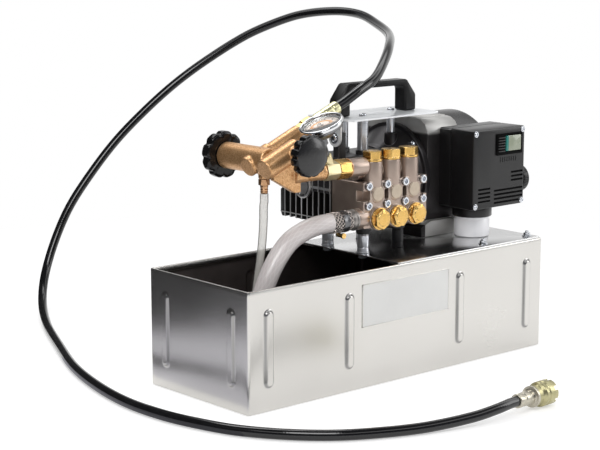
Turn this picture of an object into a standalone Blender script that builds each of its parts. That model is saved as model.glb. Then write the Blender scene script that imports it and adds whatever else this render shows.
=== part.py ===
"""Electric hydrostatic test pump: a three-plunger pump and its motor on a sheet-steel tank.

Metres, +Z up. The origin is the centre of the tank's underside, +X runs along the tank
to the motor end, and +Y runs from the pump head to the back.
"""
import math

import bmesh
import bpy
from mathutils import Matrix, Vector

# Gaps and shared small sizes
SEAT_GAP = 0.0003
RUNNING_GAP = 0.0004
OVERRUN = 0.004
WELD_OVERLAP = 0.0006
SMALL_CHAMFER = 0.0006
MERGE_DISTANCE = 0.00001

# Tank: folded stainless sheet
TANK_LENGTH = 0.500
TANK_WIDTH = 0.184
TANK_HEIGHT = 0.1433
TANK_WALL = 0.0015
TANK_CORNER = 0.0025
RIM_WALL = 0.003
RIM_DEPTH = 0.008
BEAD_WIDTH = 0.016
BEAD_PROUD = 0.0032
BEAD_SLOPE = 0.003
BEAD_END_STEPS = 3
BEAD_LOW = 0.027
BEAD_HIGH = 0.120
BEAD_END_INSET = 0.030
BEAD_LABEL_HALF_GAP = 0.0945
BEAD_SIDE_INSET = 0.0305
RAIL_WIDTH = 0.020
RAIL_THICKNESS = 0.002
RAIL_DROP = 0.0004

# Deck plate over the right-hand part of the tank
DECK_LEFT = -0.012
DECK_RIGHT_INSET = 0.002
DECK_SIDE_INSET = 0.0015
DECK_THICKNESS = 0.0019
DECK_CORNER = 0.003
DECK_SCREW_RIGHT_INSETS = (0.0974, 0.0132)
DECK_SCREW_EDGE = 0.015
DECK_SCREW_RADIUS = 0.0024
DECK_SCREW_HEAD_RADIUS = 0.0042
DECK_SCREW_HEAD_HEIGHT = 0.0045
DECK_NUT_HEIGHT = 0.004
SCREW_CLEARANCE = 0.0003

# Pump feet
FOOT_X = (-0.002, 0.058)
FOOT_Y = (-0.017, 0.048)
FOOT_RADIUS = 0.0075
FOOT_HEIGHT = 0.0242
FOOT_BOLT_RADIUS = 0.003
FOOT_BOLT_HEAD_RADIUS = 0.0055
FOOT_BOLT_HEAD_HEIGHT = 0.0045
BUFFER_RADIUS = 0.009
BUFFER_HEIGHT = 0.0055
BASE_PLATE_THICKNESS = 0.0035
BASE_PLATE_MARGIN = 0.012
BASE_PLATE_BACK = 0.100
BASE_PLATE_CORNER = 0.006

# Shaft line shared by crankcase and motor
SHAFT_Y = 0.062
SHAFT_RISE = 0.078
SHAFT_RADIUS = 0.008

# Pump columns
COLUMN_FIRST_X = -0.0055
COLUMN_PITCH = 0.0312
COLUMN_COUNT = 3

# Crankcase
CASE_LEFT = -0.030
CASE_STEP = -0.018
CASE_RIGHT = 0.084
CASE_FRONT = 0.0118
CASE_BACK = 0.107
CASE_TOP_RISE = 0.1165
CASE_SHOULDER_BACK_RISE = 0.0685
CASE_SHOULDER_FRONT_RISE = 0.0955
CASE_FIN_PITCH = 0.0107
CASE_FIN_THICKNESS = 0.0026
CASE_FIN_DEPTH = 0.009
CASE_FIN_TOP_RISE = 0.073
CASE_FIN_COUNT = 8
CASE_BACK_FIN_COUNT = 9
CASE_BACK_FIN_LOW_RISE = 0.0445
CASE_BOSS_RADIUS = 0.0155
CASE_RIB_HEIGHT = 0.003
CASE_RIB_PROUD = 0.0012
CASE_CHEEK_SLOPE_SHARE = 0.3
CRANK_CHAMBER_RADIUS = 0.0175
CRANK_CHAMBER_LEFT = -0.014
BEARING_RADIUS = 0.012
BEARING_WIDTH = 0.009
BOSS_PROUD = 0.0036
BEARING_CAP_WALL = 0.0045
BEARING_CAP_RECESS = 0.0025
POST_PAD_RADIUS = 0.009
POST_PAD_HEIGHT = 0.005
LUG_POST_WIDTH = 0.012
LUG_POST_DEPTH = 0.011

# Crankshaft
ECCENTRIC_RADIUS = 0.011
ECCENTRIC_OFFSET = 0.005
ECCENTRIC_WIDTH = 0.012
SLEEVE_RADIUS = 0.013
SLEEVE_LENGTH = 0.026
SLEEVE_OVERLAP = 0.018

# Plungers
PLUNGER_RADIUS = 0.007
PLUNGER_BORE_RADIUS = 0.0076
PLUNGER_LENGTH = 0.064
PLUNGER_FRONT = -0.027
PLUNGER_STROKE_HALF = 0.005
PLUNGER_TIP_RADIUS = 0.0045
PLUNGER_TIP_LENGTH = 0.006

# Pump head
HEAD_LEFT = -0.029
HEAD_RIGHT = 0.080
HEAD_FRONT = -0.046
HEAD_BACK = 0.0115
HEAD_LOW_RISE = 0.0365
HEAD_HIGH_RISE = 0.0935
HEAD_EDGE = 0.002
HEAD_SCREW_RISES = (0.0642, 0.0888)
HEAD_SCREW_CAP_RADIUS = 0.0052
HEAD_SCREW_CAP_HEIGHT = 0.005
HEAD_SCREW_SPOT_DEPTH = 0.002
SCREW_HALF_PITCH_LEFT = 0.0158
HEAD_POCKET_WIDTH = 0.007
HEAD_POCKET_HEIGHT = 0.013
HEAD_POCKET_DEPTH = 0.016
PLUG_RADIUS = 0.0095
PLUG_PROUD = 0.0015
VALVE_BOSS_RADIUS = 0.0145
VALVE_BOSS_PROUD = 0.003
VALVE_CAP_RISE = 0.0475
VALVE_COLUMN_RADIUS = 0.0125
VALVE_COLUMN_Y = -0.036
VALVE_COLUMN_LOW_RISE = 0.0805
VALVE_COLUMN_TOP_RISE = 0.1175
CAP_FLANGE_RADIUS = 0.0137
CAP_FLANGE_THICKNESS = 0.0025
CAP_ACROSS_FLATS = 0.0225
CAP_HEX_HEIGHT = 0.006
CAP_TOP_ACROSS_FLATS = 0.0215
CAP_TOP_HEX_HEIGHT = 0.010
CAP_TOP_FLANGE_RADIUS = 0.0125
GALLERY_RADIUS = 0.0105
GALLERY_Y = -0.026
GALLERY_RISE = 0.1045
GALLERY_RIGHT = 0.071
LINE_Y = -0.036
DISCHARGE_RISE = 0.1125
DISCHARGE_PORT_RADIUS = 0.0112
DISCHARGE_PORT_LEFT = -0.046
SUCTION_RISE = 0.048
SUCTION_PORT_RADIUS = 0.0128
SUCTION_PORT_LEFT = -0.036
SUCTION_ROOT_DEPTH = 0.006

# Discharge line between head and valve block
WASHER_THICKNESS = 0.0022
WASHER_RADIUS = 0.0122
UNION_HEX_LENGTH = 0.018
UNION_ACROSS_FLATS = 0.022
TEE_LENGTH = 0.020
TEE_ACROSS_FLATS = 0.021
TEE_BOSS_RADIUS = 0.0072
TEE_BOSS_HEIGHT = 0.021
TEE_SOCKET_DEPTH = 0.007

# Valve block: two inclined barrels crossed by the regulator barrel
BLOCK_TILT_DEGREES = 23.0
REGULATOR_X = -0.1615
REGULATOR_RISE = 0.13
REGULATOR_RADIUS = 0.016
REGULATOR_BACK = 0.054
REGULATOR_FRONT = -0.028
FRONT_BARREL_RADIUS = 0.0125
FRONT_BARREL_BEFORE = 0.0187
FRONT_BARREL_AFTER = 0.0363
OUTLET_BARREL_Y = -0.0056
OUTLET_BARREL_RADIUS = 0.012
OUTLET_BARREL_BEFORE = 0.0187
OUTLET_BARREL_AFTER = 0.020
OUTLET_NECK_RADIUS = 0.0102
OUTLET_NECK_AFTER = 0.069
WEB_THICKNESS = 0.008
WEB_LEFT = -0.1663
WEB_RIGHT = -0.1250
WEB_LEFT_LOW_RISE = 0.11
WEB_TOE = 0.009
WEB_LOW_RISE = 0.0917
INLET_ARM_RADIUS = 0.0098
INLET_FLANGE_RADIUS = 0.0105
INLET_FLANGE_WIDTH = 0.005
INLET_ARM_ROOT = 0.010
BONNET_ALONG = 0.0238
BONNET_RADIUS = 0.0092
BONNET_FRONT = -0.0535
RETURN_Y = -0.016
RETURN_BOSS_RADIUS = 0.0068
RETURN_BOSS_LOW_RISE = 0.109
STEM_BORE_DEPTH = 0.012
BLOCK_EDGE = 0.001

# Knobs
REGULATOR_KNOB_RADIUS = 0.0285
REGULATOR_KNOB_THICKNESS = 0.013
REGULATOR_KNOB_DOME = 0.005
REGULATOR_STEM_RADIUS = 0.006
SHUTOFF_KNOB_RADIUS = 0.0245
SHUTOFF_KNOB_THICKNESS = 0.017
SHUTOFF_KNOB_DOME = 0.004
SHUTOFF_STEM_RADIUS = 0.004
SHUTOFF_HUB_RADIUS = 0.0095
SHUTOFF_HUB_LENGTH = 0.0105
KNOB_LOBES = 9
KNOB_POINTS_PER_LOBE = 4
KNOB_LOBE_DEPTH_SHARE = 0.085
KNOB_DOME_SHARE = 0.45
STEM_INSERTION = 0.010

# Gauge
GAUGE_X = -0.1006
GAUGE_Y = -0.047
GAUGE_RISE = 0.1737
GAUGE_BEZEL_RADIUS = 0.0273
GAUGE_BEZEL_DEPTH = 0.005
GAUGE_LIP_RADIUS = 0.0235
GAUGE_LIP_THICKNESS = 0.0016
GAUGE_BEZEL_BORE_RADIUS = 0.0252
GAUGE_CASE_RADIUS = 0.026
GAUGE_CASE_BORE_RADIUS = 0.0249
GAUGE_DEPTH = 0.024
GAUGE_FLOOR_DEPTH = 0.0093
GAUGE_DIAL_THICKNESS = 0.0008
GAUGE_LENS_THICKNESS = 0.0016
GAUGE_NEEDLE_DEPTH = 0.0068
GAUGE_NEEDLE_THICKNESS = 0.0008
GAUGE_NEEDLE_LENGTH = 0.018
GAUGE_NEEDLE_TAIL = 0.006
GAUGE_NEEDLE_WIDTH = 0.0022
GAUGE_NEEDLE_TIP_WIDTH = 0.0006
GAUGE_NEEDLE_HUB_RADIUS = 0.0026
GAUGE_PIN_RADIUS = 0.001
GAUGE_PIN_LENGTH = 0.0045
GAUGE_ZERO_DEGREES = 225.0
GAUGE_STEM_HEX = 0.014
GAUGE_STEM_HEX_HEIGHT = 0.008
GAUGE_STEM_RADIUS = 0.0052

# Outlet fittings along the outlet barrel
NIPPLE_ACROSS_FLATS = 0.017
NIPPLE_LENGTH = 0.008
NUT_ACROSS_FLATS = 0.0195
NUT_LENGTH = 0.0135
FERRULE_RADIUS = 0.0085
FERRULE_LENGTH = 0.044
FERRULE_WAIST_RADIUS = 0.0078
FERRULE_WAIST_LENGTH = 0.003

# Return line
RETURN_NIPPLE_FLATS = 0.012
RETURN_NIPPLE_HEX_HEIGHT = 0.007
RETURN_NIPPLE_RADIUS = 0.0048
RETURN_NIPPLE_LENGTH = 0.010
RETURN_TUBE_RADIUS = 0.005

# Suction line
BARB_RADIUS = 0.0122
BARB_FLANGE_RADIUS = 0.0132
BARB_FLANGE_WIDTH = 0.003
BARB_LENGTH = 0.0098
SUCTION_HOSE_RADIUS = 0.0118
CLAMP_LEFT = -0.062
CLAMP_WIDTH = 0.009
CLAMP_WALL = 0.001
CLAMP_SCREW_RADIUS = 0.0035
CLAMP_SCREW_LENGTH = 0.013
STRAINER_END_CLEARANCE = 0.050
STRAINER_Y = -0.039
STRAINER_RADIUS = 0.020
STRAINER_HEIGHT = 0.060
STRAINER_NECK_HEIGHT = 0.014
STRAINER_GROOVE = 0.0018
STRAINER_GROOVES = 4

# Pressure hose and its end coupling
HOSE_RADIUS = 0.0062
END_X = -0.016
END_Y = -0.2855
END_Z = 0.0150
END_TURN_DEGREES = 3.5
END_FERRULE_LENGTH = 0.030
END_FERRULE_RADIUS = 0.0082
END_RING_RADIUS = 0.0125
END_RING_LENGTH = 0.004
COUPLING_RADIUS = 0.0147
COUPLING_LENGTH = 0.031
COUPLING_NECK_RADIUS = 0.0115
COUPLING_NECK_LENGTH = 0.008
COUPLING_BORE_RADIUS = 0.0102
COUPLING_BORE_DEPTH = 0.021
COUPLING_SLOTS = 6
COUPLING_SLOT_WIDTH = 0.005
COUPLING_SLOT_DEPTH = 0.006
COUPLING_SPIGOT_RADIUS = 0.006
COUPLING_SPIGOT_LENGTH = 0.006

# Motor bell between crankcase and motor
BELL_LEFT_RADIUS = 0.040
BELL_SHOULDER = 0.008
BELL_FLANGE_RADIUS = 0.0685
BELL_FLANGE_WIDTH = 0.0085
BELL_FLANGE_STEP = 0.005
BELL_WALL = 0.006
BELL_MOUTH_RADIUS = 0.020
BELL_PAD_RADIUS = 0.0085
BELL_PAD_TOP_RISE = 0.1355

# Motor
MOTOR_LEFT = 0.128
MOTOR_RIGHT = 0.185
MOTOR_FRONT = 0.0
MOTOR_TOP_RISE = 0.154
MOTOR_LOW_RISE = 0.006
MOTOR_TOP_CORNER = 0.020
MOTOR_LOW_CORNER = 0.040
MOTOR_CORNER_STEPS = 4
MOTOR_END_WALL = 0.006
MOTOR_BORE_RADIUS = 0.056
MOTOR_SEAM_DEPTH = 0.0015
MOTOR_SEAM_WIDTH = 0.002
MOTOR_FOOT_LEFT = 0.122
MOTOR_FOOT_RIGHT = 0.183
MOTOR_FOOT_SIDE_INSET = 0.003
MOTOR_FOOT_HEIGHT = 0.020
MOTOR_FOOT_TOE_SHARE = 0.55
STATOR_BORE_RADIUS = 0.0353
STATOR_END_GAP = 0.004
ROTOR_RADIUS = 0.0345
ROTOR_END_GAP = 0.007
MOTOR_BEARING_RADIUS = 0.013
FAN_LEFT_GAP = 0.008
FAN_RADIUS = 0.064
FAN_WIDTH = 0.022
FAN_DISC = 0.003
FAN_HUB_RADIUS = 0.014
FAN_BLADES = 7
FAN_BLADE_THICKNESS = 0.003
COVER_RADIUS = 0.0767
COVER_RIGHT = 0.250
COVER_WALL = 0.0025
COVER_ROUND = 0.012
COVER_ROUND_STEPS = 3
COVER_SLOTS = 8
COVER_SLOT_WIDTH = 0.005
COVER_SLOT_INNER = 0.020
COVER_SLOT_OUTER = 0.056

# Switch box
BOX_LEFT = 0.150
BOX_RIGHT = 0.2475
BOX_FRONT = -0.060
BOX_PARTING = -0.020
BOX_LOW_RISE = 0.0405
BOX_HIGH_RISE = 0.1431
BOX_WALL = 0.0025
BOX_EDGE = 0.0022
BOX_SCREW_INSET = 0.0045
BOX_SCREW_HEAD_RADIUS = 0.0031
BOX_SCREW_HEAD_HEIGHT = 0.0022
BOX_SCREW_SEAT_DEPTH = 0.001
BOX_COVER_GAP = 0.0012
SOCKET_X = 0.1876
SOCKET_Y = -0.0243
SOCKET_WALL = 0.0028
SOCKET_LOW_RISE = 0.0268
SOCKET_NECK_HALF_WIDTH = 0.018
CAPACITOR_RADIUS = 0.023
CAPACITOR_TOP_RISE = 0.0325
CAPACITOR_EDGE = 0.0015
VENT_HEIGHT = 0.0027
VENT_PITCH = 0.0053
VENT_DEPTH = 0.0012
VENT_LONG_LEFT = 0.190
VENT_LONG_LOW_RISE = 0.045
VENT_LONG_COUNT = 4
VENT_SHORT_LEFT = 0.2222
VENT_SHORT_LOW_RISE = 0.072
VENT_SHORT_COUNT = 3
VENT_SIDE_LEFT = 0.1598
VENT_SIDE_WIDTH = 0.0078
VENT_SIDE_LOW_RISE = 0.049
VENT_SIDE_COUNT = 4
BEZEL_LEFT = 0.1925
BEZEL_RIGHT = 0.2410
BEZEL_LOW_RISE = 0.108
BEZEL_HIGH_RISE = 0.1357
BEZEL_PROUD = 0.0018
BEZEL_COLLAR_INSET = 0.001
BEZEL_COLLAR_DEPTH = 0.0075
ROCKER_LEFT = 0.2085
ROCKER_RIGHT = 0.2385
ROCKER_LOW_RISE = 0.112
ROCKER_HIGH_RISE = 0.1332
ROCKER_TILT_DEGREES = 9.0
ROCKER_DEPTH = 0.007
ROCKER_PROUD = 0.0022
ROCKER_VALLEY = 0.0012
ROCKER_GAP = 0.0006
GRILLE_BARS = 6
GRILLE_BAR_HEIGHT = 0.0016
GRILLE_BAR_PROUD = 0.0012
GLAND_RADIUS = 0.0185
GLAND_Y = -0.0405
GLAND_RISE = 0.0709
GLAND_LENGTH = 0.016
GLAND_FLANGE_WIDTH = 0.003
GLAND_NOSE_RADIUS = 0.010
GLAND_BORE_RADIUS = 0.004
GLAND_BORE_DEPTH = 0.012
GLAND_THREAD_RADIUS = 0.009
GLAND_THREAD_LENGTH = 0.006

# Carrying frame
PLATE_LEFT = -0.019
PLATE_RIGHT = 0.140
PLATE_FRONT = -0.012
PLATE_BACK = 0.072
PLATE_TOP_RISE = 0.1655
PLATE_THICKNESS = 0.002
PLATE_CORNER = 0.006
LUG_Y = 0.0172
LUG_RISE = 0.1415
LUG_RADIUS = 0.011
LUG_STEPS = 10
POST_X = 0.0325
POST_FRONT_Y = 0.021
POST_BACK_Y = 0.058
POST_RADIUS = 0.007
THIN_POST_X = 0.105
THIN_POST_Y = 0.045
THIN_POST_RADIUS = 0.005
FRAME_SCREW_RADIUS = 0.0026
FRAME_SCREW_HEAD_RADIUS = 0.0048
FRAME_SCREW_HEAD_HEIGHT = 0.0028
FRAME_SCREW_DEPTH = 0.010
HANDLE_LEFT = -0.008
HANDLE_RIGHT = 0.126
HANDLE_FRONT = 0.0195
HANDLE_DEPTH = 0.021
HANDLE_TOP_RISE = 0.2065
HANDLE_LEG_LEFT_WIDTH = 0.0185
HANDLE_LEG_RIGHT_WIDTH = 0.020
HANDLE_BAR_HEIGHT = 0.0075
HANDLE_SHOULDER_WIDTH = 0.016
HANDLE_SHOULDER_HEIGHT = 0.020
HANDLE_EDGE = 0.002
HANDLE_INNER_CHAMFER = 0.004

# Routes of the hoses, chosen by hand. The pressure hose arches over the handle and down behind the
# tank, then lies round the tank's left end to the coupling in front of it. The arch and the return
# tube are measured up from the deck, and the lay from the floor. The suction hose's points are
# shares of the way from its barb to the strainer.
PRESSURE_HOSE_ARCH = (
    (0.003, -0.0045, 0.2013), (0.034, 0.003, 0.212), (0.069, 0.024, 0.2265),
    (0.119, 0.064, 0.2435), (0.186, 0.133, 0.2545), (0.229, 0.203, 0.2645),
    (0.25, 0.258, 0.2735), (0.255, 0.316, 0.2755), (0.241, 0.375, 0.2685),
    (0.218, 0.415, 0.2535), (0.19, 0.448, 0.2335), (0.143, 0.482, 0.1975),
    (0.102, 0.502, 0.1655), (0.058, 0.516, 0.1285), (0.01, 0.524, 0.0865),
    (-0.034, 0.528, 0.0405), (-0.07, 0.531, -0.0045),
)
PRESSURE_HOSE_LAY = (
    (-0.098, 0.529, 0.095), (-0.125, 0.516, 0.05), (-0.151, 0.484, 0.0212),
    (-0.194, 0.407, 0.0076), (-0.245, 0.299, 0.0064), (-0.291, 0.195, 0.0064),
    (-0.319, 0.102, 0.0064), (-0.332, 0.025, 0.0064), (-0.331, -0.04, 0.0064),
    (-0.321, -0.092, 0.0064), (-0.304, -0.141, 0.0064), (-0.272, -0.189, 0.0064),
    (-0.233, -0.226, 0.0064), (-0.184, -0.253, 0.0064), (-0.139, -0.27, 0.007),
    (-0.083, -0.283, 0.0098), (-0.048, -0.2868, 0.0132),
)
PRESSURE_HOSE_POINTS = 56

SUCTION_HOSE_ROUTE_SHARES = (
    (0.2188, 0.0, -0.0038), (0.3294, 0.0, 0.0023), (0.4596, 0.0, 0.0342),
    (0.6029, 0.0667, 0.1027), (0.7201, 0.2, 0.2245), (0.8177, 0.4, 0.3767),
    (0.8958, 0.6, 0.5441), (0.9642, 0.8, 0.6963),
)
SUCTION_HOSE_POINTS = 9

RETURN_TUBE_ROUTE = (
    (-0.1625, -0.016, 0.0765), (-0.1627, -0.016, 0.0595), (-0.1642, -0.016, 0.0395),
    (-0.1672, -0.016, 0.0165), (-0.1715, -0.0158, -0.0075), (-0.1757, -0.0154, -0.0335),
    (-0.1785, -0.015, -0.0595), (-0.1795, -0.015, -0.0835),
)
RETURN_TUBE_POINTS = 9

# How finely round pieces are faceted
FINE = 22
ROUND = 16
COARSE = 12
SCREW_SIDES = 8
FOOT_SIDES = 10
SMOOTH_DEGREES = 35.0
PARALLEL_SHARE = 0.9
ROUND_PROFILE_SHARE = 0.5

X_AXIS = Vector((1, 0, 0))
Y_AXIS = Vector((0, 1, 0))
Z_AXIS = Vector((0, 0, 1))

# Places worked out from the driving dimensions
DECK_SCREW_X = [TANK_LENGTH / 2 - inset for inset in DECK_SCREW_RIGHT_INSETS]
DECK_SCREW_Y = TANK_WIDTH / 2 - DECK_SCREW_EDGE
DECK_LOW = TANK_HEIGHT + SEAT_GAP
DECK_TOP = DECK_LOW + DECK_THICKNESS
SHAFT_Z = DECK_TOP + SHAFT_RISE
CASE_TOP = DECK_TOP + CASE_TOP_RISE
CASE_SHOULDER_BACK = DECK_TOP + CASE_SHOULDER_BACK_RISE
CASE_SHOULDER_FRONT = DECK_TOP + CASE_SHOULDER_FRONT_RISE
CASE_FIN_TOP = DECK_TOP + CASE_FIN_TOP_RISE
CASE_BACK_FIN_LOW = DECK_TOP + CASE_BACK_FIN_LOW_RISE
HEAD_LOW = DECK_TOP + HEAD_LOW_RISE
HEAD_HIGH = DECK_TOP + HEAD_HIGH_RISE
HEAD_SCREW_Z = [DECK_TOP + rise for rise in HEAD_SCREW_RISES]
VALVE_CAP_Z = DECK_TOP + VALVE_CAP_RISE
VALVE_COLUMN_LOW = DECK_TOP + VALVE_COLUMN_LOW_RISE
VALVE_COLUMN_TOP = DECK_TOP + VALVE_COLUMN_TOP_RISE
GALLERY_Z = DECK_TOP + GALLERY_RISE
DISCHARGE_Z = DECK_TOP + DISCHARGE_RISE
SUCTION_Z = DECK_TOP + SUCTION_RISE
REGULATOR_Z = DECK_TOP + REGULATOR_RISE
WEB_LEFT_LOW = DECK_TOP + WEB_LEFT_LOW_RISE
WEB_LOW = DECK_TOP + WEB_LOW_RISE
RETURN_BOSS_LOW = DECK_TOP + RETURN_BOSS_LOW_RISE
GAUGE_Z = DECK_TOP + GAUGE_RISE
BELL_PAD_TOP = DECK_TOP + BELL_PAD_TOP_RISE
MOTOR_TOP = DECK_TOP + MOTOR_TOP_RISE
MOTOR_LOW = DECK_TOP + MOTOR_LOW_RISE
BOX_LOW = DECK_TOP + BOX_LOW_RISE
BOX_HIGH = DECK_TOP + BOX_HIGH_RISE
SOCKET_LOW = DECK_TOP + SOCKET_LOW_RISE
CAPACITOR_TOP = DECK_TOP + CAPACITOR_TOP_RISE
VENT_LONG_LOW = DECK_TOP + VENT_LONG_LOW_RISE
VENT_SHORT_LOW = DECK_TOP + VENT_SHORT_LOW_RISE
VENT_SIDE_LOW = DECK_TOP + VENT_SIDE_LOW_RISE
BEZEL_LOW = DECK_TOP + BEZEL_LOW_RISE
BEZEL_HIGH = DECK_TOP + BEZEL_HIGH_RISE
ROCKER_LOW = DECK_TOP + ROCKER_LOW_RISE
ROCKER_HIGH = DECK_TOP + ROCKER_HIGH_RISE
GLAND_Z = DECK_TOP + GLAND_RISE
PLATE_TOP = DECK_TOP + PLATE_TOP_RISE
LUG_Z = DECK_TOP + LUG_RISE
HANDLE_TOP = DECK_TOP + HANDLE_TOP_RISE
FOOT_LOW = DECK_TOP + SEAT_GAP
FOOT_TOP = FOOT_LOW + FOOT_HEIGHT
BUFFER_TOP = FOOT_TOP + BUFFER_HEIGHT
BASE_LOW = BUFFER_TOP + SEAT_GAP
BASE_TOP = BASE_LOW + BASE_PLATE_THICKNESS
CASE_LOW = BASE_TOP + SEAT_GAP
BEARING_LEFT = CRANK_CHAMBER_LEFT - BEARING_WIDTH - SMALL_CHAMFER
COLUMNS = [COLUMN_FIRST_X + COLUMN_PITCH * index for index in range(COLUMN_COUNT)]
SCREW_COLUMNS = [COLUMNS[0] - SCREW_HALF_PITCH_LEFT + COLUMN_PITCH * index for index in range(COLUMN_COUNT + 1)]
BLOCK_TILT = math.radians(BLOCK_TILT_DEGREES)
BARREL_AXIS = Vector((math.cos(BLOCK_TILT), 0, math.sin(BLOCK_TILT)))
BLOCK_UP = Vector((-math.sin(BLOCK_TILT), 0, math.cos(BLOCK_TILT)))
FRONT_CROSSING = Vector((REGULATOR_X, LINE_Y, REGULATOR_Z))
OUTLET_CROSSING = Vector((REGULATOR_X, OUTLET_BARREL_Y, REGULATOR_Z))
GAUGE_CENTRE = Vector((GAUGE_X, GAUGE_Y, GAUGE_Z))
GAUGE_STEM_DROP = (GAUGE_Z - DISCHARGE_Z) / BLOCK_UP.z
TEE_BOSS_X = GAUGE_X - BLOCK_UP.x * GAUGE_STEM_DROP
END_TURN = math.radians(END_TURN_DEGREES)
END_AXIS = Vector((math.cos(END_TURN), math.sin(END_TURN), 0))
END_START = Vector((END_X, END_Y, END_Z))
MOTOR_BACK = SHAFT_Y + (SHAFT_Y - MOTOR_FRONT)
PLATE_LOW = PLATE_TOP - PLATE_THICKNESS
STRAINER_X = STRAINER_END_CLEARANCE - TANK_LENGTH / 2
STRAINER_LOW = TANK_WALL + SEAT_GAP
STRAINER_TOP = STRAINER_LOW + STRAINER_HEIGHT


# Shared modelling functions

def clear_scene():
    for item in list(bpy.data.objects):
        bpy.data.objects.remove(item, do_unlink=True)


def paint(name, colour, roughness, metallic):
    material = bpy.data.materials.new(name)
    material.use_nodes = True
    shader = material.node_tree.nodes["Principled BSDF"]
    shader.inputs["Base Color"].default_value = (*colour, 1)
    shader.inputs["Roughness"].default_value = roughness
    shader.inputs["Metallic"].default_value = metallic
    material.diffuse_color = (*colour, 1)
    return material


def as_object(shape, name="tool"):
    """Turn a bmesh into an object whose faces point out."""
    bmesh.ops.recalc_face_normals(shape, faces=shape.faces)
    mesh = bpy.data.meshes.new(name)
    shape.to_mesh(mesh)
    shape.free()
    item = bpy.data.objects.new(name, mesh)
    bpy.context.scene.collection.objects.link(item)
    return item


def finish(item, name, material):
    """Name a finished piece, give it its material and shade it smooth up to its real edges."""
    item.name = name
    item.data.name = name
    item.data.materials.clear()
    item.data.materials.append(material)
    item.data.shade_smooth()
    item.data.set_sharp_from_angle(angle=math.radians(SMOOTH_DEGREES))
    return item


def settle(item):
    """Apply an object's modifiers to its mesh."""
    bpy.context.view_layer.update()
    evaluated = item.evaluated_get(bpy.context.evaluated_depsgraph_get())
    mesh = bpy.data.meshes.new_from_object(evaluated)
    item.modifiers.clear()
    item.data = mesh


def combine(target, tools, operation, solver):
    for tool in tools:
        modifier = target.modifiers.new(operation.lower(), "BOOLEAN")
        modifier.operation = operation
        modifier.solver = solver
        modifier.object = tool
    settle(target)
    for tool in tools:
        bpy.data.objects.remove(tool, do_unlink=True)
    return target


def unite(target, *tools, solver="EXACT"):
    return combine(target, tools, "UNION", solver)


def carve(target, *tools, solver="EXACT"):
    return combine(target, tools, "DIFFERENCE", solver)


def block(low, high, edge=0, along=None, steps=1):
    """A box between two corners, with its edges rounded, all or only those along one axis."""
    low = Vector(low)
    high = Vector(high)
    shape = bmesh.new()
    bmesh.ops.create_cube(shape, size=1)
    size = high - low
    middle = (low + high) / 2
    bmesh.ops.scale(shape, vec=size, verts=shape.verts)
    bmesh.ops.translate(shape, vec=middle, verts=shape.verts)
    if edge > 0:
        edges = list(shape.edges)
        if along is not None:
            edges = [e for e in edges if abs((e.verts[0].co - e.verts[1].co).normalized().dot(along)) > PARALLEL_SHARE]
        bmesh.ops.bevel(shape, geom=edges, offset=edge, segments=steps, profile=ROUND_PROFILE_SHARE, affect="EDGES")
    return as_object(shape)


def loft(loops):
    """A closed solid through loops that have equal numbers of points."""
    shape = bmesh.new()
    rings = [[shape.verts.new(point) for point in loop] for loop in loops]
    count = len(rings[0])
    for lower, upper in zip(rings, rings[1:]):
        for index in range(count):
            following = (index + 1) % count
            shape.faces.new((lower[index], lower[following], upper[following], upper[index]))
    shape.faces.new(list(reversed(rings[0])))
    shape.faces.new(rings[-1])
    return as_object(shape)


def prism(outline, along, start, end):
    """Extrude a flat outline along X (outline in Y, Z), Y (in X, Z) or Z (in X, Y)."""
    def place(point, distance):
        if along is X_AXIS:
            return Vector((distance, point[0], point[1]))
        if along is Y_AXIS:
            return Vector((point[0], distance, point[1]))
        return Vector((point[0], point[1], distance))
    return loft([[place(point, start) for point in outline], [place(point, end) for point in outline]])


def turned(profile, origin, axis, sides):
    """Spin a profile of (radius, distance along the axis) points round an axis.

    A profile that starts and ends on the axis is solid; any other is closed into a ring.
    """
    shape = bmesh.new()
    points = [shape.verts.new((radius, 0, along)) for radius, along in profile]
    edges = [shape.edges.new(pair) for pair in zip(points, points[1:])]
    if profile[0][0] > 0 or profile[-1][0] > 0:
        edges.append(shape.edges.new((points[-1], points[0])))
    bmesh.ops.spin(shape, geom=points + edges, cent=(0, 0, 0), axis=(0, 0, 1),
                   angle=math.tau, steps=sides, use_duplicate=False)
    bmesh.ops.remove_doubles(shape, verts=shape.verts, dist=MERGE_DISTANCE)
    turn = Z_AXIS.rotation_difference(Vector(axis)).to_matrix().to_4x4()
    bmesh.ops.transform(shape, matrix=Matrix.Translation(Vector(origin)) @ turn, verts=shape.verts)
    return as_object(shape)


def rod(radius, origin, axis, length, sides=COARSE, edge=0):
    if edge > 0:
        return turned([(0, 0), (radius - edge, 0), (radius, edge), (radius, length - edge),
                       (radius - edge, length), (0, length)], origin, axis, sides)
    return turned([(0, 0), (radius, 0), (radius, length), (0, length)], origin, axis, sides)


def ring(outer, inner, origin, axis, length, sides=ROUND):
    return turned([(outer, 0), (outer, length), (inner, length), (inner, 0)], origin, axis, sides)


def hexagon(across_flats, origin, axis, length, edge=0):
    """A hexagonal bar whose end corners are turned off, as on a nut."""
    corner = across_flats / math.sqrt(3)
    cut = edge if edge > 0 else SMALL_CHAMFER
    return turned([(0, 0), (corner - cut, 0), (corner, cut), (corner, length - cut),
                   (corner - cut, length), (0, length)], origin, axis, 6)


def along(origin, axis, distance):
    return Vector(origin) + Vector(axis) * distance


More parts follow.
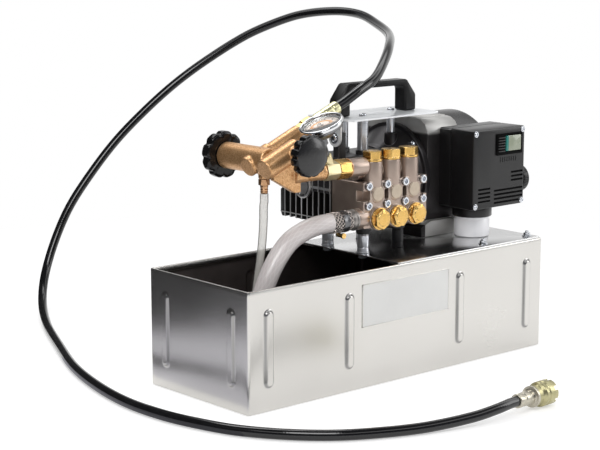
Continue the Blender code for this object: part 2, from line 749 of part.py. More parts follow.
def rounded_outline(corners, radii, steps):
    """Round each corner of a polygon with an arc of its own radius."""
    points = []
    count = len(corners)
    for index, radius in enumerate(radii):
        corner = Vector(corners[index])
        before = (Vector(corners[index - 1]) - corner).normalized()
        after = (Vector(corners[(index + 1) % count]) - corner).normalized()
        if radius <= 0:
            points.append(corner)
            continue
        half = before.angle(after) / 2
        reach = radius / math.tan(half)
        centre = corner + (before + after).normalized() * (radius / math.sin(half))
        first = corner + before * reach - centre
        last = corner + after * reach - centre
        for step in range(steps + 1):
            mix = first.lerp(last, step / steps)
            points.append(centre + mix.normalized() * radius)
    return points


def smooth_route(points, count):
    """Read evenly spaced points from a smooth curve through the route's own points."""
    route = [Vector(point) for point in points]
    lengths = [0.0]
    for first, second in zip(route, route[1:]):
        lengths.append(lengths[-1] + (second - first).length)
    slopes = []
    for index in range(len(route)):
        before = max(index - 1, 0)
        after = min(index + 1, len(route) - 1)
        slopes.append((route[after] - route[before]) / (lengths[after] - lengths[before]))
    fine = []
    for index in range(len(route) - 1):
        span = lengths[index + 1] - lengths[index]
        for step in range(24):
            t = step / 24
            t2 = t * t
            t3 = t2 * t
            fine.append(route[index] * (2 * t3 - 3 * t2 + 1) + slopes[index] * span * (t3 - 2 * t2 + t)
                        + route[index + 1] * (3 * t2 - 2 * t3) + slopes[index + 1] * span * (t3 - t2))
    fine.append(route[-1])
    travelled = [0.0]
    for first, second in zip(fine, fine[1:]):
        travelled.append(travelled[-1] + (second - first).length)
    result = []
    place = 0
    for index in range(count):
        wanted = travelled[-1] * index / (count - 1)
        while place < len(fine) - 2 and travelled[place + 1] < wanted:
            place += 1
        share = (wanted - travelled[place]) / (travelled[place + 1] - travelled[place])
        result.append(fine[place].lerp(fine[place + 1], share))
    return result, travelled[-1]


def above_deck(points):
    return [Vector(point) + Z_AXIS * DECK_TOP for point in points]


def hose(name, start, start_axis, route, end, end_axis, count, radius, material, resolution):
    """A tube that leaves its start and meets its end square, along their axes."""
    run = radius * 2
    points, length = smooth_route([along(start, start_axis, run), *route, along(end, end_axis, -run)], count)
    points = [start, *points, end]
    length += run * 2
    curve = bpy.data.curves.new(name, "CURVE")
    curve.dimensions = "3D"
    spline = curve.splines.new("POLY")
    spline.points.add(len(points[1:]))
    for slot, point in zip(spline.points, points):
        slot.co = (*point, 1)
    curve.bevel_depth = radius
    curve.bevel_resolution = resolution
    curve.use_fill_caps = True
    curve.materials.append(material)
    item = bpy.data.objects.new(name, curve)
    bpy.context.scene.collection.objects.link(item)
    print(name, "length", round(length, 4))
    return item


# Tank

def bead(centre_across, low, high, half_width, levels, side):
    """A pressed upright bead: a stadium standing out of one wall in the direction side.

    levels lists pairs of how far the stadium is drawn in and how far out it then lies.
    """
    across = Z_AXIS.cross(side)

    def stadium(shrink, distance):
        radius = half_width - shrink
        points = []
        for end, start in ((high - half_width, 0), (low + half_width, 180)):
            for step in range(BEAD_END_STEPS + 1):
                angle = math.radians(start + 180 * step / BEAD_END_STEPS)
                points.append(side * distance + across * (centre_across + radius * math.cos(angle))
                              + Z_AXIS * (end + radius * math.sin(angle)))
        return points
    return loft([stadium(shrink, distance) for shrink, distance in levels])


def bead_places():
    """Each bead's outward direction, wall distance and place across the wall."""
    half_length = TANK_LENGTH / 2
    half_width = TANK_WIDTH / 2
    outer = half_length - BEAD_END_INSET
    for side in (-Y_AXIS, Y_AXIS):
        for place in (-outer, -BEAD_LABEL_HALF_GAP, BEAD_LABEL_HALF_GAP, outer):
            yield side, half_width, place
    for side in (-X_AXIS, X_AXIS):
        for place in (-half_width + BEAD_SIDE_INSET, half_width - BEAD_SIDE_INSET):
            yield side, half_length, place


def make_tank(material):
    half_length = TANK_LENGTH / 2
    half_width = TANK_WIDTH / 2
    tank = block((-half_length, -half_width, 0), (half_length, half_width, TANK_HEIGHT), TANK_CORNER, Z_AXIS)
    outside = []
    inside = []
    for side, wall, place in bead_places():
        outside.append(bead(place, BEAD_LOW, BEAD_HIGH, BEAD_WIDTH / 2,
                            [(0, wall - WELD_OVERLAP), (0, wall + BEAD_PROUD - BEAD_SLOPE / 2),
                             (BEAD_SLOPE, wall + BEAD_PROUD)], side))
        inside.append(bead(place, BEAD_LOW + TANK_WALL, BEAD_HIGH - TANK_WALL, BEAD_WIDTH / 2 - TANK_WALL,
                           [(0, wall - TANK_WALL - OVERRUN), (BEAD_SLOPE, wall + BEAD_PROUD - TANK_WALL)],
                           side))
    unite(tank, *outside)
    cavity = block((-half_length + TANK_WALL, -half_width + TANK_WALL, TANK_WALL),
                   (half_length - TANK_WALL, half_width - TANK_WALL, TANK_HEIGHT - RIM_DEPTH))
    mouth = block((-half_length + RIM_WALL, -half_width + RIM_WALL, TANK_HEIGHT - RIM_DEPTH - OVERRUN),
                  (half_length - RIM_WALL, half_width - RIM_WALL, TANK_HEIGHT + OVERRUN))
    carve(tank, cavity, mouth, *inside)
    rail_top = TANK_HEIGHT - RAIL_DROP
    for side in (-1, 1):
        inner = side * (half_width - RIM_WALL - RAIL_WIDTH)
        outer = side * (half_width - RIM_WALL + WELD_OVERLAP)
        rail = block((DECK_LEFT + DECK_CORNER, min(inner, outer), rail_top - RAIL_THICKNESS),
                     (half_length - RIM_WALL + WELD_OVERLAP, max(inner, outer), rail_top))
        unite(tank, rail)
    holes = [rod(DECK_SCREW_RADIUS + SCREW_CLEARANCE, (x, -DECK_SCREW_Y, rail_top - RAIL_THICKNESS - OVERRUN),
                 Z_AXIS, RAIL_THICKNESS + OVERRUN * 2, SCREW_SIDES) for x in DECK_SCREW_X]
    carve(tank, *holes)
    return finish(tank, "tank", material)


def make_deck(material):
    """The deck plate with its two front screws, which reach through the rail to nuts underneath."""
    deck = block((DECK_LEFT, -TANK_WIDTH / 2 + DECK_SIDE_INSET, DECK_LOW),
                 (TANK_LENGTH / 2 - DECK_RIGHT_INSET, TANK_WIDTH / 2 - DECK_SIDE_INSET, DECK_TOP),
                 DECK_CORNER, Z_AXIS)
    holes = [rod(FOOT_BOLT_RADIUS + SCREW_CLEARANCE, (x, y, DECK_LOW - OVERRUN), Z_AXIS,
                 DECK_THICKNESS + OVERRUN * 2, FOOT_SIDES) for x, y in foot_places()]
    carve(deck, *holes)
    head_top = DECK_TOP + DECK_SCREW_HEAD_HEIGHT
    nut_top = TANK_HEIGHT - RAIL_DROP - RAIL_THICKNESS - SEAT_GAP
    nut_low = nut_top - DECK_NUT_HEIGHT
    screws = []
    for x in DECK_SCREW_X:
        screws.append(turned([
            (0, nut_low), (DECK_SCREW_HEAD_RADIUS, nut_low), (DECK_SCREW_HEAD_RADIUS, nut_top),
            (DECK_SCREW_RADIUS, nut_top), (DECK_SCREW_RADIUS, DECK_TOP - WELD_OVERLAP),
            (DECK_SCREW_HEAD_RADIUS, DECK_TOP - WELD_OVERLAP),
            (DECK_SCREW_HEAD_RADIUS, head_top - SMALL_CHAMFER),
            (DECK_SCREW_HEAD_RADIUS - SMALL_CHAMFER, head_top), (0, head_top),
        ], (x, -DECK_SCREW_Y, 0), Z_AXIS, SCREW_SIDES))
    unite(deck, *screws)
    return finish(deck, "deck_plate", material)


# Pump feet

def foot_places():
    return [(x, y) for x in FOOT_X for y in FOOT_Y]


def make_feet(steel, black):
    """Four steel spacers with a rubber buffer bonded on top; a stud runs through each from a bolt
    head under the deck into the base plate."""
    head_top = DECK_LOW - SEAT_GAP
    head_low = head_top - FOOT_BOLT_HEAD_HEIGHT
    profile = [
        (0, head_low), (FOOT_BOLT_HEAD_RADIUS, head_low), (FOOT_BOLT_HEAD_RADIUS, head_top),
        (FOOT_BOLT_RADIUS, head_top), (FOOT_BOLT_RADIUS, FOOT_LOW), (FOOT_RADIUS, FOOT_LOW),
        (FOOT_RADIUS, FOOT_TOP), (BUFFER_RADIUS, FOOT_TOP), (BUFFER_RADIUS, BUFFER_TOP),
        (FOOT_BOLT_RADIUS, BUFFER_TOP), (FOOT_BOLT_RADIUS, BASE_TOP), (0, BASE_TOP),
    ]
    for index, (x, y) in enumerate(foot_places()):
        foot = turned(profile, (x, y, 0), Z_AXIS, FOOT_SIDES)
        finish(foot, "foot_%d" % (index + 1), steel)
    plate = block((FOOT_X[0] - BASE_PLATE_MARGIN, FOOT_Y[0] - BASE_PLATE_MARGIN, BASE_LOW),
                  (FOOT_X[1] + BASE_PLATE_MARGIN, BASE_PLATE_BACK, BASE_TOP), BASE_PLATE_CORNER, Z_AXIS)
    carve(plate, *[rod(FOOT_BOLT_RADIUS + SCREW_CLEARANCE, (x, y, BASE_LOW - OVERRUN), Z_AXIS,
                       BASE_PLATE_THICKNESS + OVERRUN * 2, FOOT_SIDES) for x, y in foot_places()])
    finish(plate, "base_plate", black)


# Crankcase

def make_crankcase(material):
    chamfer = CASE_RIB_HEIGHT
    core = prism([(CASE_FRONT, CASE_LOW), (CASE_BACK - chamfer, CASE_LOW), (CASE_BACK, CASE_LOW + chamfer),
                  (CASE_BACK, SHAFT_Z + chamfer), (CASE_BACK - chamfer * 4, CASE_TOP - chamfer * 4),
                  (POST_BACK_Y + POST_PAD_RADIUS + chamfer, CASE_TOP), (CASE_FRONT, CASE_TOP)],
                 X_AXIS, CASE_STEP - WELD_OVERLAP, CASE_RIGHT)
    cheek_top = CASE_SHOULDER_FRONT - (CASE_SHOULDER_FRONT - CASE_SHOULDER_BACK) * CASE_CHEEK_SLOPE_SHARE
    cheek = prism([(CASE_FRONT, CASE_LOW + SEAT_GAP), (CASE_BACK - chamfer, CASE_LOW + SEAT_GAP),
                   (CASE_BACK - SEAT_GAP, CASE_LOW + chamfer * 2), (CASE_BACK - SEAT_GAP, CASE_SHOULDER_BACK),
                   (CASE_BACK - CASE_BOSS_RADIUS, CASE_SHOULDER_BACK + chamfer * 4), (SHAFT_Y - chamfer * 4,
                                                                                      cheek_top),
                   (CASE_FRONT, CASE_SHOULDER_FRONT)],
                  X_AXIS, CASE_LEFT, CASE_STEP + WELD_OVERLAP)
    case = unite(core, cheek)
    slot_width = CASE_FIN_PITCH - CASE_FIN_THICKNESS
    first = CASE_FRONT + CASE_FIN_THICKNESS
    slots = [block((CASE_LEFT - OVERRUN, first + CASE_FIN_PITCH * index, CASE_LOW - OVERRUN),
                   (CASE_LEFT + CASE_FIN_DEPTH, first + CASE_FIN_PITCH * index + slot_width, CASE_FIN_TOP))
             for index in range(CASE_FIN_COUNT)]
    first = CASE_STEP + CASE_FIN_THICKNESS
    slots += [block((first + CASE_FIN_PITCH * index, CASE_BACK - CASE_FIN_DEPTH, CASE_BACK_FIN_LOW),
                    (first + CASE_FIN_PITCH * index + slot_width, CASE_BACK + OVERRUN, SHAFT_Z))
              for index in range(CASE_BACK_FIN_COUNT)]
    carve(case, *slots)
    boss = rod(CASE_BOSS_RADIUS, (CASE_LEFT - BOSS_PROUD, SHAFT_Y, SHAFT_Z), X_AXIS,
               BOSS_PROUD + CASE_FIN_DEPTH + CASE_RIB_HEIGHT, ROUND, SMALL_CHAMFER)
    rib = block((CASE_LEFT - CASE_RIB_PROUD, CASE_FRONT + SEAT_GAP, SHAFT_Z - CASE_RIB_HEIGHT / 2),
                (CASE_LEFT + CASE_FIN_DEPTH, SHAFT_Y, SHAFT_Z + CASE_RIB_HEIGHT / 2))
    pads = [rod(POST_PAD_RADIUS, (POST_X, y, CASE_TOP - WELD_OVERLAP), Z_AXIS,
                POST_PAD_HEIGHT + WELD_OVERLAP, COARSE)
            for y in (POST_FRONT_Y, POST_BACK_Y)]
    lug_left = PLATE_LEFT + PLATE_THICKNESS + SEAT_GAP
    lug_post = block((lug_left, LUG_Y - LUG_POST_DEPTH / 2, CASE_SHOULDER_FRONT - CASE_RIB_HEIGHT * 3),
                     (lug_left + LUG_POST_WIDTH, LUG_Y + LUG_POST_DEPTH / 2,
                      LUG_Z + LUG_POST_DEPTH / 2 + SMALL_CHAMFER),
                     SMALL_CHAMFER, Z_AXIS)
    unite(case, boss, rib, lug_post, *pads)
    lug_screw = frame_screw((PLATE_LEFT, LUG_Y, LUG_Z), -X_AXIS, FRAME_SCREW_DEPTH)
    unite(case, lug_screw)
    shaft_line = (0, SHAFT_Y, SHAFT_Z)
    chamber = rod(CRANK_CHAMBER_RADIUS, along(shaft_line, X_AXIS, CRANK_CHAMBER_LEFT), X_AXIS,
                  CASE_RIGHT - CRANK_CHAMBER_LEFT + OVERRUN, ROUND)
    bearing_bore = rod(BEARING_RADIUS + SEAT_GAP, along(shaft_line, X_AXIS, BEARING_LEFT - SEAT_GAP), X_AXIS,
                       CRANK_CHAMBER_LEFT - BEARING_LEFT + OVERRUN, ROUND)
    plunger_bores = [rod(PLUNGER_BORE_RADIUS, (x, CASE_FRONT - OVERRUN, SHAFT_Z), Y_AXIS,
                         SHAFT_Y - CASE_FRONT + OVERRUN, COARSE) for x in COLUMNS]
    cap_recess = rod(CASE_BOSS_RADIUS - BEARING_CAP_WALL, along(shaft_line, X_AXIS,
                                                                CASE_LEFT - BOSS_PROUD - OVERRUN),
                     X_AXIS, OVERRUN + BEARING_CAP_RECESS, ROUND)
    carve(case, chamber, bearing_bore, cap_recess, *plunger_bores, solver="MANIFOLD")
    return finish(case, "crankcase", material)


def make_shaft_line(dark_steel, steel):
    shaft_line = (0, SHAFT_Y, SHAFT_Z)
    bearing = ring(BEARING_RADIUS, SHAFT_RADIUS + RUNNING_GAP, along(shaft_line, X_AXIS, BEARING_LEFT),
                   X_AXIS, BEARING_WIDTH, ROUND)
    finish(bearing, "crank_bearing", steel)
    right = CASE_RIGHT + SLEEVE_LENGTH
    journal_left = BEARING_LEFT + SEAT_GAP
    mouth = right - SLEEVE_OVERLAP
    bore = SHAFT_RADIUS + SEAT_GAP
    profile = [(0, journal_left), (SHAFT_RADIUS, journal_left)]
    half = ECCENTRIC_WIDTH / 2
    profile += [(SHAFT_RADIUS, CASE_RIGHT), (SLEEVE_RADIUS, CASE_RIGHT), (SLEEVE_RADIUS, right), (bore, right),
                (bore, mouth), (0, mouth)]
    crank = turned(profile, shaft_line, X_AXIS, ROUND)
    throws = []
    for index, x in enumerate(COLUMNS):
        angle = math.tau * index / COLUMN_COUNT
        throw = Vector((0, math.cos(angle), math.sin(angle))) * ECCENTRIC_OFFSET
        throws.append(rod(ECCENTRIC_RADIUS, Vector((x - half, SHAFT_Y, SHAFT_Z)) + throw, X_AXIS,
                          ECCENTRIC_WIDTH, ROUND))
    unite(crank, *throws)
    finish(crank, "crankshaft", dark_steel)


def make_plungers(ceramic):
    """Three plungers, each with its origin on its own line of travel."""
    for index, x in enumerate(COLUMNS):
        plunger = turned([
            (0, 0), (PLUNGER_RADIUS, 0),
            (PLUNGER_RADIUS, PLUNGER_LENGTH - PLUNGER_TIP_LENGTH),
            (PLUNGER_TIP_RADIUS, PLUNGER_LENGTH - PLUNGER_TIP_LENGTH), (PLUNGER_TIP_RADIUS, PLUNGER_LENGTH),
            (0, PLUNGER_LENGTH),
        ], (0, 0, 0), Y_AXIS, COARSE)
        plunger.location = (x, PLUNGER_FRONT, SHAFT_Z)
        finish(plunger, "plunger_%d" % (index + 1), ceramic)


# Pump head

def make_head(material):
    head = block((HEAD_LEFT, HEAD_FRONT, HEAD_LOW), (HEAD_RIGHT, HEAD_BACK, HEAD_HIGH), HEAD_EDGE)
    additions = []
    for x in COLUMNS:
        additions.append(rod(VALVE_COLUMN_RADIUS, (x, VALVE_COLUMN_Y, VALVE_COLUMN_LOW), Z_AXIS,
                             VALVE_COLUMN_TOP - VALVE_COLUMN_LOW, ROUND))
        additions.append(rod(VALVE_BOSS_RADIUS, (x, HEAD_FRONT - VALVE_BOSS_PROUD, VALVE_CAP_Z), Y_AXIS,
                             VALVE_BOSS_PROUD + HEAD_EDGE * 4, ROUND))
    gallery_left = HEAD_LEFT + HEAD_EDGE
    additions.append(rod(GALLERY_RADIUS, (gallery_left, GALLERY_Y, GALLERY_Z), X_AXIS,
                         GALLERY_RIGHT - gallery_left, ROUND))
    additions.append(block((gallery_left, GALLERY_Y - GALLERY_RADIUS + SMALL_CHAMFER,
                            HEAD_HIGH - HEAD_EDGE * 2),
                           (GALLERY_RIGHT, HEAD_BACK - HEAD_EDGE, GALLERY_Z)))
    additions.append(rod(DISCHARGE_PORT_RADIUS, (DISCHARGE_PORT_LEFT, LINE_Y, DISCHARGE_Z), X_AXIS,
                         COLUMNS[0] - CAP_TOP_FLANGE_RADIUS - SMALL_CHAMFER - DISCHARGE_PORT_LEFT, ROUND))
    additions.append(rod(SUCTION_PORT_RADIUS, (SUCTION_PORT_LEFT, LINE_Y, SUCTION_Z), X_AXIS,
                         HEAD_LEFT - SUCTION_PORT_LEFT + SUCTION_ROOT_DEPTH, ROUND))
    for addition in additions:
        unite(head, addition, solver="MANIFOLD")
    pocket_middle = (HEAD_SCREW_Z[0] + HEAD_SCREW_Z[1]) / 2
    cutters = [block((x - HEAD_POCKET_WIDTH / 2, HEAD_FRONT - OVERRUN, pocket_middle - HEAD_POCKET_HEIGHT / 2),
                     (x + HEAD_POCKET_WIDTH / 2, HEAD_FRONT + HEAD_POCKET_DEPTH,
                      pocket_middle + HEAD_POCKET_HEIGHT / 2)) for x in SCREW_COLUMNS]
    bore_front = PLUNGER_FRONT - PLUNGER_STROKE_HALF - RUNNING_GAP * 2
    cutters += [rod(PLUNGER_BORE_RADIUS, (x, bore_front, SHAFT_Z), Y_AXIS, HEAD_BACK - bore_front + OVERRUN,
                    COARSE)
                for x in COLUMNS]
    carve(head, *cutters, solver="MANIFOLD")
    for x in COLUMNS:
        plug = rod(PLUG_RADIUS, (x, HEAD_FRONT - PLUG_PROUD, SHAFT_Z), Y_AXIS, PLUG_PROUD + HEAD_EDGE, ROUND)
        unite(head, plug, solver="MANIFOLD")
    unite(head, *[head_screw(x, z) for x in SCREW_COLUMNS for z in HEAD_SCREW_Z], solver="MANIFOLD")
    return finish(head, "pump_head", material)


def head_screw(x, z):
    """A socket cap screw's head, seated a little below the face of the pump head."""
    seat = HEAD_FRONT + HEAD_SCREW_SPOT_DEPTH
    return rod(HEAD_SCREW_CAP_RADIUS, (x, seat, z), -Y_AXIS, HEAD_SCREW_CAP_HEIGHT, SCREW_SIDES)


def make_head_fittings(brass):
    for index, x in enumerate(COLUMNS):
        lower = make_valve_cap((x, HEAD_FRONT - VALVE_BOSS_PROUD - SEAT_GAP, VALVE_CAP_Z), -Y_AXIS,
                               CAP_FLANGE_RADIUS, CAP_ACROSS_FLATS, CAP_HEX_HEIGHT)
        finish(lower, "suction_valve_cap_%d" % (index + 1), brass)
        upper = make_valve_cap((x, VALVE_COLUMN_Y, VALVE_COLUMN_TOP + SEAT_GAP), Z_AXIS,
                               CAP_TOP_FLANGE_RADIUS, CAP_TOP_ACROSS_FLATS, CAP_TOP_HEX_HEIGHT)
        finish(upper, "discharge_valve_cap_%d" % (index + 1), brass)


def make_valve_cap(seat, axis, flange_radius, across_flats, hex_height):
    cap = rod(flange_radius, seat, axis, CAP_FLANGE_THICKNESS, ROUND)
    bar = hexagon(across_flats, along(seat, axis, CAP_FLANGE_THICKNESS - SMALL_CHAMFER), axis,
                  hex_height + SMALL_CHAMFER, SMALL_CHAMFER * 2)
    return unite(cap, bar)


# Discharge line and valve block

def make_discharge_line(brass, yellow_brass):
    """The union with its sealing ring, then the tee that carries the gauge."""
    start = DISCHARGE_PORT_LEFT - SEAT_GAP
    line = (0, LINE_Y, DISCHARGE_Z)
    washer = rod(WASHER_RADIUS, along(line, X_AXIS, start - WASHER_THICKNESS), X_AXIS, WASHER_THICKNESS, ROUND)
    start -= WASHER_THICKNESS
    union = hexagon(UNION_ACROSS_FLATS, along(line, X_AXIS, start - UNION_HEX_LENGTH), X_AXIS,
                    UNION_HEX_LENGTH + SMALL_CHAMFER, SMALL_CHAMFER * 2)
    unite(union, washer)
    finish(union, "discharge_union", brass)
    start -= UNION_HEX_LENGTH + SEAT_GAP
    tee = hexagon(TEE_ACROSS_FLATS, along(line, X_AXIS, start - TEE_LENGTH), X_AXIS, TEE_LENGTH,
                  SMALL_CHAMFER * 2)
    foot = Vector((TEE_BOSS_X, LINE_Y, DISCHARGE_Z))
    unite(tee, rod(TEE_BOSS_RADIUS, foot, BLOCK_UP, TEE_BOSS_HEIGHT, COARSE, SMALL_CHAMFER))
    carve(tee, rod(GAUGE_STEM_RADIUS + SEAT_GAP, along(foot, BLOCK_UP, TEE_BOSS_HEIGHT - TEE_SOCKET_DEPTH),
                   BLOCK_UP,
                   TEE_SOCKET_DEPTH + OVERRUN, COARSE))
    finish(tee, "gauge_tee", yellow_brass)
    return start - TEE_LENGTH - SEAT_GAP


def make_valve_block(material, inlet_x):
    barrel = rod(REGULATOR_RADIUS, (REGULATOR_X, REGULATOR_FRONT, REGULATOR_Z), Y_AXIS,
                 REGULATOR_BACK - REGULATOR_FRONT, FINE, BLOCK_EDGE)
    additions = [
        rod(FRONT_BARREL_RADIUS, along(FRONT_CROSSING, BARREL_AXIS, -FRONT_BARREL_BEFORE), BARREL_AXIS,
            FRONT_BARREL_BEFORE + FRONT_BARREL_AFTER, ROUND, BLOCK_EDGE),
        rod(OUTLET_BARREL_RADIUS, along(OUTLET_CROSSING, BARREL_AXIS, -OUTLET_BARREL_BEFORE), BARREL_AXIS,
            OUTLET_BARREL_BEFORE + OUTLET_BARREL_AFTER, ROUND, BLOCK_EDGE),
        rod(OUTLET_NECK_RADIUS, OUTLET_CROSSING, BARREL_AXIS, OUTLET_NECK_AFTER, COARSE),
    ]
    web_top_left = REGULATOR_Z - OUTLET_BARREL_RADIUS / 2
    web_top_right = REGULATOR_Z + (WEB_RIGHT - REGULATOR_X) * math.tan(BLOCK_TILT) - SMALL_CHAMFER
    additions.append(prism([(WEB_LEFT, web_top_left), (WEB_RIGHT, web_top_right), (WEB_RIGHT, WEB_LOW),
                            (WEB_RIGHT - WEB_TOE, WEB_LOW), (WEB_LEFT, WEB_LEFT_LOW)],
                           Y_AXIS, LINE_Y - WEB_THICKNESS / 2, LINE_Y + WEB_THICKNESS / 2))
    arm_left = WEB_RIGHT - INLET_ARM_ROOT
    additions.append(turned([
        (0, arm_left), (INLET_ARM_RADIUS, arm_left), (INLET_ARM_RADIUS, inlet_x - INLET_FLANGE_WIDTH),
        (INLET_FLANGE_RADIUS, inlet_x - INLET_FLANGE_WIDTH), (INLET_FLANGE_RADIUS, inlet_x), (0, inlet_x),
    ], (0, LINE_Y, DISCHARGE_Z), X_AXIS, COARSE))
    bonnet = along(FRONT_CROSSING, BARREL_AXIS, BONNET_ALONG)
    additions.append(rod(BONNET_RADIUS, bonnet, -Y_AXIS, LINE_Y - BONNET_FRONT, COARSE))
    additions.append(rod(RETURN_BOSS_RADIUS, (REGULATOR_X, RETURN_Y, RETURN_BOSS_LOW), Z_AXIS,
                         REGULATOR_Z - RETURN_BOSS_LOW, COARSE))
    for addition in additions:
        unite(barrel, addition, solver="MANIFOLD")
    carve(barrel,
          rod(REGULATOR_STEM_RADIUS + RUNNING_GAP, (REGULATOR_X, REGULATOR_BACK - STEM_BORE_DEPTH,
                                                    REGULATOR_Z), Y_AXIS,
              STEM_BORE_DEPTH + OVERRUN, COARSE),
          rod(SHUTOFF_STEM_RADIUS + RUNNING_GAP, (bonnet.x, BONNET_FRONT + STEM_BORE_DEPTH, bonnet.z), -Y_AXIS,
              STEM_BORE_DEPTH + OVERRUN, COARSE),
          solver="MANIFOLD")
    return finish(barrel, "valve_block", material)


def lobed_loop(radius, depth, distance):
    count = KNOB_LOBES * KNOB_POINTS_PER_LOBE
    points = []
    for index in range(count):
        angle = math.tau * index / count
        wave = (1 - math.cos(angle * KNOB_LOBES)) / 2
        reach = radius - depth * wave
        points.append(Vector((reach * math.cos(angle), reach * math.sin(angle), distance)))
    return points


def knob(radius, thickness, dome, hub_radius, hub_length, stem_radius):
    """A moulded lobed knob on its stem, pointing along its own +Z, with its origin where the stem
    leaves the valve."""
    depth = radius * KNOB_LOBE_DEPTH_SHARE
    low = hub_length
    high = low + thickness
    soft = thickness / 4
    body = loft([
        lobed_loop(radius - soft, depth, low),
        lobed_loop(radius, depth, low + soft),
        lobed_loop(radius, depth, high - soft),
        lobed_loop(radius - soft, depth / 2, high),
        lobed_loop(radius * KNOB_DOME_SHARE, 0, high + dome),
    ])
    stem = turned([
        (0, -STEM_INSERTION), (stem_radius, -STEM_INSERTION), (stem_radius, SEAT_GAP), (hub_radius, SEAT_GAP),
        (hub_radius, low + soft), (0, low + soft),
    ], (0, 0, 0), Z_AXIS, COARSE)
    return unite(body, stem)


def make_knobs(black):
    regulator = knob(REGULATOR_KNOB_RADIUS, REGULATOR_KNOB_THICKNESS, REGULATOR_KNOB_DOME,
                     REGULATOR_RADIUS - SMALL_CHAMFER, SMALL_CHAMFER, REGULATOR_STEM_RADIUS)
    regulator.data.transform(Matrix.Rotation(-math.pi / 2, 4, "X"))
    regulator.location = (REGULATOR_X, REGULATOR_BACK, REGULATOR_Z)
    finish(regulator, "regulator_knob", black)
    bonnet = along(FRONT_CROSSING, BARREL_AXIS, BONNET_ALONG)
    shutoff = knob(SHUTOFF_KNOB_RADIUS, SHUTOFF_KNOB_THICKNESS, SHUTOFF_KNOB_DOME, SHUTOFF_HUB_RADIUS,
                   SHUTOFF_HUB_LENGTH, SHUTOFF_STEM_RADIUS)
    shutoff.data.transform(Matrix.Rotation(math.pi / 2, 4, "X"))
    shutoff.location = (bonnet.x, BONNET_FRONT, bonnet.z)
    finish(shutoff, "shutoff_knob", black)


# Gauge

def make_gauge(grey, chrome, cream, glass, black):
    back = -GAUGE_DEPTH
    floor = -GAUGE_FLOOR_DEPTH
    case = turned([
        (0, back), (GAUGE_CASE_RADIUS - SMALL_CHAMFER * 3, back), (GAUGE_CASE_RADIUS, back + SMALL_CHAMFER * 3),
        (GAUGE_CASE_RADIUS, -GAUGE_BEZEL_DEPTH - SEAT_GAP), (GAUGE_CASE_BORE_RADIUS,
                                                             -GAUGE_BEZEL_DEPTH - SEAT_GAP),
        (GAUGE_CASE_BORE_RADIUS, floor), (0, floor),
    ], GAUGE_CENTRE, BLOCK_UP, FINE)
    stem_foot = Vector((TEE_BOSS_X, LINE_Y, DISCHARGE_Z))
    stem_low = TEE_BOSS_HEIGHT - TEE_SOCKET_DEPTH + SEAT_GAP
    stem_high = GAUGE_STEM_DROP - GAUGE_DEPTH
    stem = rod(GAUGE_STEM_RADIUS, along(stem_foot, BLOCK_UP, stem_low), BLOCK_UP,
               stem_high - stem_low + SMALL_CHAMFER, COARSE)
    nut = hexagon(GAUGE_STEM_HEX, along(stem_foot, BLOCK_UP, stem_high - GAUGE_STEM_HEX_HEIGHT), BLOCK_UP,
                  GAUGE_STEM_HEX_HEIGHT + SMALL_CHAMFER)
    unite(case, stem, nut, solver="MANIFOLD")
    pin_hole = rod(GAUGE_PIN_RADIUS + RUNNING_GAP, along(GAUGE_CENTRE, BLOCK_UP, floor - GAUGE_PIN_LENGTH),
                   BLOCK_UP,
                   GAUGE_PIN_LENGTH + OVERRUN, SCREW_SIDES)
    carve(case, pin_hole, solver="MANIFOLD")
    finish(case, "gauge_case", grey)
    dial = ring(GAUGE_CASE_BORE_RADIUS - SEAT_GAP, GAUGE_PIN_RADIUS + RUNNING_GAP,
                along(GAUGE_CENTRE, BLOCK_UP, floor + SEAT_GAP), BLOCK_UP, GAUGE_DIAL_THICKNESS, FINE)
    finish(dial, "gauge_dial", cream)
    lip = -GAUGE_LIP_THICKNESS
    bezel = turned([
        (GAUGE_BEZEL_RADIUS, -GAUGE_BEZEL_DEPTH), (GAUGE_BEZEL_RADIUS, -GAUGE_LIP_THICKNESS),
        (GAUGE_BEZEL_RADIUS - GAUGE_LIP_THICKNESS, 0), (GAUGE_LIP_RADIUS, lip / 2), (GAUGE_LIP_RADIUS, lip),
        (GAUGE_BEZEL_BORE_RADIUS, lip), (GAUGE_BEZEL_BORE_RADIUS, -GAUGE_BEZEL_DEPTH),
    ], GAUGE_CENTRE, BLOCK_UP, FINE)
    finish(bezel, "gauge_bezel", chrome)
    lens_high = lip - SEAT_GAP
    lens = rod(GAUGE_BEZEL_BORE_RADIUS - SEAT_GAP, along(GAUGE_CENTRE, BLOCK_UP,
                                                         lens_high - GAUGE_LENS_THICKNESS),
               BLOCK_UP, GAUGE_LENS_THICKNESS, FINE)
    finish(lens, "gauge_lens", glass)
    needle = make_needle()
    finish(needle, "gauge_needle", black)


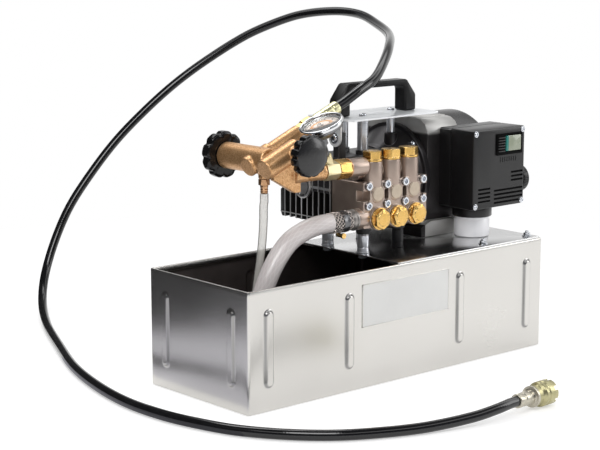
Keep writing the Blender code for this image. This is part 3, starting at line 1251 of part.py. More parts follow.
def make_needle():
    """The pointer, modelled flat about its own pin and then laid into the gauge at zero."""
    low = -GAUGE_NEEDLE_DEPTH
    high = low + GAUGE_NEEDLE_THICKNESS
    half = GAUGE_NEEDLE_WIDTH / 2
    tip = GAUGE_NEEDLE_TIP_WIDTH / 2
    pointer = prism([(-GAUGE_NEEDLE_TAIL, -half), (0, -half), (GAUGE_NEEDLE_LENGTH, -tip),
                     (GAUGE_NEEDLE_LENGTH, tip), (0, half), (-GAUGE_NEEDLE_TAIL, half)], Z_AXIS, low, high)
    pin_low = -GAUGE_FLOOR_DEPTH - GAUGE_PIN_LENGTH + SEAT_GAP
    hub = turned([(0, pin_low), (GAUGE_PIN_RADIUS, pin_low), (GAUGE_PIN_RADIUS, low - SMALL_CHAMFER / 2),
                  (GAUGE_NEEDLE_HUB_RADIUS, low - SMALL_CHAMFER / 2), (GAUGE_NEEDLE_HUB_RADIUS,
                                                                       high + SMALL_CHAMFER),
                  (0, high + SMALL_CHAMFER)], (0, 0, 0), Z_AXIS, SCREW_SIDES)
    unite(pointer, hub)
    basis = Matrix((BARREL_AXIS, Y_AXIS, BLOCK_UP)).transposed().to_4x4()
    pointer.data.transform(basis @ Matrix.Rotation(math.radians(GAUGE_ZERO_DEGREES), 4, "Z"))
    pointer.location = GAUGE_CENTRE
    return pointer


# Outlet fittings, hoses and the end coupling

def make_outlet(brass, yellow_zinc, rubber):
    place = OUTLET_NECK_AFTER + SEAT_GAP
    nipple = hexagon(NIPPLE_ACROSS_FLATS, along(OUTLET_CROSSING, BARREL_AXIS, place), BARREL_AXIS,
                     NIPPLE_LENGTH)
    finish(nipple, "outlet_nipple", brass)
    place += NIPPLE_LENGTH + SEAT_GAP
    nut = hexagon(NUT_ACROSS_FLATS, along(OUTLET_CROSSING, BARREL_AXIS, place), BARREL_AXIS, NUT_LENGTH,
                  SMALL_CHAMFER * 2)
    finish(nut, "union_nut", brass)
    place += NUT_LENGTH + SEAT_GAP
    ferrule = turned([
        (0, 0), (FERRULE_RADIUS, 0), (FERRULE_RADIUS, FERRULE_WAIST_LENGTH),
        (FERRULE_WAIST_RADIUS, FERRULE_WAIST_LENGTH), (FERRULE_WAIST_RADIUS, FERRULE_WAIST_LENGTH * 2),
        (FERRULE_RADIUS, FERRULE_WAIST_LENGTH * 3), (FERRULE_RADIUS, FERRULE_LENGTH), (0, FERRULE_LENGTH),
    ], along(OUTLET_CROSSING, BARREL_AXIS, place), BARREL_AXIS, ROUND)
    finish(ferrule, "hose_ferrule", yellow_zinc)
    place += FERRULE_LENGTH + SEAT_GAP
    exit_point = along(OUTLET_CROSSING, BARREL_AXIS, place)
    last = along(END_START, END_AXIS, -SEAT_GAP)
    route = [*above_deck(PRESSURE_HOSE_ARCH), *map(Vector, PRESSURE_HOSE_LAY)]
    hose("pressure_hose", exit_point, BARREL_AXIS, route, last, END_AXIS, PRESSURE_HOSE_POINTS,
         HOSE_RADIUS, rubber, 2)


def make_coupling(yellow_zinc, brass):
    ring_start = END_FERRULE_LENGTH - END_RING_LENGTH
    ferrule = turned([
        (0, 0), (END_FERRULE_RADIUS, 0), (END_FERRULE_RADIUS, ring_start), (END_RING_RADIUS, ring_start),
        (END_RING_RADIUS, END_FERRULE_LENGTH), (COUPLING_SPIGOT_RADIUS, END_FERRULE_LENGTH),
        (COUPLING_SPIGOT_RADIUS, END_FERRULE_LENGTH + COUPLING_SPIGOT_LENGTH),
        (0, END_FERRULE_LENGTH + COUPLING_SPIGOT_LENGTH),
    ], END_START, END_AXIS, ROUND)
    finish(ferrule, "end_ferrule", yellow_zinc)
    base = along(END_START, END_AXIS, END_FERRULE_LENGTH + SEAT_GAP)
    spigot_bore = COUPLING_SPIGOT_RADIUS + RUNNING_GAP
    floor = COUPLING_LENGTH - COUPLING_BORE_DEPTH
    cup = turned([
        (COUPLING_NECK_RADIUS, 0), (COUPLING_NECK_RADIUS, COUPLING_NECK_LENGTH),
        (COUPLING_RADIUS, COUPLING_NECK_LENGTH + SMALL_CHAMFER * 3), (COUPLING_RADIUS, COUPLING_LENGTH),
        (COUPLING_BORE_RADIUS, COUPLING_LENGTH), (COUPLING_BORE_RADIUS, floor), (spigot_bore, floor),
        (spigot_bore, 0),
    ], (0, 0, 0), X_AXIS, ROUND)
    slots = []
    for index in range(COUPLING_SLOTS):
        slot = block((COUPLING_LENGTH - COUPLING_SLOT_DEPTH, -COUPLING_SLOT_WIDTH / 2,
                      COUPLING_BORE_RADIUS - OVERRUN / 2),
                     (COUPLING_LENGTH + OVERRUN, COUPLING_SLOT_WIDTH / 2, COUPLING_RADIUS + OVERRUN))
        slot.data.transform(Matrix.Rotation(math.tau * index / COUPLING_SLOTS, 4, "X"))
        slots.append(slot)
    carve(cup, *slots)
    cup.data.transform(Matrix.Rotation(END_TURN, 4, "Z"))
    cup.location = base
    finish(cup, "swivel_coupling", brass)


def make_return_line(copper, clear):
    top = RETURN_BOSS_LOW - SEAT_GAP
    hex_low = top - RETURN_NIPPLE_HEX_HEIGHT
    nipple = hexagon(RETURN_NIPPLE_FLATS, (REGULATOR_X, RETURN_Y, hex_low), Z_AXIS, RETURN_NIPPLE_HEX_HEIGHT)
    stem = rod(RETURN_NIPPLE_RADIUS, (REGULATOR_X, RETURN_Y, hex_low - RETURN_NIPPLE_LENGTH), Z_AXIS,
               RETURN_NIPPLE_LENGTH + SMALL_CHAMFER, COARSE, SMALL_CHAMFER)
    unite(nipple, stem)
    finish(nipple, "return_nipple", copper)
    start = Vector((REGULATOR_X, RETURN_Y, hex_low - RETURN_NIPPLE_LENGTH - SEAT_GAP))
    route = above_deck(RETURN_TUBE_ROUTE)
    end = route[-1] - Z_AXIS * RETURN_TUBE_RADIUS * 4
    hose("return_tube", start, -Z_AXIS, route, end, -Z_AXIS, RETURN_TUBE_POINTS, RETURN_TUBE_RADIUS, clear, 2)


def make_suction_line(grey, steel, clear, green):
    line = (0, LINE_Y, SUCTION_Z)
    start = SUCTION_PORT_LEFT - SEAT_GAP
    barb = turned([
        (0, 0), (BARB_RADIUS, 0), (BARB_RADIUS, BARB_LENGTH - BARB_FLANGE_WIDTH),
        (BARB_FLANGE_RADIUS, BARB_LENGTH - BARB_FLANGE_WIDTH), (BARB_FLANGE_RADIUS, BARB_LENGTH), (0,
                                                                                                   BARB_LENGTH),
    ], along(line, X_AXIS, start - BARB_LENGTH), X_AXIS, ROUND)
    finish(barb, "suction_barb", grey)
    exit_point = along(line, X_AXIS, start - BARB_LENGTH - SEAT_GAP)
    last = Vector((STRAINER_X, STRAINER_Y, STRAINER_TOP + SEAT_GAP))
    route = [Vector(near + (far - near) * share for near, far, share in zip(exit_point, last, shares))
             for shares in SUCTION_HOSE_ROUTE_SHARES]
    hose("suction_hose", exit_point, -X_AXIS, route, last, -Z_AXIS, SUCTION_HOSE_POINTS,
         SUCTION_HOSE_RADIUS, clear, 3)
    inner = SUCTION_HOSE_RADIUS + SEAT_GAP * 2
    clamp = ring(inner + CLAMP_WALL, inner, along(line, X_AXIS, CLAMP_LEFT), X_AXIS, CLAMP_WIDTH, ROUND)
    housing = rod(CLAMP_SCREW_RADIUS, (CLAMP_LEFT + CLAMP_WIDTH / 2, LINE_Y - CLAMP_SCREW_LENGTH / 2,
                                       SUCTION_Z - inner - CLAMP_WALL / 2 - CLAMP_SCREW_RADIUS + SMALL_CHAMFER / 4),
                  Y_AXIS, CLAMP_SCREW_LENGTH, SCREW_SIDES)
    unite(clamp, housing)
    finish(clamp, "hose_clamp", steel)
    profile = [(0, STRAINER_LOW), (STRAINER_RADIUS, STRAINER_LOW)]
    body_top = STRAINER_TOP - STRAINER_NECK_HEIGHT
    pitch = (body_top - STRAINER_LOW) / (STRAINER_GROOVES + 1)
    for index in range(STRAINER_GROOVES):
        middle = STRAINER_LOW + pitch * (index + 1)
        profile += [(STRAINER_RADIUS, middle - pitch / 4), (STRAINER_RADIUS - STRAINER_GROOVE,
                                                            middle - pitch / 4),
                    (STRAINER_RADIUS - STRAINER_GROOVE, middle + pitch / 4), (STRAINER_RADIUS,
                                                                              middle + pitch / 4)]
    profile += [(STRAINER_RADIUS, body_top), (SUCTION_HOSE_RADIUS, body_top + SMALL_CHAMFER * 4),
                (SUCTION_HOSE_RADIUS, STRAINER_TOP), (0, STRAINER_TOP)]
    strainer = turned(profile, (STRAINER_X, STRAINER_Y, 0), Z_AXIS, COARSE)
    finish(strainer, "suction_strainer", green)


# Motor

def motor_outline():
    return rounded_outline([(MOTOR_FRONT, MOTOR_LOW), (MOTOR_BACK, MOTOR_LOW), (MOTOR_BACK, MOTOR_TOP),
                            (MOTOR_FRONT, MOTOR_TOP)],
                           [MOTOR_LOW_CORNER, MOTOR_LOW_CORNER, MOTOR_TOP_CORNER, MOTOR_TOP_CORNER],
                           MOTOR_CORNER_STEPS)


def make_bell(material):
    left = CASE_RIGHT + SEAT_GAP
    right = MOTOR_LEFT - SEAT_GAP
    flange = right - BELL_FLANGE_WIDTH
    shoulder = left + BELL_SHOULDER
    bell = turned([
        (BELL_LEFT_RADIUS, left), (BELL_LEFT_RADIUS + SMALL_CHAMFER * 4, shoulder),
        (BELL_FLANGE_RADIUS - BELL_FLANGE_STEP, flange), (BELL_FLANGE_RADIUS, flange),
        (BELL_FLANGE_RADIUS, right), (MOTOR_BORE_RADIUS, right), (BELL_LEFT_RADIUS - BELL_WALL, shoulder),
        (BELL_MOUTH_RADIUS, shoulder), (BELL_MOUTH_RADIUS, left),
    ], (0, SHAFT_Y, SHAFT_Z), X_AXIS, FINE)
    pad_low = SHAFT_Z + BELL_LEFT_RADIUS + BELL_WALL
    pad = rod(BELL_PAD_RADIUS, (THIN_POST_X, THIN_POST_Y, pad_low), Z_AXIS, BELL_PAD_TOP - pad_low, COARSE)
    unite(bell, pad)
    return finish(bell, "motor_bell", material)


def make_motor(aluminium, dark_steel, copper_wire, steel, black):
    body = prism(motor_outline(), X_AXIS, MOTOR_LEFT, MOTOR_RIGHT)
    foot_low = DECK_TOP + SEAT_GAP
    inset = MOTOR_FOOT_SIDE_INSET
    foot = prism([(MOTOR_FRONT + inset, foot_low), (MOTOR_BACK - inset, foot_low),
                  (MOTOR_BACK - inset, foot_low + MOTOR_FOOT_HEIGHT), (MOTOR_FRONT + inset,
                                                                       foot_low + MOTOR_FOOT_HEIGHT)],
                 X_AXIS, MOTOR_FOOT_LEFT, MOTOR_FOOT_RIGHT)
    wedge = prism([(MOTOR_FOOT_LEFT - OVERRUN, foot_low + MOTOR_FOOT_HEIGHT * MOTOR_FOOT_TOE_SHARE),
                   (MOTOR_LEFT + MOTOR_FOOT_HEIGHT, foot_low + MOTOR_FOOT_HEIGHT + OVERRUN),
                   (MOTOR_FOOT_LEFT - OVERRUN, foot_low + MOTOR_FOOT_HEIGHT + OVERRUN)],
                  Y_AXIS, MOTOR_FRONT - OVERRUN, MOTOR_BACK + OVERRUN)
    carve(foot, wedge)
    relief = block((MOTOR_FOOT_LEFT - OVERRUN, SHAFT_Y - MOTOR_LOW_CORNER / 2, foot_low - OVERRUN),
                   (MOTOR_FOOT_RIGHT + OVERRUN, SHAFT_Y + MOTOR_LOW_CORNER / 2, MOTOR_LOW - SMALL_CHAMFER))
    carve(foot, relief)
    unite(body, foot)
    shaft_line = (0, SHAFT_Y, SHAFT_Z)
    wall_left = MOTOR_RIGHT - MOTOR_END_WALL
    bell_clearance = rod(BELL_FLANGE_RADIUS + SEAT_GAP, along(shaft_line, X_AXIS,
                                                              MOTOR_FOOT_LEFT - OVERRUN), X_AXIS,
                         MOTOR_LEFT - MOTOR_FOOT_LEFT + OVERRUN, FINE)
    cavity = rod(MOTOR_BORE_RADIUS, along(shaft_line, X_AXIS, MOTOR_LEFT - OVERRUN), X_AXIS,
                 wall_left - MOTOR_LEFT + OVERRUN, FINE)
    bearing_bore = rod(MOTOR_BEARING_RADIUS + SEAT_GAP, along(shaft_line, X_AXIS, wall_left - OVERRUN), X_AXIS,
                       MOTOR_END_WALL + OVERRUN * 2, ROUND)
    carve(body, bell_clearance, cavity, bearing_bore, solver="MANIFOLD")
    finish(body, "motor_housing", aluminium)
    stator_left = MOTOR_LEFT + STATOR_END_GAP
    stator = ring(MOTOR_BORE_RADIUS - SEAT_GAP, STATOR_BORE_RADIUS, along(shaft_line, X_AXIS, stator_left),
                  X_AXIS,
                  wall_left - STATOR_END_GAP - stator_left, FINE)
    finish(stator, "stator", copper_wire)
    bearing = ring(MOTOR_BEARING_RADIUS, SHAFT_RADIUS + RUNNING_GAP, along(shaft_line, X_AXIS, wall_left),
                   X_AXIS,
                   MOTOR_END_WALL, ROUND)
    finish(bearing, "motor_bearing", steel)
    shaft_left = CASE_RIGHT + SLEEVE_LENGTH - SLEEVE_OVERLAP + SEAT_GAP
    rotor_left = MOTOR_LEFT + ROTOR_END_GAP
    rotor_right = wall_left - ROTOR_END_GAP
    fan_left = MOTOR_RIGHT + FAN_LEFT_GAP
    shaft_right = fan_left + FAN_WIDTH
    rotor = turned([
        (0, shaft_left), (SHAFT_RADIUS, shaft_left), (SHAFT_RADIUS, rotor_left), (ROTOR_RADIUS, rotor_left),
        (ROTOR_RADIUS, rotor_right), (SHAFT_RADIUS, rotor_right), (SHAFT_RADIUS, shaft_right), (0, shaft_right),
    ], shaft_line, X_AXIS, ROUND)
    finish(rotor, "rotor", dark_steel)
    make_fan(fan_left, shaft_line, black)


def make_fan(left, shaft_line, material):
    fan = rod(FAN_RADIUS, along(shaft_line, X_AXIS, left), X_AXIS, FAN_DISC, ROUND)
    hub = rod(FAN_HUB_RADIUS, along(shaft_line, X_AXIS, left), X_AXIS, FAN_WIDTH, COARSE)
    unite(fan, hub)
    blades = []
    for index in range(FAN_BLADES):
        blade = block((left + FAN_DISC - WELD_OVERLAP, -FAN_BLADE_THICKNESS / 2,
                       FAN_HUB_RADIUS - FAN_BLADE_THICKNESS),
                      (left + FAN_WIDTH - WELD_OVERLAP, FAN_BLADE_THICKNESS / 2,
                       FAN_RADIUS - FAN_BLADE_THICKNESS))
        blade.data.transform(Matrix.Rotation(math.tau * index / FAN_BLADES, 4, "X"))
        blade.data.transform(Matrix.Translation(shaft_line))
        blades.append(blade)
    unite(fan, *blades, solver="MANIFOLD")
    carve(fan, rod(SHAFT_RADIUS + SEAT_GAP, along(shaft_line, X_AXIS, left - OVERRUN), X_AXIS,
                   FAN_WIDTH + OVERRUN * 2, COARSE), solver="MANIFOLD")
    finish(fan, "cooling_fan", material)


def make_fan_cover(material):
    left = MOTOR_RIGHT + SEAT_GAP
    inner_share = 1 - COVER_WALL / COVER_ROUND
    outer = [(COVER_RADIUS, left)]
    inner = [(COVER_RADIUS - COVER_WALL, left)]
    for step in range(COVER_ROUND_STEPS + 1):
        angle = math.pi / 2 * step / COVER_ROUND_STEPS
        rise = COVER_ROUND * math.sin(angle)
        fall = COVER_ROUND * math.cos(angle)
        outer.append((COVER_RADIUS - COVER_ROUND + fall, COVER_RIGHT - COVER_ROUND + rise))
        inner.append((COVER_RADIUS - COVER_ROUND + fall * inner_share,
                      COVER_RIGHT - COVER_ROUND + rise * inner_share))
    profile = [(0, COVER_RIGHT), *reversed(outer), *inner, (0, COVER_RIGHT - COVER_WALL)]
    cover = turned(profile, (0, SHAFT_Y, SHAFT_Z), X_AXIS, FINE)
    slots = []
    for index in range(COVER_SLOTS):
        slot = block((COVER_RIGHT - COVER_WALL - OVERRUN, -COVER_SLOT_WIDTH / 2, COVER_SLOT_INNER),
                     (COVER_RIGHT + OVERRUN, COVER_SLOT_WIDTH / 2, COVER_SLOT_OUTER))
        slot.data.transform(Matrix.Rotation(math.tau * index / COVER_SLOTS, 4, "X"))
        slot.data.transform(Matrix.Translation((0, SHAFT_Y, SHAFT_Z)))
        slots.append(slot)
    carve(cover, *slots)
    return finish(cover, "fan_cover", material)


# Switch box

def box_screw_places():
    return [(x, z) for x in (BOX_LEFT + BOX_SCREW_INSET, BOX_RIGHT - BOX_SCREW_INSET)
            for z in (BOX_LOW + BOX_SCREW_INSET, BOX_HIGH - BOX_SCREW_INSET)]


def box_screw(x, z):
    seat = BOX_FRONT + BOX_SCREW_SEAT_DEPTH + WELD_OVERLAP
    top = seat - BOX_SCREW_HEAD_HEIGHT
    return turned([
        (0, top), (BOX_SCREW_HEAD_RADIUS - SMALL_CHAMFER, top), (BOX_SCREW_HEAD_RADIUS, top + SMALL_CHAMFER),
        (BOX_SCREW_HEAD_RADIUS, seat), (0, seat),
    ], (x, 0, z), Y_AXIS, SCREW_SIDES)


def make_switch_box(black, pale, smoke):
    base_front = BOX_PARTING + SEAT_GAP
    base_back = MOTOR_FRONT - SEAT_GAP
    base = block((BOX_LEFT, base_front, BOX_LOW), (BOX_RIGHT, base_back, BOX_HIGH), BOX_EDGE, Y_AXIS)
    socket_top = BOX_LOW - SEAT_GAP
    socket = rod(CAPACITOR_RADIUS + SOCKET_WALL, (SOCKET_X, SOCKET_Y, SOCKET_LOW), Z_AXIS,
                 socket_top - SOCKET_LOW, FINE,
                 SMALL_CHAMFER)
    neck = block((SOCKET_X - SOCKET_NECK_HALF_WIDTH, base_front + SMALL_CHAMFER, socket_top - BOX_EDGE),
                 (SOCKET_X + SOCKET_NECK_HALF_WIDTH, base_back - SMALL_CHAMFER, BOX_LOW + BOX_EDGE))
    unite(base, neck)
    unite(base, socket)
    hug = rod(COVER_RADIUS + BOX_COVER_GAP, (MOTOR_RIGHT - SMALL_CHAMFER, SHAFT_Y, SHAFT_Z), X_AXIS,
              BOX_RIGHT - MOTOR_RIGHT + OVERRUN, FINE)
    motor_side = prism(rounded_outline(
        [(MOTOR_FRONT - SEAT_GAP, MOTOR_LOW - SEAT_GAP), (MOTOR_BACK, MOTOR_LOW - SEAT_GAP),
         (MOTOR_BACK, MOTOR_TOP + SEAT_GAP), (MOTOR_FRONT - SEAT_GAP, MOTOR_TOP + SEAT_GAP)],
        [MOTOR_LOW_CORNER, MOTOR_LOW_CORNER, MOTOR_TOP_CORNER, MOTOR_TOP_CORNER], MOTOR_CORNER_STEPS),
        X_AXIS, MOTOR_LEFT, MOTOR_RIGHT + SEAT_GAP)
    foot_side = block((MOTOR_FOOT_LEFT, MOTOR_FRONT + MOTOR_FOOT_SIDE_INSET - SEAT_GAP, DECK_TOP),
                      (MOTOR_FOOT_RIGHT + SEAT_GAP, MOTOR_BACK, DECK_TOP + MOTOR_FOOT_HEIGHT + SEAT_GAP * 2))
    seat = rod(CAPACITOR_RADIUS + SEAT_GAP, (SOCKET_X, SOCKET_Y, SOCKET_LOW - OVERRUN), Z_AXIS,
               CAPACITOR_TOP + SEAT_GAP - SOCKET_LOW + OVERRUN, FINE)
    carve(base, hug, motor_side, foot_side, seat)
    finish(base, "switch_box_base", black)

    lid = block((BOX_LEFT, BOX_FRONT, BOX_LOW), (BOX_RIGHT, BOX_PARTING, BOX_HIGH), BOX_EDGE)
    hollow = block((BOX_LEFT + BOX_WALL, BOX_FRONT + BOX_WALL, BOX_LOW + BOX_WALL),
                   (BOX_RIGHT - BOX_WALL, BOX_PARTING + OVERRUN, BOX_HIGH - BOX_WALL))
    carve(lid, hollow)
    cutters = [rod(BOX_SCREW_HEAD_RADIUS + SCREW_CLEARANCE, (x, BOX_FRONT - OVERRUN, z), Y_AXIS,
                   OVERRUN + BOX_SCREW_SEAT_DEPTH, COARSE) for x, z in box_screw_places()]
    cutters.append(block((BEZEL_LEFT + BEZEL_COLLAR_INSET, BOX_FRONT - OVERRUN, BEZEL_LOW + BEZEL_COLLAR_INSET),
                         (BEZEL_RIGHT - BEZEL_COLLAR_INSET, BOX_FRONT + BOX_WALL + OVERRUN,
                          BEZEL_HIGH - BEZEL_COLLAR_INSET)))
    cutters.append(rod(GLAND_THREAD_RADIUS + SEAT_GAP, (BOX_RIGHT - BOX_WALL - OVERRUN, GLAND_Y, GLAND_Z),
                       X_AXIS,
                       BOX_WALL + OVERRUN * 2, ROUND))
    vent_right = BOX_RIGHT - BOX_SCREW_INSET / 2
    for left, right, low, count in ((VENT_LONG_LEFT, vent_right, VENT_LONG_LOW, VENT_LONG_COUNT),
                                    (VENT_SHORT_LEFT, vent_right, VENT_SHORT_LOW, VENT_SHORT_COUNT),
                                    (VENT_SIDE_LEFT, VENT_SIDE_LEFT + VENT_SIDE_WIDTH, VENT_SIDE_LOW,
                                     VENT_SIDE_COUNT)):
        for index in range(count):
            z = low + VENT_PITCH * index
            cut_right = right
            if z < BOX_LOW + BOX_SCREW_INSET * 2 and right is vent_right:
                cut_right = BOX_RIGHT - BOX_SCREW_INSET * 2 - SMALL_CHAMFER
            cutters.append(block((left, BOX_FRONT - OVERRUN, z), (cut_right, BOX_FRONT + VENT_DEPTH,
                                                                  z + VENT_HEIGHT)))
    carve(lid, *cutters)
    unite(lid, *[box_screw(x, z) for x, z in box_screw_places()], solver="MANIFOLD")
    finish(lid, "switch_box_lid", black)

    capacitor_low = DECK_TOP + SEAT_GAP
    capacitor = rod(CAPACITOR_RADIUS, (SOCKET_X, SOCKET_Y, capacitor_low), Z_AXIS,
                    CAPACITOR_TOP - capacitor_low, FINE,
                    CAPACITOR_EDGE)
    finish(capacitor, "start_capacitor", pale)
    make_rocker(black, smoke)

    gland_seat = BOX_RIGHT + SEAT_GAP
    bore_low = GLAND_LENGTH - GLAND_BORE_DEPTH
    gland = turned([
        (0, -GLAND_THREAD_LENGTH), (GLAND_THREAD_RADIUS, -GLAND_THREAD_LENGTH), (GLAND_THREAD_RADIUS, 0),
        (GLAND_RADIUS, 0), (GLAND_RADIUS, GLAND_FLANGE_WIDTH * 3), (GLAND_RADIUS - GLAND_FLANGE_WIDTH,
                                                                    GLAND_LENGTH - SMALL_CHAMFER * 3),
        (GLAND_NOSE_RADIUS, GLAND_LENGTH), (GLAND_BORE_RADIUS, GLAND_LENGTH), (GLAND_BORE_RADIUS, bore_low),
        (0, bore_low),
    ], (gland_seat, GLAND_Y, GLAND_Z), X_AXIS, ROUND)
    finish(gland, "cable_gland", black)


def make_rocker(black, smoke):
    flange_back = BOX_FRONT - SEAT_GAP
    flange_front = flange_back - BEZEL_PROUD
    bezel = block((BEZEL_LEFT, flange_front, BEZEL_LOW), (BEZEL_RIGHT, flange_back, BEZEL_HIGH),
                  SMALL_CHAMFER, Y_AXIS)
    inset = BEZEL_COLLAR_INSET + SEAT_GAP
    collar = block((BEZEL_LEFT + inset, flange_back - WELD_OVERLAP, BEZEL_LOW + inset),
                   (BEZEL_RIGHT - inset, BOX_FRONT + BEZEL_COLLAR_DEPTH, BEZEL_HIGH - inset))
    unite(bezel, collar)
    gap = ROCKER_GAP
    opening = block((ROCKER_LEFT - gap, flange_front - OVERRUN, ROCKER_LOW - gap),
                    (ROCKER_RIGHT + gap, BOX_FRONT + BEZEL_COLLAR_DEPTH + OVERRUN, ROCKER_HIGH + gap))
    carve(bezel, opening)
    bar_pitch = (ROCKER_HIGH - ROCKER_LOW) / GRILLE_BARS
    bars = [block((BEZEL_LEFT + GRILLE_BAR_HEIGHT, flange_front - GRILLE_BAR_PROUD,
                   ROCKER_LOW + bar_pitch * index),
                  (ROCKER_LEFT - GRILLE_BAR_HEIGHT * 2, flange_front + SMALL_CHAMFER,
                   ROCKER_LOW + bar_pitch * index + GRILLE_BAR_HEIGHT)) for index in range(GRILLE_BARS)]
    unite(bezel, *bars)
    finish(bezel, "rocker_bezel", black)
    half = (ROCKER_RIGHT - ROCKER_LEFT) / 2
    front = -BEZEL_PROUD - ROCKER_PROUD
    rocker = prism([(-half, front), (0, front + ROCKER_VALLEY), (half, front), (half, 0), (half / 2,
                                                                                           ROCKER_DEPTH),
                    (-half / 2, ROCKER_DEPTH), (-half, 0)], Z_AXIS, ROCKER_LOW, ROCKER_HIGH)
    rocker.data.transform(Matrix.Rotation(math.radians(-ROCKER_TILT_DEGREES), 4, "Z"))
    rocker.location = ((ROCKER_LEFT + ROCKER_RIGHT) / 2, BOX_FRONT, 0)
    finish(rocker, "rocker_switch", smoke)


# Carrying frame

def frame_screw(origin, axis, length):
    """A button-head screw whose head stands on origin and whose shank runs back along the axis."""
    return turned([
        (0, -length), (FRAME_SCREW_RADIUS, -length), (FRAME_SCREW_RADIUS, SEAT_GAP),
        (FRAME_SCREW_HEAD_RADIUS, SEAT_GAP), (FRAME_SCREW_HEAD_RADIUS - SMALL_CHAMFER, FRAME_SCREW_HEAD_HEIGHT),
        (0, FRAME_SCREW_HEAD_HEIGHT),
    ], origin, axis, SCREW_SIDES)


def handle_screw_places():
    middle_y = HANDLE_FRONT + HANDLE_DEPTH / 2
    return [(HANDLE_LEFT + HANDLE_LEG_LEFT_WIDTH / 2, middle_y), (HANDLE_RIGHT - HANDLE_LEG_RIGHT_WIDTH / 2,
                                                                  middle_y)]


def post_places():
    case_pad = CASE_TOP + POST_PAD_HEIGHT
    return [(POST_X, POST_FRONT_Y, case_pad, POST_RADIUS), (POST_X, POST_BACK_Y, case_pad, POST_RADIUS),
            (THIN_POST_X, THIN_POST_Y, BELL_PAD_TOP, THIN_POST_RADIUS)]


def make_top_plate(material):
    plate = block((PLATE_LEFT, PLATE_FRONT, PLATE_LOW), (PLATE_RIGHT, PLATE_BACK, PLATE_TOP), PLATE_CORNER,
                  Z_AXIS)
    lug_outline = [(LUG_Y - LUG_RADIUS, PLATE_TOP - SMALL_CHAMFER), (LUG_Y + LUG_RADIUS,
                                                                     PLATE_TOP - SMALL_CHAMFER)]
    for step in range(LUG_STEPS + 1):
        angle = -math.pi * step / LUG_STEPS
        lug_outline.append((LUG_Y + LUG_RADIUS * math.cos(angle), LUG_Z + LUG_RADIUS * math.sin(angle)))
    unite(plate, prism(lug_outline, X_AXIS, PLATE_LEFT, PLATE_LEFT + PLATE_THICKNESS))
    bore = FRAME_SCREW_RADIUS + SCREW_CLEARANCE
    through = PLATE_THICKNESS + OVERRUN * 2
    places = handle_screw_places() + [place[:2] for place in post_places()]
    holes = [rod(bore, (x, y, PLATE_LOW - OVERRUN), Z_AXIS, through, SCREW_SIDES) for x, y in places]
    holes.append(rod(bore, (PLATE_LEFT - OVERRUN, LUG_Y, LUG_Z), X_AXIS, through, SCREW_SIDES))
    carve(plate, *holes)
    return finish(plate, "top_plate", material)


def make_posts(material):
    """Each post ends in a screw that passes through the top plate."""
    for index, (x, y, low, radius) in enumerate(post_places()):
        post = rod(radius, (x, y, low + SEAT_GAP), Z_AXIS, PLATE_LOW - SEAT_GAP * 2 - low, COARSE)
        unite(post, frame_screw((x, y, PLATE_TOP), Z_AXIS, FRAME_SCREW_DEPTH))
        finish(post, "plate_post_%d" % (index + 1), material)


def make_handle(material):
    """The moulded handle, held from below by two screws that are shown with it."""
    low = PLATE_TOP + SEAT_GAP
    inner_left = HANDLE_LEFT + HANDLE_LEG_LEFT_WIDTH
    inner_right = HANDLE_RIGHT - HANDLE_LEG_RIGHT_WIDTH
    inner_top = HANDLE_TOP - HANDLE_BAR_HEIGHT
    shoulder_z = HANDLE_TOP - HANDLE_SHOULDER_HEIGHT
    handle = prism([
        (HANDLE_LEFT, low), (HANDLE_LEFT, shoulder_z), (HANDLE_LEFT + HANDLE_SHOULDER_WIDTH, HANDLE_TOP),
        (HANDLE_RIGHT - HANDLE_SHOULDER_WIDTH, HANDLE_TOP), (HANDLE_RIGHT, shoulder_z), (HANDLE_RIGHT, low),
        (inner_right, low), (inner_right, inner_top - HANDLE_INNER_CHAMFER),
        (inner_right - HANDLE_INNER_CHAMFER, inner_top), (inner_left + HANDLE_INNER_CHAMFER, inner_top),
        (inner_left, inner_top - HANDLE_INNER_CHAMFER), (inner_left, low),
    ], Y_AXIS, HANDLE_FRONT, HANDLE_FRONT + HANDLE_DEPTH)
    bevel = handle.modifiers.new("edge", "BEVEL")
    bevel.width = HANDLE_EDGE
    bevel.segments = 1
    bevel.limit_method = "ANGLE"
    settle(handle)
    unite(handle, *[frame_screw((x, y, PLATE_LOW), -Z_AXIS, FRAME_SCREW_DEPTH) for x,
                    y in handle_screw_places()])
    return finish(handle, "carry_handle", material)


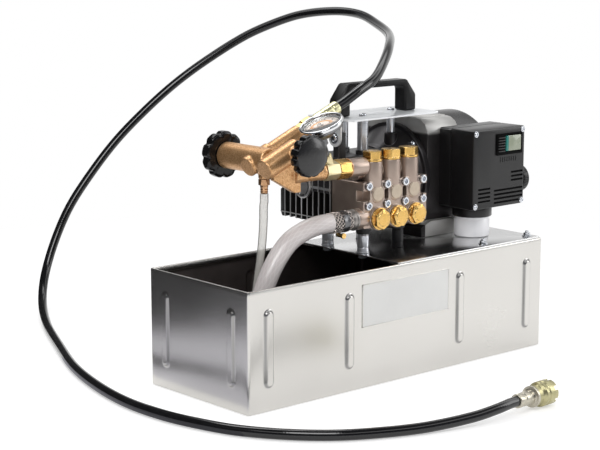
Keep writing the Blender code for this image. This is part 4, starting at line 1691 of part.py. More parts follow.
def build():
    clear_scene()
    stainless = paint("brushed_stainless", (0.62, 0.61, 0.59), 0.35, 1.0)
    mirror_steel = paint("mirror_stainless", (0.7, 0.7, 0.7), 0.08, 1.0)
    steel = paint("plated_steel", (0.6, 0.6, 0.62), 0.3, 1.0)
    dark_steel = paint("dark_steel", (0.12, 0.12, 0.13), 0.4, 1.0)
    rubber = paint("black_rubber", (0.02, 0.02, 0.02), 0.5, 0.0)
    cast_black = paint("black_cast_aluminium", (0.05, 0.05, 0.055), 0.45, 0.6)
    head_bronze = paint("nickel_bronze", (0.33, 0.25, 0.21), 0.42, 0.7)
    brass = paint("brass", (0.72, 0.47, 0.16), 0.25, 1.0)
    yellow_brass = paint("pale_brass", (0.78, 0.68, 0.38), 0.3, 1.0)
    copper = paint("copper", (0.55, 0.26, 0.14), 0.35, 1.0)
    cast_bronze = paint("sand_cast_bronze", (0.56, 0.28, 0.11), 0.5, 0.8)
    plastic = paint("black_plastic", (0.02, 0.02, 0.022), 0.4, 0.0)
    grey = paint("grey_metal", (0.42, 0.42, 0.42), 0.4, 0.8)
    aluminium = paint("cast_aluminium", (0.45, 0.45, 0.44), 0.5, 0.9)
    pale = paint("pale_plastic", (0.72, 0.73, 0.74), 0.5, 0.0)
    clear = paint("clear_hose", (0.75, 0.73, 0.7), 0.3, 0.0)
    ceramic = paint("ceramic", (0.85, 0.84, 0.8), 0.2, 0.0)
    cream = paint("dial_enamel", (0.85, 0.82, 0.74), 0.5, 0.0)
    glass = paint("clear_glass", (0.8, 0.85, 0.85), 0.05, 0.0)
    chrome = paint("chrome", (0.8, 0.8, 0.82), 0.08, 1.0)
    windings = paint("lamination_steel", (0.3, 0.28, 0.26), 0.5, 0.8)
    smoke = paint("smoked_lens", (0.28, 0.32, 0.24), 0.25, 0.0)
    strainer_grey = paint("strainer_plastic", (0.15, 0.16, 0.17), 0.5, 0.0)

    make_tank(stainless)
    make_deck(mirror_steel)
    make_feet(steel, cast_black)
    make_crankcase(cast_black)
    make_shaft_line(dark_steel, steel)
    make_plungers(ceramic)
    make_head(head_bronze)
    make_head_fittings(brass)
    inlet_x = make_discharge_line(brass, yellow_brass)
    make_valve_block(cast_bronze, inlet_x)
    make_knobs(plastic)
    make_gauge(grey, chrome, cream, glass, plastic)
    make_outlet(brass, yellow_brass, rubber)
    make_coupling(yellow_brass, brass)
    make_return_line(copper, clear)
    make_suction_line(grey, steel, clear, strainer_grey)
    make_bell(cast_black)
    make_motor(aluminium, dark_steel, windings, steel, plastic)
    make_fan_cover(plastic)
    make_switch_box(plastic, pale, smoke)
    make_top_plate(steel)
    make_posts(steel)
    make_handle(plastic)


build()
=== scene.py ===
"""Electric hydrostatic test pump on its stainless tank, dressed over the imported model.

Metres, +Z up, +X towards the motor's fan cover, +Y from the pump head to the back.
"""
import math

import bmesh
import bpy
from mathutils import Matrix, Vector


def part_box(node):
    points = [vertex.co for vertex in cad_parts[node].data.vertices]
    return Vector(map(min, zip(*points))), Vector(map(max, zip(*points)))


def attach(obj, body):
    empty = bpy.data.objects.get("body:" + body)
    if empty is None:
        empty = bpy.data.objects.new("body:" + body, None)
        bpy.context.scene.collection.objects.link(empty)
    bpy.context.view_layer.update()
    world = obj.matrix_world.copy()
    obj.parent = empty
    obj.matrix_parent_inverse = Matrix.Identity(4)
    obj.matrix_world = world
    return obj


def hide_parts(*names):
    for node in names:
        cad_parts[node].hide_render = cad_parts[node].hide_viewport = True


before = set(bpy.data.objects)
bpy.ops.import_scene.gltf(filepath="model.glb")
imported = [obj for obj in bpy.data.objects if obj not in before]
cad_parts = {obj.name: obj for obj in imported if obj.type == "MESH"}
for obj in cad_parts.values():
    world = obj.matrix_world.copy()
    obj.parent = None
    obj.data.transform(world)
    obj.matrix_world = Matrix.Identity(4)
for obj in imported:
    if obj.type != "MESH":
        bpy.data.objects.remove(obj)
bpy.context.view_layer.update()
X_AXIS = Vector((1, 0, 0))
Y_AXIS = Vector((0, 1, 0))
Z_AXIS = Vector((0, 0, 1))


# Camera: a long lens at the photograph's place, a little above the tank and to its left. The
# tones are shown as they are, so that the studio's white stays white.
def placed(name, data):
    """A new object in the scene."""
    item = bpy.data.objects.new(name, data)
    bpy.context.scene.collection.objects.link(item)
    return item


camera = placed("camera", bpy.data.cameras.new("camera"))
camera.data.lens = 101.68
camera.data.sensor_width = 36
camera.data.clip_end = 20
camera.location = (-1.42852, -1.51527, 0.55661)
towards_camera = Vector((-0.65100, -0.73768, 0.17907))
camera.rotation_euler = (-towards_camera).to_track_quat("-Z", "Y").to_euler()
bpy.context.scene.camera = camera
bpy.context.scene.view_settings.view_transform = "Standard"


# Floor and light: a white studio sweep with three soft boxes. What polished metal mirrors is
# bright behind and to the right, and dark overhead and to the left, under a bright strip. A dark
# card and a pale one by the tank's left end are seen in polished faces alone.
def feed(tree, socket, value):
    """Join an input to another node's output, or set its value. A colour may leave out its alpha."""
    if isinstance(value, bpy.types.NodeSocket):
        tree.links.new(value, socket)
    elif socket.type == "RGBA" and len(value) == 3:
        socket.default_value = (*value, 1)
    else:
        socket.default_value = value


def add(tree, kind, **values):
    """Add a node, and feed its inputs by name."""
    node = tree.nodes.new(kind)
    for key, value in values.items():
        feed(tree, node.inputs[key.replace("_", " ")], value)
    return node


def maths(tree, operation, first, second=0.0):
    node = tree.nodes.new("ShaderNodeMath")
    node.operation = operation
    feed(tree, node.inputs[0], first)
    feed(tree, node.inputs[1], second)
    return node.outputs[0]


def times(tree, first, second):
    return maths(tree, "MULTIPLY", first, second)


def plus(tree, first, second):
    return maths(tree, "ADD", first, second)


def ramp(tree, factor, stops):
    """A colour ramp through (place, colour) stops."""
    node = add(tree, "ShaderNodeValToRGB", Fac=factor)
    elements = node.color_ramp.elements
    while len(elements) < len(stops):
        elements.new(0.5)
    for element, (place, colour) in zip(elements, stops):
        element.position = place
        element.color = (*colour, 1)
    return node.outputs["Color"]


def tint(tree, factor, first, second):
    """Mix two colours."""
    node = tree.nodes.new("ShaderNodeMix")
    node.data_type = "RGBA"
    feed(tree, node.inputs[0], factor)
    feed(tree, node.inputs[6], first)
    feed(tree, node.inputs[7], second)
    return node.outputs[2]


def mix_shaders(tree, factor, first, second):
    node = add(tree, "ShaderNodeMixShader", Fac=factor)
    tree.links.new(first.outputs[0], node.inputs[1])
    tree.links.new(second.outputs[0], node.inputs[2])
    return node


def studio_light():
    world = bpy.data.worlds.new("studio")
    bpy.context.scene.world = world
    world.use_nodes = True
    tree = world.node_tree
    tree.nodes.clear()
    seen = add(tree, "ShaderNodeLightPath")
    rays = plus(tree, seen.outputs["Is Camera Ray"], seen.outputs["Is Transmission Ray"])
    straight = maths(tree, "MINIMUM", rays, 1.0)
    direction = add(tree, "ShaderNodeTexCoord").outputs["Generated"]
    parts = add(tree, "ShaderNodeSeparateXYZ", Vector=direction)
    height = plus(tree, times(tree, parts.outputs["Z"], 0.5), 0.5)
    overhead = ramp(tree, height,
                    [(0.0, (1, 1, 1)), (0.60, (1, 1, 1)), (0.70, (0.5, 0.5, 0.5)), (0.85, (0.2, 0.2, 0.2)),
                     (1.0, (0.35, 0.35, 0.36))])
    across = plus(tree, times(tree, parts.outputs["X"], 0.46), times(tree, parts.outputs["Y"], 0.18))
    around = ramp(tree, plus(tree, across, 0.5),
                  [(0.0, (0.045, 0.05, 0.062)), (0.34, (0.045, 0.05, 0.062)), (0.52, (0.12, 0.13, 0.145)),
                   (0.68, (0.31, 0.31, 0.315)), (0.92, (0.5, 0.5, 0.5))])
    shaded = tint(tree, 1.0, around, overhead)
    shaded.node.blend_type = "MULTIPLY"
    strip = ramp(tree, height, [(0.79, (0, 0, 0)), (0.82, (1, 1, 1)), (0.87, (1, 1, 1)), (0.90, (0, 0, 0))])
    sweep = tint(tree, strip, shaded, (1, 1, 1))
    ambient = add(tree, "ShaderNodeBackground", Color=(1, 1, 1, 1), Strength=0.5)
    mirrored = add(tree, "ShaderNodeBackground", Color=sweep, Strength=2.0)
    backdrop = add(tree, "ShaderNodeBackground", Color=(1, 1, 1, 1), Strength=1.0)
    glossy = mix_shaders(tree, seen.outputs["Is Glossy Ray"], ambient, mirrored)
    final = mix_shaders(tree, straight, glossy, backdrop)
    add(tree, "ShaderNodeOutputWorld", Surface=final.outputs[0])


def soft_box(name, place, aim, width, height, power):
    light = bpy.data.lights.new(name, "AREA")
    light.shape = "RECTANGLE"
    light.size = width
    light.size_y = height
    light.energy = power
    lamp = placed(name, light)
    lamp.location = place
    lamp.rotation_euler = (Vector(aim) - Vector(place)).to_track_quat("-Z", "Y").to_euler()


def mesh_of(name, shape):
    mesh = bpy.data.meshes.new(name)
    shape.to_mesh(mesh)
    shape.free()
    return mesh


def flat_square(name, half):
    shape = bmesh.new()
    bmesh.ops.create_grid(shape, x_segments=1, y_segments=1, size=half)
    return placed(name, mesh_of(name, shape))


def studio_floor():
    floor = flat_square("floor", 12.0)
    floor.location = (0, 0, -0.0004)
    paper = bpy.data.materials.new("floor_paper")
    paper.use_nodes = True
    tree = paper.node_tree
    tree.nodes.clear()
    seen = add(tree, "ShaderNodeLightPath")
    matt = add(tree, "ShaderNodeBsdfDiffuse", Color=(0.9, 0.9, 0.9, 1))
    glow = add(tree, "ShaderNodeEmission", Color=(1, 1, 1, 1), Strength=1.0)
    lit = add(tree, "ShaderNodeEmission", Color=(1, 1, 1, 1), Strength=0.28)
    both = add(tree, "ShaderNodeAddShader")
    tree.links.new(matt.outputs[0], both.inputs[0])
    tree.links.new(lit.outputs[0], both.inputs[1])
    place = add(tree, "ShaderNodeTexCoord").outputs["Object"]
    reach = add(tree, "ShaderNodeVectorMath", Vector=place)
    reach.operation = "LENGTH"
    far = maths(tree, "MINIMUM", times(tree, reach.outputs["Value"], 0.9), 1.0)
    whitened = mix_shaders(tree, times(tree, far, seen.outputs["Is Camera Ray"]), both, glow)
    add(tree, "ShaderNodeOutputMaterial", Surface=whitened.outputs[0])
    floor.data.materials.append(paper)


def mirror_card(name, place, facing, width, height, shade):
    """A felt card that is seen only in polished faces."""
    card = flat_square(name, 0.5)
    card.scale = (width, height, 1)
    card.location = place
    card.rotation_euler = Vector(facing).to_track_quat("Z", "Y").to_euler()
    card.visible_camera = card.visible_diffuse = card.visible_shadow = card.visible_transmission = False
    felt = bpy.data.materials.new("card_felt")
    felt.use_nodes = True
    colour = felt.node_tree.nodes["Principled BSDF"].inputs["Base Color"]
    feed(felt.node_tree, colour, (shade, shade, shade * 1.1))
    card.data.materials.append(felt)


studio_light()
studio_floor()
mirror_card("back_card", (-0.47, 0.23, 0.35), (0.651, -0.738, 0), 1.5, 0.7, 0.02)
mirror_card("low_card", (-0.62, 0.30, 0.001), (0, 0, 1), 0.7, 0.9, 0.85)
soft_box("key_light", (-1.3, -1.2, 2.0), (0.0, 0.0, 0.15), 1.1, 1.1, 26)
soft_box("side_light", (1.9, -1.5, 1.1), (0.0, 0.0, 0.2), 0.9, 1.4, 14)
soft_box("top_light", (0.1, 0.9, 2.2), (0.0, 0.0, 0.2), 1.6, 0.8, 18)


# Pressure hose: 2.2 m of smooth black rubber hose. It leaves the outlet ferrule, passes over
# the handle, comes down behind the tank and lies round its left end to the front.
OUTLET_TILT = math.radians(23.0)
OUTLET_AXIS = Vector((math.cos(OUTLET_TILT), 0, math.sin(OUTLET_TILT)))
BLOCK_X = -0.1615
BLOCK_Z = 0.2755
OUTLET_CROSSING = Vector((BLOCK_X, -0.0056, BLOCK_Z))
HOSE_EXIT = OUTLET_CROSSING + OUTLET_AXIS * 0.1357
END_TURN = math.radians(3.5)
END_AXIS = Vector((math.cos(END_TURN), math.sin(END_TURN), 0))
END_START = Vector((-0.016, -0.2855, 0.0150))
HOSE_RADIUS = 0.0062
PRESSURE_HOSE_ROUTE = (
    (0.003, -0.0045, 0.3468), (0.034, 0.0030, 0.3575), (0.069, 0.0240, 0.3720), (0.119, 0.0640, 0.3890),
    (0.186, 0.1330, 0.4000), (0.229, 0.2030, 0.4100), (0.250, 0.2580, 0.4190), (0.255, 0.3160, 0.4210),
    (0.241, 0.3750, 0.4140), (0.218, 0.4150, 0.3990), (0.190, 0.4480, 0.3790), (0.143, 0.4820, 0.3430),
    (0.102, 0.5020, 0.3110), (0.058, 0.5160, 0.2740), (0.010, 0.5240, 0.2320), (-0.034, 0.5280, 0.1860),
    (-0.070, 0.5310, 0.1410), (-0.098, 0.5290, 0.0950), (-0.125, 0.5160, 0.0500), (-0.151, 0.4840, 0.0212),
    (-0.194, 0.4070, 0.0076), (-0.245, 0.2990, 0.0064), (-0.291, 0.1950, 0.0064), (-0.319, 0.1020, 0.0064),
    (-0.332, 0.0250, 0.0064), (-0.331, -0.0400, 0.0064), (-0.321, -0.0920, 0.0064),
    (-0.304, -0.1410, 0.0064), (-0.272, -0.1890, 0.0064), (-0.233, -0.2260, 0.0064),
    (-0.184, -0.2530, 0.0064), (-0.139, -0.2700, 0.0070), (-0.083, -0.2830, 0.0098),
    (-0.048, -0.2868, 0.0132),)


def smooth_route(points, count):
    """Evenly spaced points on the smooth curve through a route's own points."""
    route = [Vector(point) for point in points]
    lengths = [0.0]
    for first, second in zip(route, route[1:]):
        lengths.append(lengths[-1] + (second - first).length)
    slopes = []
    for index in range(len(route)):
        before = max(index - 1, 0)
        after = min(index + 1, len(route) - 1)
        slopes.append((route[after] - route[before]) / (lengths[after] - lengths[before]))
    fine = []
    for index in range(len(route) - 1):
        gap = lengths[index + 1] - lengths[index]
        for step in range(24):
            t = step / 24
            t2 = t * t
            t3 = t2 * t
            fine.append(route[index] * (2 * t3 - 3 * t2 + 1) + slopes[index] * gap * (t3 - 2 * t2 + t)
                        + route[index + 1] * (3 * t2 - 2 * t3) + slopes[index + 1] * gap * (t3 - t2))
    fine.append(route[-1])
    travelled = [0.0]
    for first, second in zip(fine, fine[1:]):
        travelled.append(travelled[-1] + (second - first).length)
    result = []
    place = 0
    for index in range(count):
        wanted = travelled[-1] * index / (count - 1)
        while place < len(fine) - 2 and travelled[place + 1] < wanted:
            place += 1
        share = (wanted - travelled[place]) / (travelled[place + 1] - travelled[place])
        result.append(fine[place].lerp(fine[place + 1], min(share, 1)))
    return result


def hose_path(start, start_axis, route, end, end_axis, radius, count):
    """The centre line of a hose that leaves its start and meets its end square."""
    run = radius * 2
    middle = smooth_route([start + start_axis * run, *route, end - end_axis * run], count)
    return [start, *middle, end]


def ring_round(shape, middle, across, beside, sides, reach):
    """A ring of points round a middle. reach is its radius, or gives one for each angle."""
    ring = []
    for side in range(sides):
        angle = math.tau * side / sides
        radius = reach(angle) if callable(reach) else reach
        ring.append(shape.verts.new(middle + (across * math.cos(angle) + beside * math.sin(angle)) * radius))
    return ring


def joined(shape, rings, capped=True):
    """Faces between rings of points, then over both ends. A ring may be a single point."""
    sides = max(len(ring) for ring in rings)
    faces = []
    for lower, upper in zip(rings, rings[1:]):
        for side in range(sides):
            following = (side + 1) % sides
            under = (lower[side % len(lower)], lower[following % len(lower)])
            over = (upper[following % len(upper)], upper[side % len(upper)])
            corners = dict.fromkeys(under + over)
            if len(corners) > 2:
                faces.append(shape.faces.new(list(corners)))
    if capped:
        faces.append(shape.faces.new(list(reversed(rings[0]))))
        faces.append(shape.faces.new(rings[-1]))
    return faces


def tube(path, radius, sides):
    """A closed tube along a path. Its UV map runs along it in metres in U, and once round it in V."""
    shape = bmesh.new()
    layer = shape.loops.layers.uv.new("UVMap")
    travelled = 0.0
    tangent = (path[1] - path[0]).normalized()
    across = tangent.orthogonal().normalized()
    rings = []
    places = []
    for index, point in enumerate(path):
        before = path[max(index - 1, 0)]
        after = path[min(index + 1, len(path) - 1)]
        turned_to = (after - before).normalized()
        across = (tangent.rotation_difference(turned_to) @ across).normalized()
        tangent = turned_to
        if index > 0:
            travelled += (point - path[index - 1]).length
        rings.append(ring_round(shape, point, across, tangent.cross(across), sides, radius))
        places.append(travelled)
    for number, face in enumerate(joined(shape, rings)[:-2]):
        index, side = divmod(number, sides)
        low, high = places[index:index + 2]
        corners = ((low, side), (low, side + 1), (high, side + 1), (high, side))
        for loop, (along, turns) in zip(face.loops, corners):
            loop[layer].uv = (along, turns / sides)
    return shape


def loose_object(name, shape):
    bmesh.ops.recalc_face_normals(shape, faces=shape.faces)
    return placed(name, mesh_of(name, shape))


def smoothed(item, angle):
    """Shade an object smooth, apart from its edges that are sharper than an angle in degrees."""
    item.data.shade_smooth()
    item.data.set_sharp_from_angle(angle=math.radians(angle))


def make_piece(name, shape, material, body="pump", smooth=35.0):
    """Turn a finished shape into a piece that rides on one of the pump's bodies."""
    item = loose_object(name, shape)
    item.data.materials.append(material)
    smoothed(item, smooth)
    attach(item, body)
    return item


def surface(name):
    """A new material: its node tree, its shader and the piece's own coordinates."""
    material = bpy.data.materials.new(name)
    material.use_nodes = True
    tree = material.node_tree
    shader = tree.nodes["Principled BSDF"]
    place = add(tree, "ShaderNodeTexCoord").outputs["Object"]
    return material, tree, shader, place


def grain(tree, place, scale, detail=3.0, stretch=(1, 1, 1)):
    """Fine noise, drawn out along an axis where stretch is below one."""
    spread = add(tree, "ShaderNodeMapping", Vector=place, Scale=stretch)
    return add(tree, "ShaderNodeTexNoise", Vector=spread.outputs[0], Scale=scale, Detail=detail).outputs[0]


def roughen(tree, shader, height, strength, distance, soft=None):
    """Drive the shader's normal from a height, over edges rounded by a soft radius."""
    bump = add(tree, "ShaderNodeBump", Height=height, Strength=strength, Distance=distance)
    if soft:
        rounded = add(tree, "ShaderNodeBevel", Radius=soft)
        rounded.samples = 6
        tree.links.new(rounded.outputs[0], bump.inputs["Normal"])
    tree.links.new(bump.outputs[0], shader.inputs["Normal"])


def between(tree, factor, low, high):
    """Read a factor of nought to one as a value from low to high."""
    return add(tree, "ShaderNodeMapRange", Value=factor, To_Min=low, To_Max=high).outputs[0]


def hose_rubber():
    """Extruded rubber: near black, satin, with a faint wrap pattern pressed in by the curing tape."""
    material, tree, shader, place = surface("hose_rubber")
    around = add(tree, "ShaderNodeUVMap").outputs[0]
    dust = grain(tree, place, 90.0, 4.0)
    tree.links.new(tint(tree, dust, (0.003, 0.003, 0.0035), (0.008, 0.008, 0.009)),
                   shader.inputs["Base Color"])
    tree.links.new(between(tree, dust, 0.06, 0.12), shader.inputs["Roughness"])
    wrap = add(tree, "ShaderNodeTexWave", Vector=around, Scale=90.0, Distortion=0.6, Detail=1.0)
    roughen(tree, shader, wrap.outputs["Fac"], 0.05, 0.0003)
    return material


pressure_path = hose_path(HOSE_EXIT, OUTLET_AXIS, PRESSURE_HOSE_ROUTE, END_START - END_AXIS * 0.0003,
                          END_AXIS, HOSE_RADIUS, 260)
pressure_path = [Vector((point.x, point.y, max(point.z, HOSE_RADIUS + 0.0002))) for point in pressure_path]
hose_cover = make_piece("rubber_hose", tube(pressure_path, HOSE_RADIUS, 24), hose_rubber())
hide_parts("pressure_hose")


# Tank: 1.5 mm stainless sheet folded to a box and welded up its corners. Its upright beads are
# pressed outwards, and the rim is hemmed inwards to a double thickness.
TANK_HALF_LENGTH = 0.250
TANK_HALF_WIDTH = 0.092
TANK_HEIGHT = 0.1433
SHEET = 0.0015
FOLD_RADIUS = 0.0034
BEAD_HALF_WIDTH = 0.008
BEAD_SLOPE = 0.0042
BEAD_PROUD = 0.0031
BEAD_LOW = 0.027
BEAD_HIGH = 0.120
LONG_BEADS = (-0.220, -0.0945, 0.0945, 0.220)
END_BEADS = (-0.0615, 0.0615)


def bead_rise(across, up, centres):
    """How far the nearest bead stands out at a place on its wall, and how steep its side is there."""
    end = min(max(up, BEAD_LOW + BEAD_HALF_WIDTH), BEAD_HIGH - BEAD_HALF_WIDTH)
    reach = min(math.hypot(across - centre, up - end) for centre in centres)
    share = min(max((BEAD_HALF_WIDTH - reach) / BEAD_SLOPE, 0), 1)
    return BEAD_PROUD * share * share * (3 - 2 * share), 4 * share * (1 - share)


def stations(half, centres):
    """Places along a wall: close together over the beads, and wide apart between them."""
    places = {round(-half + 2 * half * step / 24, 5) for step in range(25)}
    for centre in centres:
        places = {place for place in places if abs(place - centre) > 0.011}
        places |= {round(centre + 0.0008 * step, 5) for step in range(-12, 13)}
    return sorted(places)


def tank_columns():
    """Each upright line of the wall: its place, its outward direction and its rise at a height."""
    walls = ((X_AXIS, -Y_AXIS, TANK_HALF_LENGTH, TANK_HALF_WIDTH, LONG_BEADS),
             (Y_AXIS, X_AXIS, TANK_HALF_WIDTH, TANK_HALF_LENGTH, END_BEADS),
             (-X_AXIS, Y_AXIS, TANK_HALF_LENGTH, TANK_HALF_WIDTH, LONG_BEADS),
             (-Y_AXIS, -X_AXIS, TANK_HALF_WIDTH, TANK_HALF_LENGTH, END_BEADS))
    for along, out, half, distance, centres in walls:
        straight = half - FOLD_RADIUS
        for place in stations(straight, centres):
            yield along * place + out * distance, out, lambda up, at=place, of=centres: bead_rise(at, up, of)
        centre = along * straight + out * (distance - FOLD_RADIUS)
        for step in range(1, 6):
            angle = math.pi / 2 * step / 6
            facing = out * math.cos(angle) + along * math.sin(angle)
            yield centre + facing * FOLD_RADIUS, facing, lambda up: (0.0, 0.0)


def tank_sheet():
    ends = [0.0262 + 0.0012 * step for step in range(10)] + [0.1100 + 0.0012 * step for step in range(10)]
    rows = sorted(ends + [0.0020, 0.0080, 0.0160, 0.0225, 0.0480, 0.0620, 0.0760, 0.0900, 0.1020, 0.1250,
                          0.1310])
    shape = bmesh.new()
    # Each point keeps how steep its bead side is there; the sheet's material darkens steep places as painted
    # shade along the beads.
    bead_side_shade = shape.verts.layers.float.new("bead_side_shade")
    rings = []
    columns = list(tank_columns())
    outer = [(0.0014, 0.0, 0), (0.0005, 0.0003, 0), (0, 0.0010, 0), *[(0, row, 1) for row in rows],
             (0, 0.1380, 0), (0, 0.1423, 0), (0.0003, 0.1430, 0), (0.0010, TANK_HEIGHT, 0),
             (0.0020, TANK_HEIGHT, 0), (0.0027, 0.1430, 0), (0.0030, 0.1423, 0), (0.0030, 0.1360, 0),
             (0.0027, 0.1354, 0), (0.0018, 0.1352, 0), (0.0015, 0.1347, 0)]
    inner = [(SHEET, row, 1) for row in reversed(rows[1:])]
    for inset, up, pressed in [*outer, *inner, (SHEET, 0.0035, 0), (0.0020, 0.0021, 0), (0.0033, SHEET, 0)]:
        ring = []
        for place, out, rise in columns:
            proud, steep = rise(up)
            point = shape.verts.new(place + out * (proud * pressed - inset) + Z_AXIS * up)
            point[bead_side_shade] = steep * pressed
            ring.append(point)
        rings.append(ring)
    walls_and_floors = joined(shape, rings)
    inside = walls_and_floors[(len(outer) - 1) * len(columns):-2] + walls_and_floors[-1:]
    for face in inside:
        face.material_index = 1
    return shape


def slab(low, high, corner, edge, along=2, steps=6, into=None):
    """A plate between two corners. Seen along an axis its corners are round, and its edges are eased."""
    shape = into or bmesh.new()
    first, second = [axis for axis in range(3) if axis != along]
    rings = []
    for level, inset in ((low[along], edge), (low[along] + edge * 0.3, edge * 0.3), (low[along] + edge, 0),
                         (high[along] - edge, 0), (high[along] - edge * 0.3, edge * 0.3),
                         (high[along], edge)):
        points = []
        reach = corner - inset
        for right, upper, start in ((1, 1, 0), (0, 1, 90), (0, 0, 180), (1, 0, 270)):
            across = high[first] - corner if right else low[first] + corner
            up = high[second] - corner if upper else low[second] + corner
            for step in range(steps + 1):
                angle = math.radians(start + 90 * step / steps)
                point = [level, level, level]
                point[first] = across + reach * math.cos(angle)
                point[second] = up + reach * math.sin(angle)
                points.append(shape.verts.new(point))
        rings.append(points)
    joined(shape, rings)
    return shape


def effect(name, inputs, outputs, build):
    """A shader node group with named inputs and outputs, kept for every material that uses it."""
    if name in bpy.data.node_groups:
        return bpy.data.node_groups[name]
    tree = bpy.data.node_groups.new(name, "ShaderNodeTree")
    for label, kind, value in inputs:
        socket = tree.interface.new_socket(label, in_out="INPUT", socket_type=kind)
        if value is not None:
            socket.default_value = value
    for label, kind in outputs:
        tree.interface.new_socket(label, in_out="OUTPUT", socket_type=kind)
    source = tree.nodes.new("NodeGroupInput").outputs
    results = build(tree, source)
    sink = tree.nodes.new("NodeGroupOutput")
    for socket, result in zip(sink.inputs, results):
        tree.links.new(result, socket)
    return tree


def use(tree, group, **values):
    node = tree.nodes.new("ShaderNodeGroup")
    node.node_tree = group
    for key, value in values.items():
        feed(tree, node.inputs[key], value)
    return node.outputs


def brushing():
    """Directional grinding: fine streaks, and slow smudges where the sheet has been handled."""
    def build(tree, source):
        streaked = add(tree, "ShaderNodeVectorMath", Vector=source["Place"])
        streaked.operation = "MULTIPLY"
        tree.links.new(source["Streak"], streaked.inputs[1])
        fine = add(tree, "ShaderNodeTexNoise", Vector=streaked.outputs[0], Scale=1.0, Detail=3.0).outputs[0]
        slow = add(tree, "ShaderNodeTexNoise", Vector=source["Place"], Scale=9.0, Detail=4.0).outputs[0]
        return fine, slow
    return effect("brushing", [("Place", "NodeSocketVector", None), ("Streak", "NodeSocketVector", None)],
                  [("Streaks", "NodeSocketFloat"), ("Smudges", "NodeSocketFloat")], build)


def worn_edges():
    """Finds the edges of a piece, where paint rubs through or metal is burnished."""
    def build(tree, source):
        rounded = add(tree, "ShaderNodeBevel", Radius=source["Width"])
        rounded.samples = 6
        plain = add(tree, "ShaderNodeNewGeometry").outputs["Normal"]
        agreement = add(tree, "ShaderNodeVectorMath", Vector=rounded.outputs[0])
        agreement.operation = "DOT_PRODUCT"
        tree.links.new(plain, agreement.inputs[1])
        turned_away = maths(tree, "SUBTRACT", 1.0, agreement.outputs["Value"])
        sharp = times(tree, turned_away, 12.0)
        patches = add(tree, "ShaderNodeTexNoise", Vector=source["Place"], Scale=source["Patches"],
                      Detail=5.0).outputs[0]
        kept = times(tree, sharp, times(tree, patches, 1.6))
        return (maths(tree, "MINIMUM", times(tree, kept, source["Amount"]), 1.0),)
    return effect("worn_edges",
                  [("Place", "NodeSocketVector", None), ("Width", "NodeSocketFloat", 0.0006),
                   ("Patches", "NodeSocketFloat", 120.0), ("Amount", "NodeSocketFloat", 1.0)],
                  [("Worn", "NodeSocketFloat")], build)


def coated(tree, shader, place, colour, rough, metal=0.0, worn=None):
    """Give a shader its colour, rubbed through along the edges, its roughness and its metal."""
    if worn:
        width, patches, amount, rubbed = worn
        edges = use(tree, worn_edges(), Place=place, Width=width, Patches=patches, Amount=amount)
        colour = tint(tree, edges["Worn"], colour, rubbed)
    tree.links.new(colour, shader.inputs["Base Color"])
    tree.links.new(rough, shader.inputs["Roughness"])
    feed(tree, shader.inputs["Metallic"], metal)


def finish(name, dull, bright, rough, cloud, metal=0.0, worn=None, skin=None, skin_rough=False, bump=None,
           soft=None, gloss=0.5):
    """A clouded finish from dull to bright, over a fine skin.

    cloud and skin are a noise's scale, detail and stretch. worn is what worn_edges takes, and the
    colour of a rubbed edge. soft rounds hard edges by a radius.
    """
    material, tree, shader, place = surface(name)
    slow = grain(tree, place, *cloud)
    fine = grain(tree, place, *skin) if skin else slow
    roughness = between(tree, fine if skin_rough else slow, *rough)
    coated(tree, shader, place, tint(tree, slow, dull, bright), roughness, metal, worn)
    shader.inputs["Specular IOR Level"].default_value = gloss
    if bump:
        roughen(tree, shader, fine, *bump, soft)
    return material


def brushed_stainless():
    material, tree, shader, place = surface("brushed_stainless")
    marks = use(tree, brushing(), Place=place, Streak=(14, 14, 2200))
    colour = tint(tree, marks["Smudges"], (0.56, 0.545, 0.52), (0.66, 0.645, 0.615))
    streaked = tint(tree, between(tree, marks["Streaks"], 0.0, 0.16), colour, (0.78, 0.77, 0.75))
    # Painted shade: the bead sides are tinted dark by their steepness.
    steep = add(tree, "ShaderNodeAttribute")
    steep.attribute_name = "bead_side_shade"
    drawn = times(tree, steep.outputs["Fac"], 0.75)
    rough = plus(tree, between(tree, marks["Smudges"], 0.17, 0.30),
                 between(tree, marks["Streaks"], 0.0, 0.03))
    coated(tree, shader, place, tint(tree, drawn, streaked, (0.16, 0.16, 0.165)), rough, 1.0)
    roughen(tree, shader, marks["Streaks"], 0.015, 0.0001)
    return material


def stained_and_shaded_stainless():
    """The tank's inside: the same sheet, dulled brown by old water, and darkened further as painted shade
    inside the open tank.
    """
    return finish("stained_and_shaded_stainless", (0.055, 0.045, 0.042), (0.15, 0.13, 0.125), (0.34, 0.52), (24.0, 5.0),
                  0.7, skin=(700.0,), bump=(0.06, 0.0002))


stainless = brushed_stainless()
tank_shape = tank_sheet()
for side in (-1, 1):
    edges = sorted((side * 0.0692, side * 0.0893))
    slab((-0.0090, edges[0], 0.1409), (0.2473, edges[1], 0.1429), 0.0006, 0.0003, into=tank_shape)
tank_piece = make_piece("tank_sheet", tank_shape, stainless, smooth=40)
# The inside faces take a dark brown finish: partly stain, partly painted shade.
tank_piece.data.materials.append(stained_and_shaded_stainless())
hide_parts("tank")


# Name plate's place: a bare plate of pale enamelled steel, bonded to the tank's front. A fine
# border of stainless strip is raised round it.
def bare_enamel():
    return finish("bare_enamel", (0.60, 0.60, 0.59), (0.68, 0.68, 0.67), (0.30, 0.42), (22.0, 5.0),
                  skin=(900.0,), bump=(0.05, 0.0001))


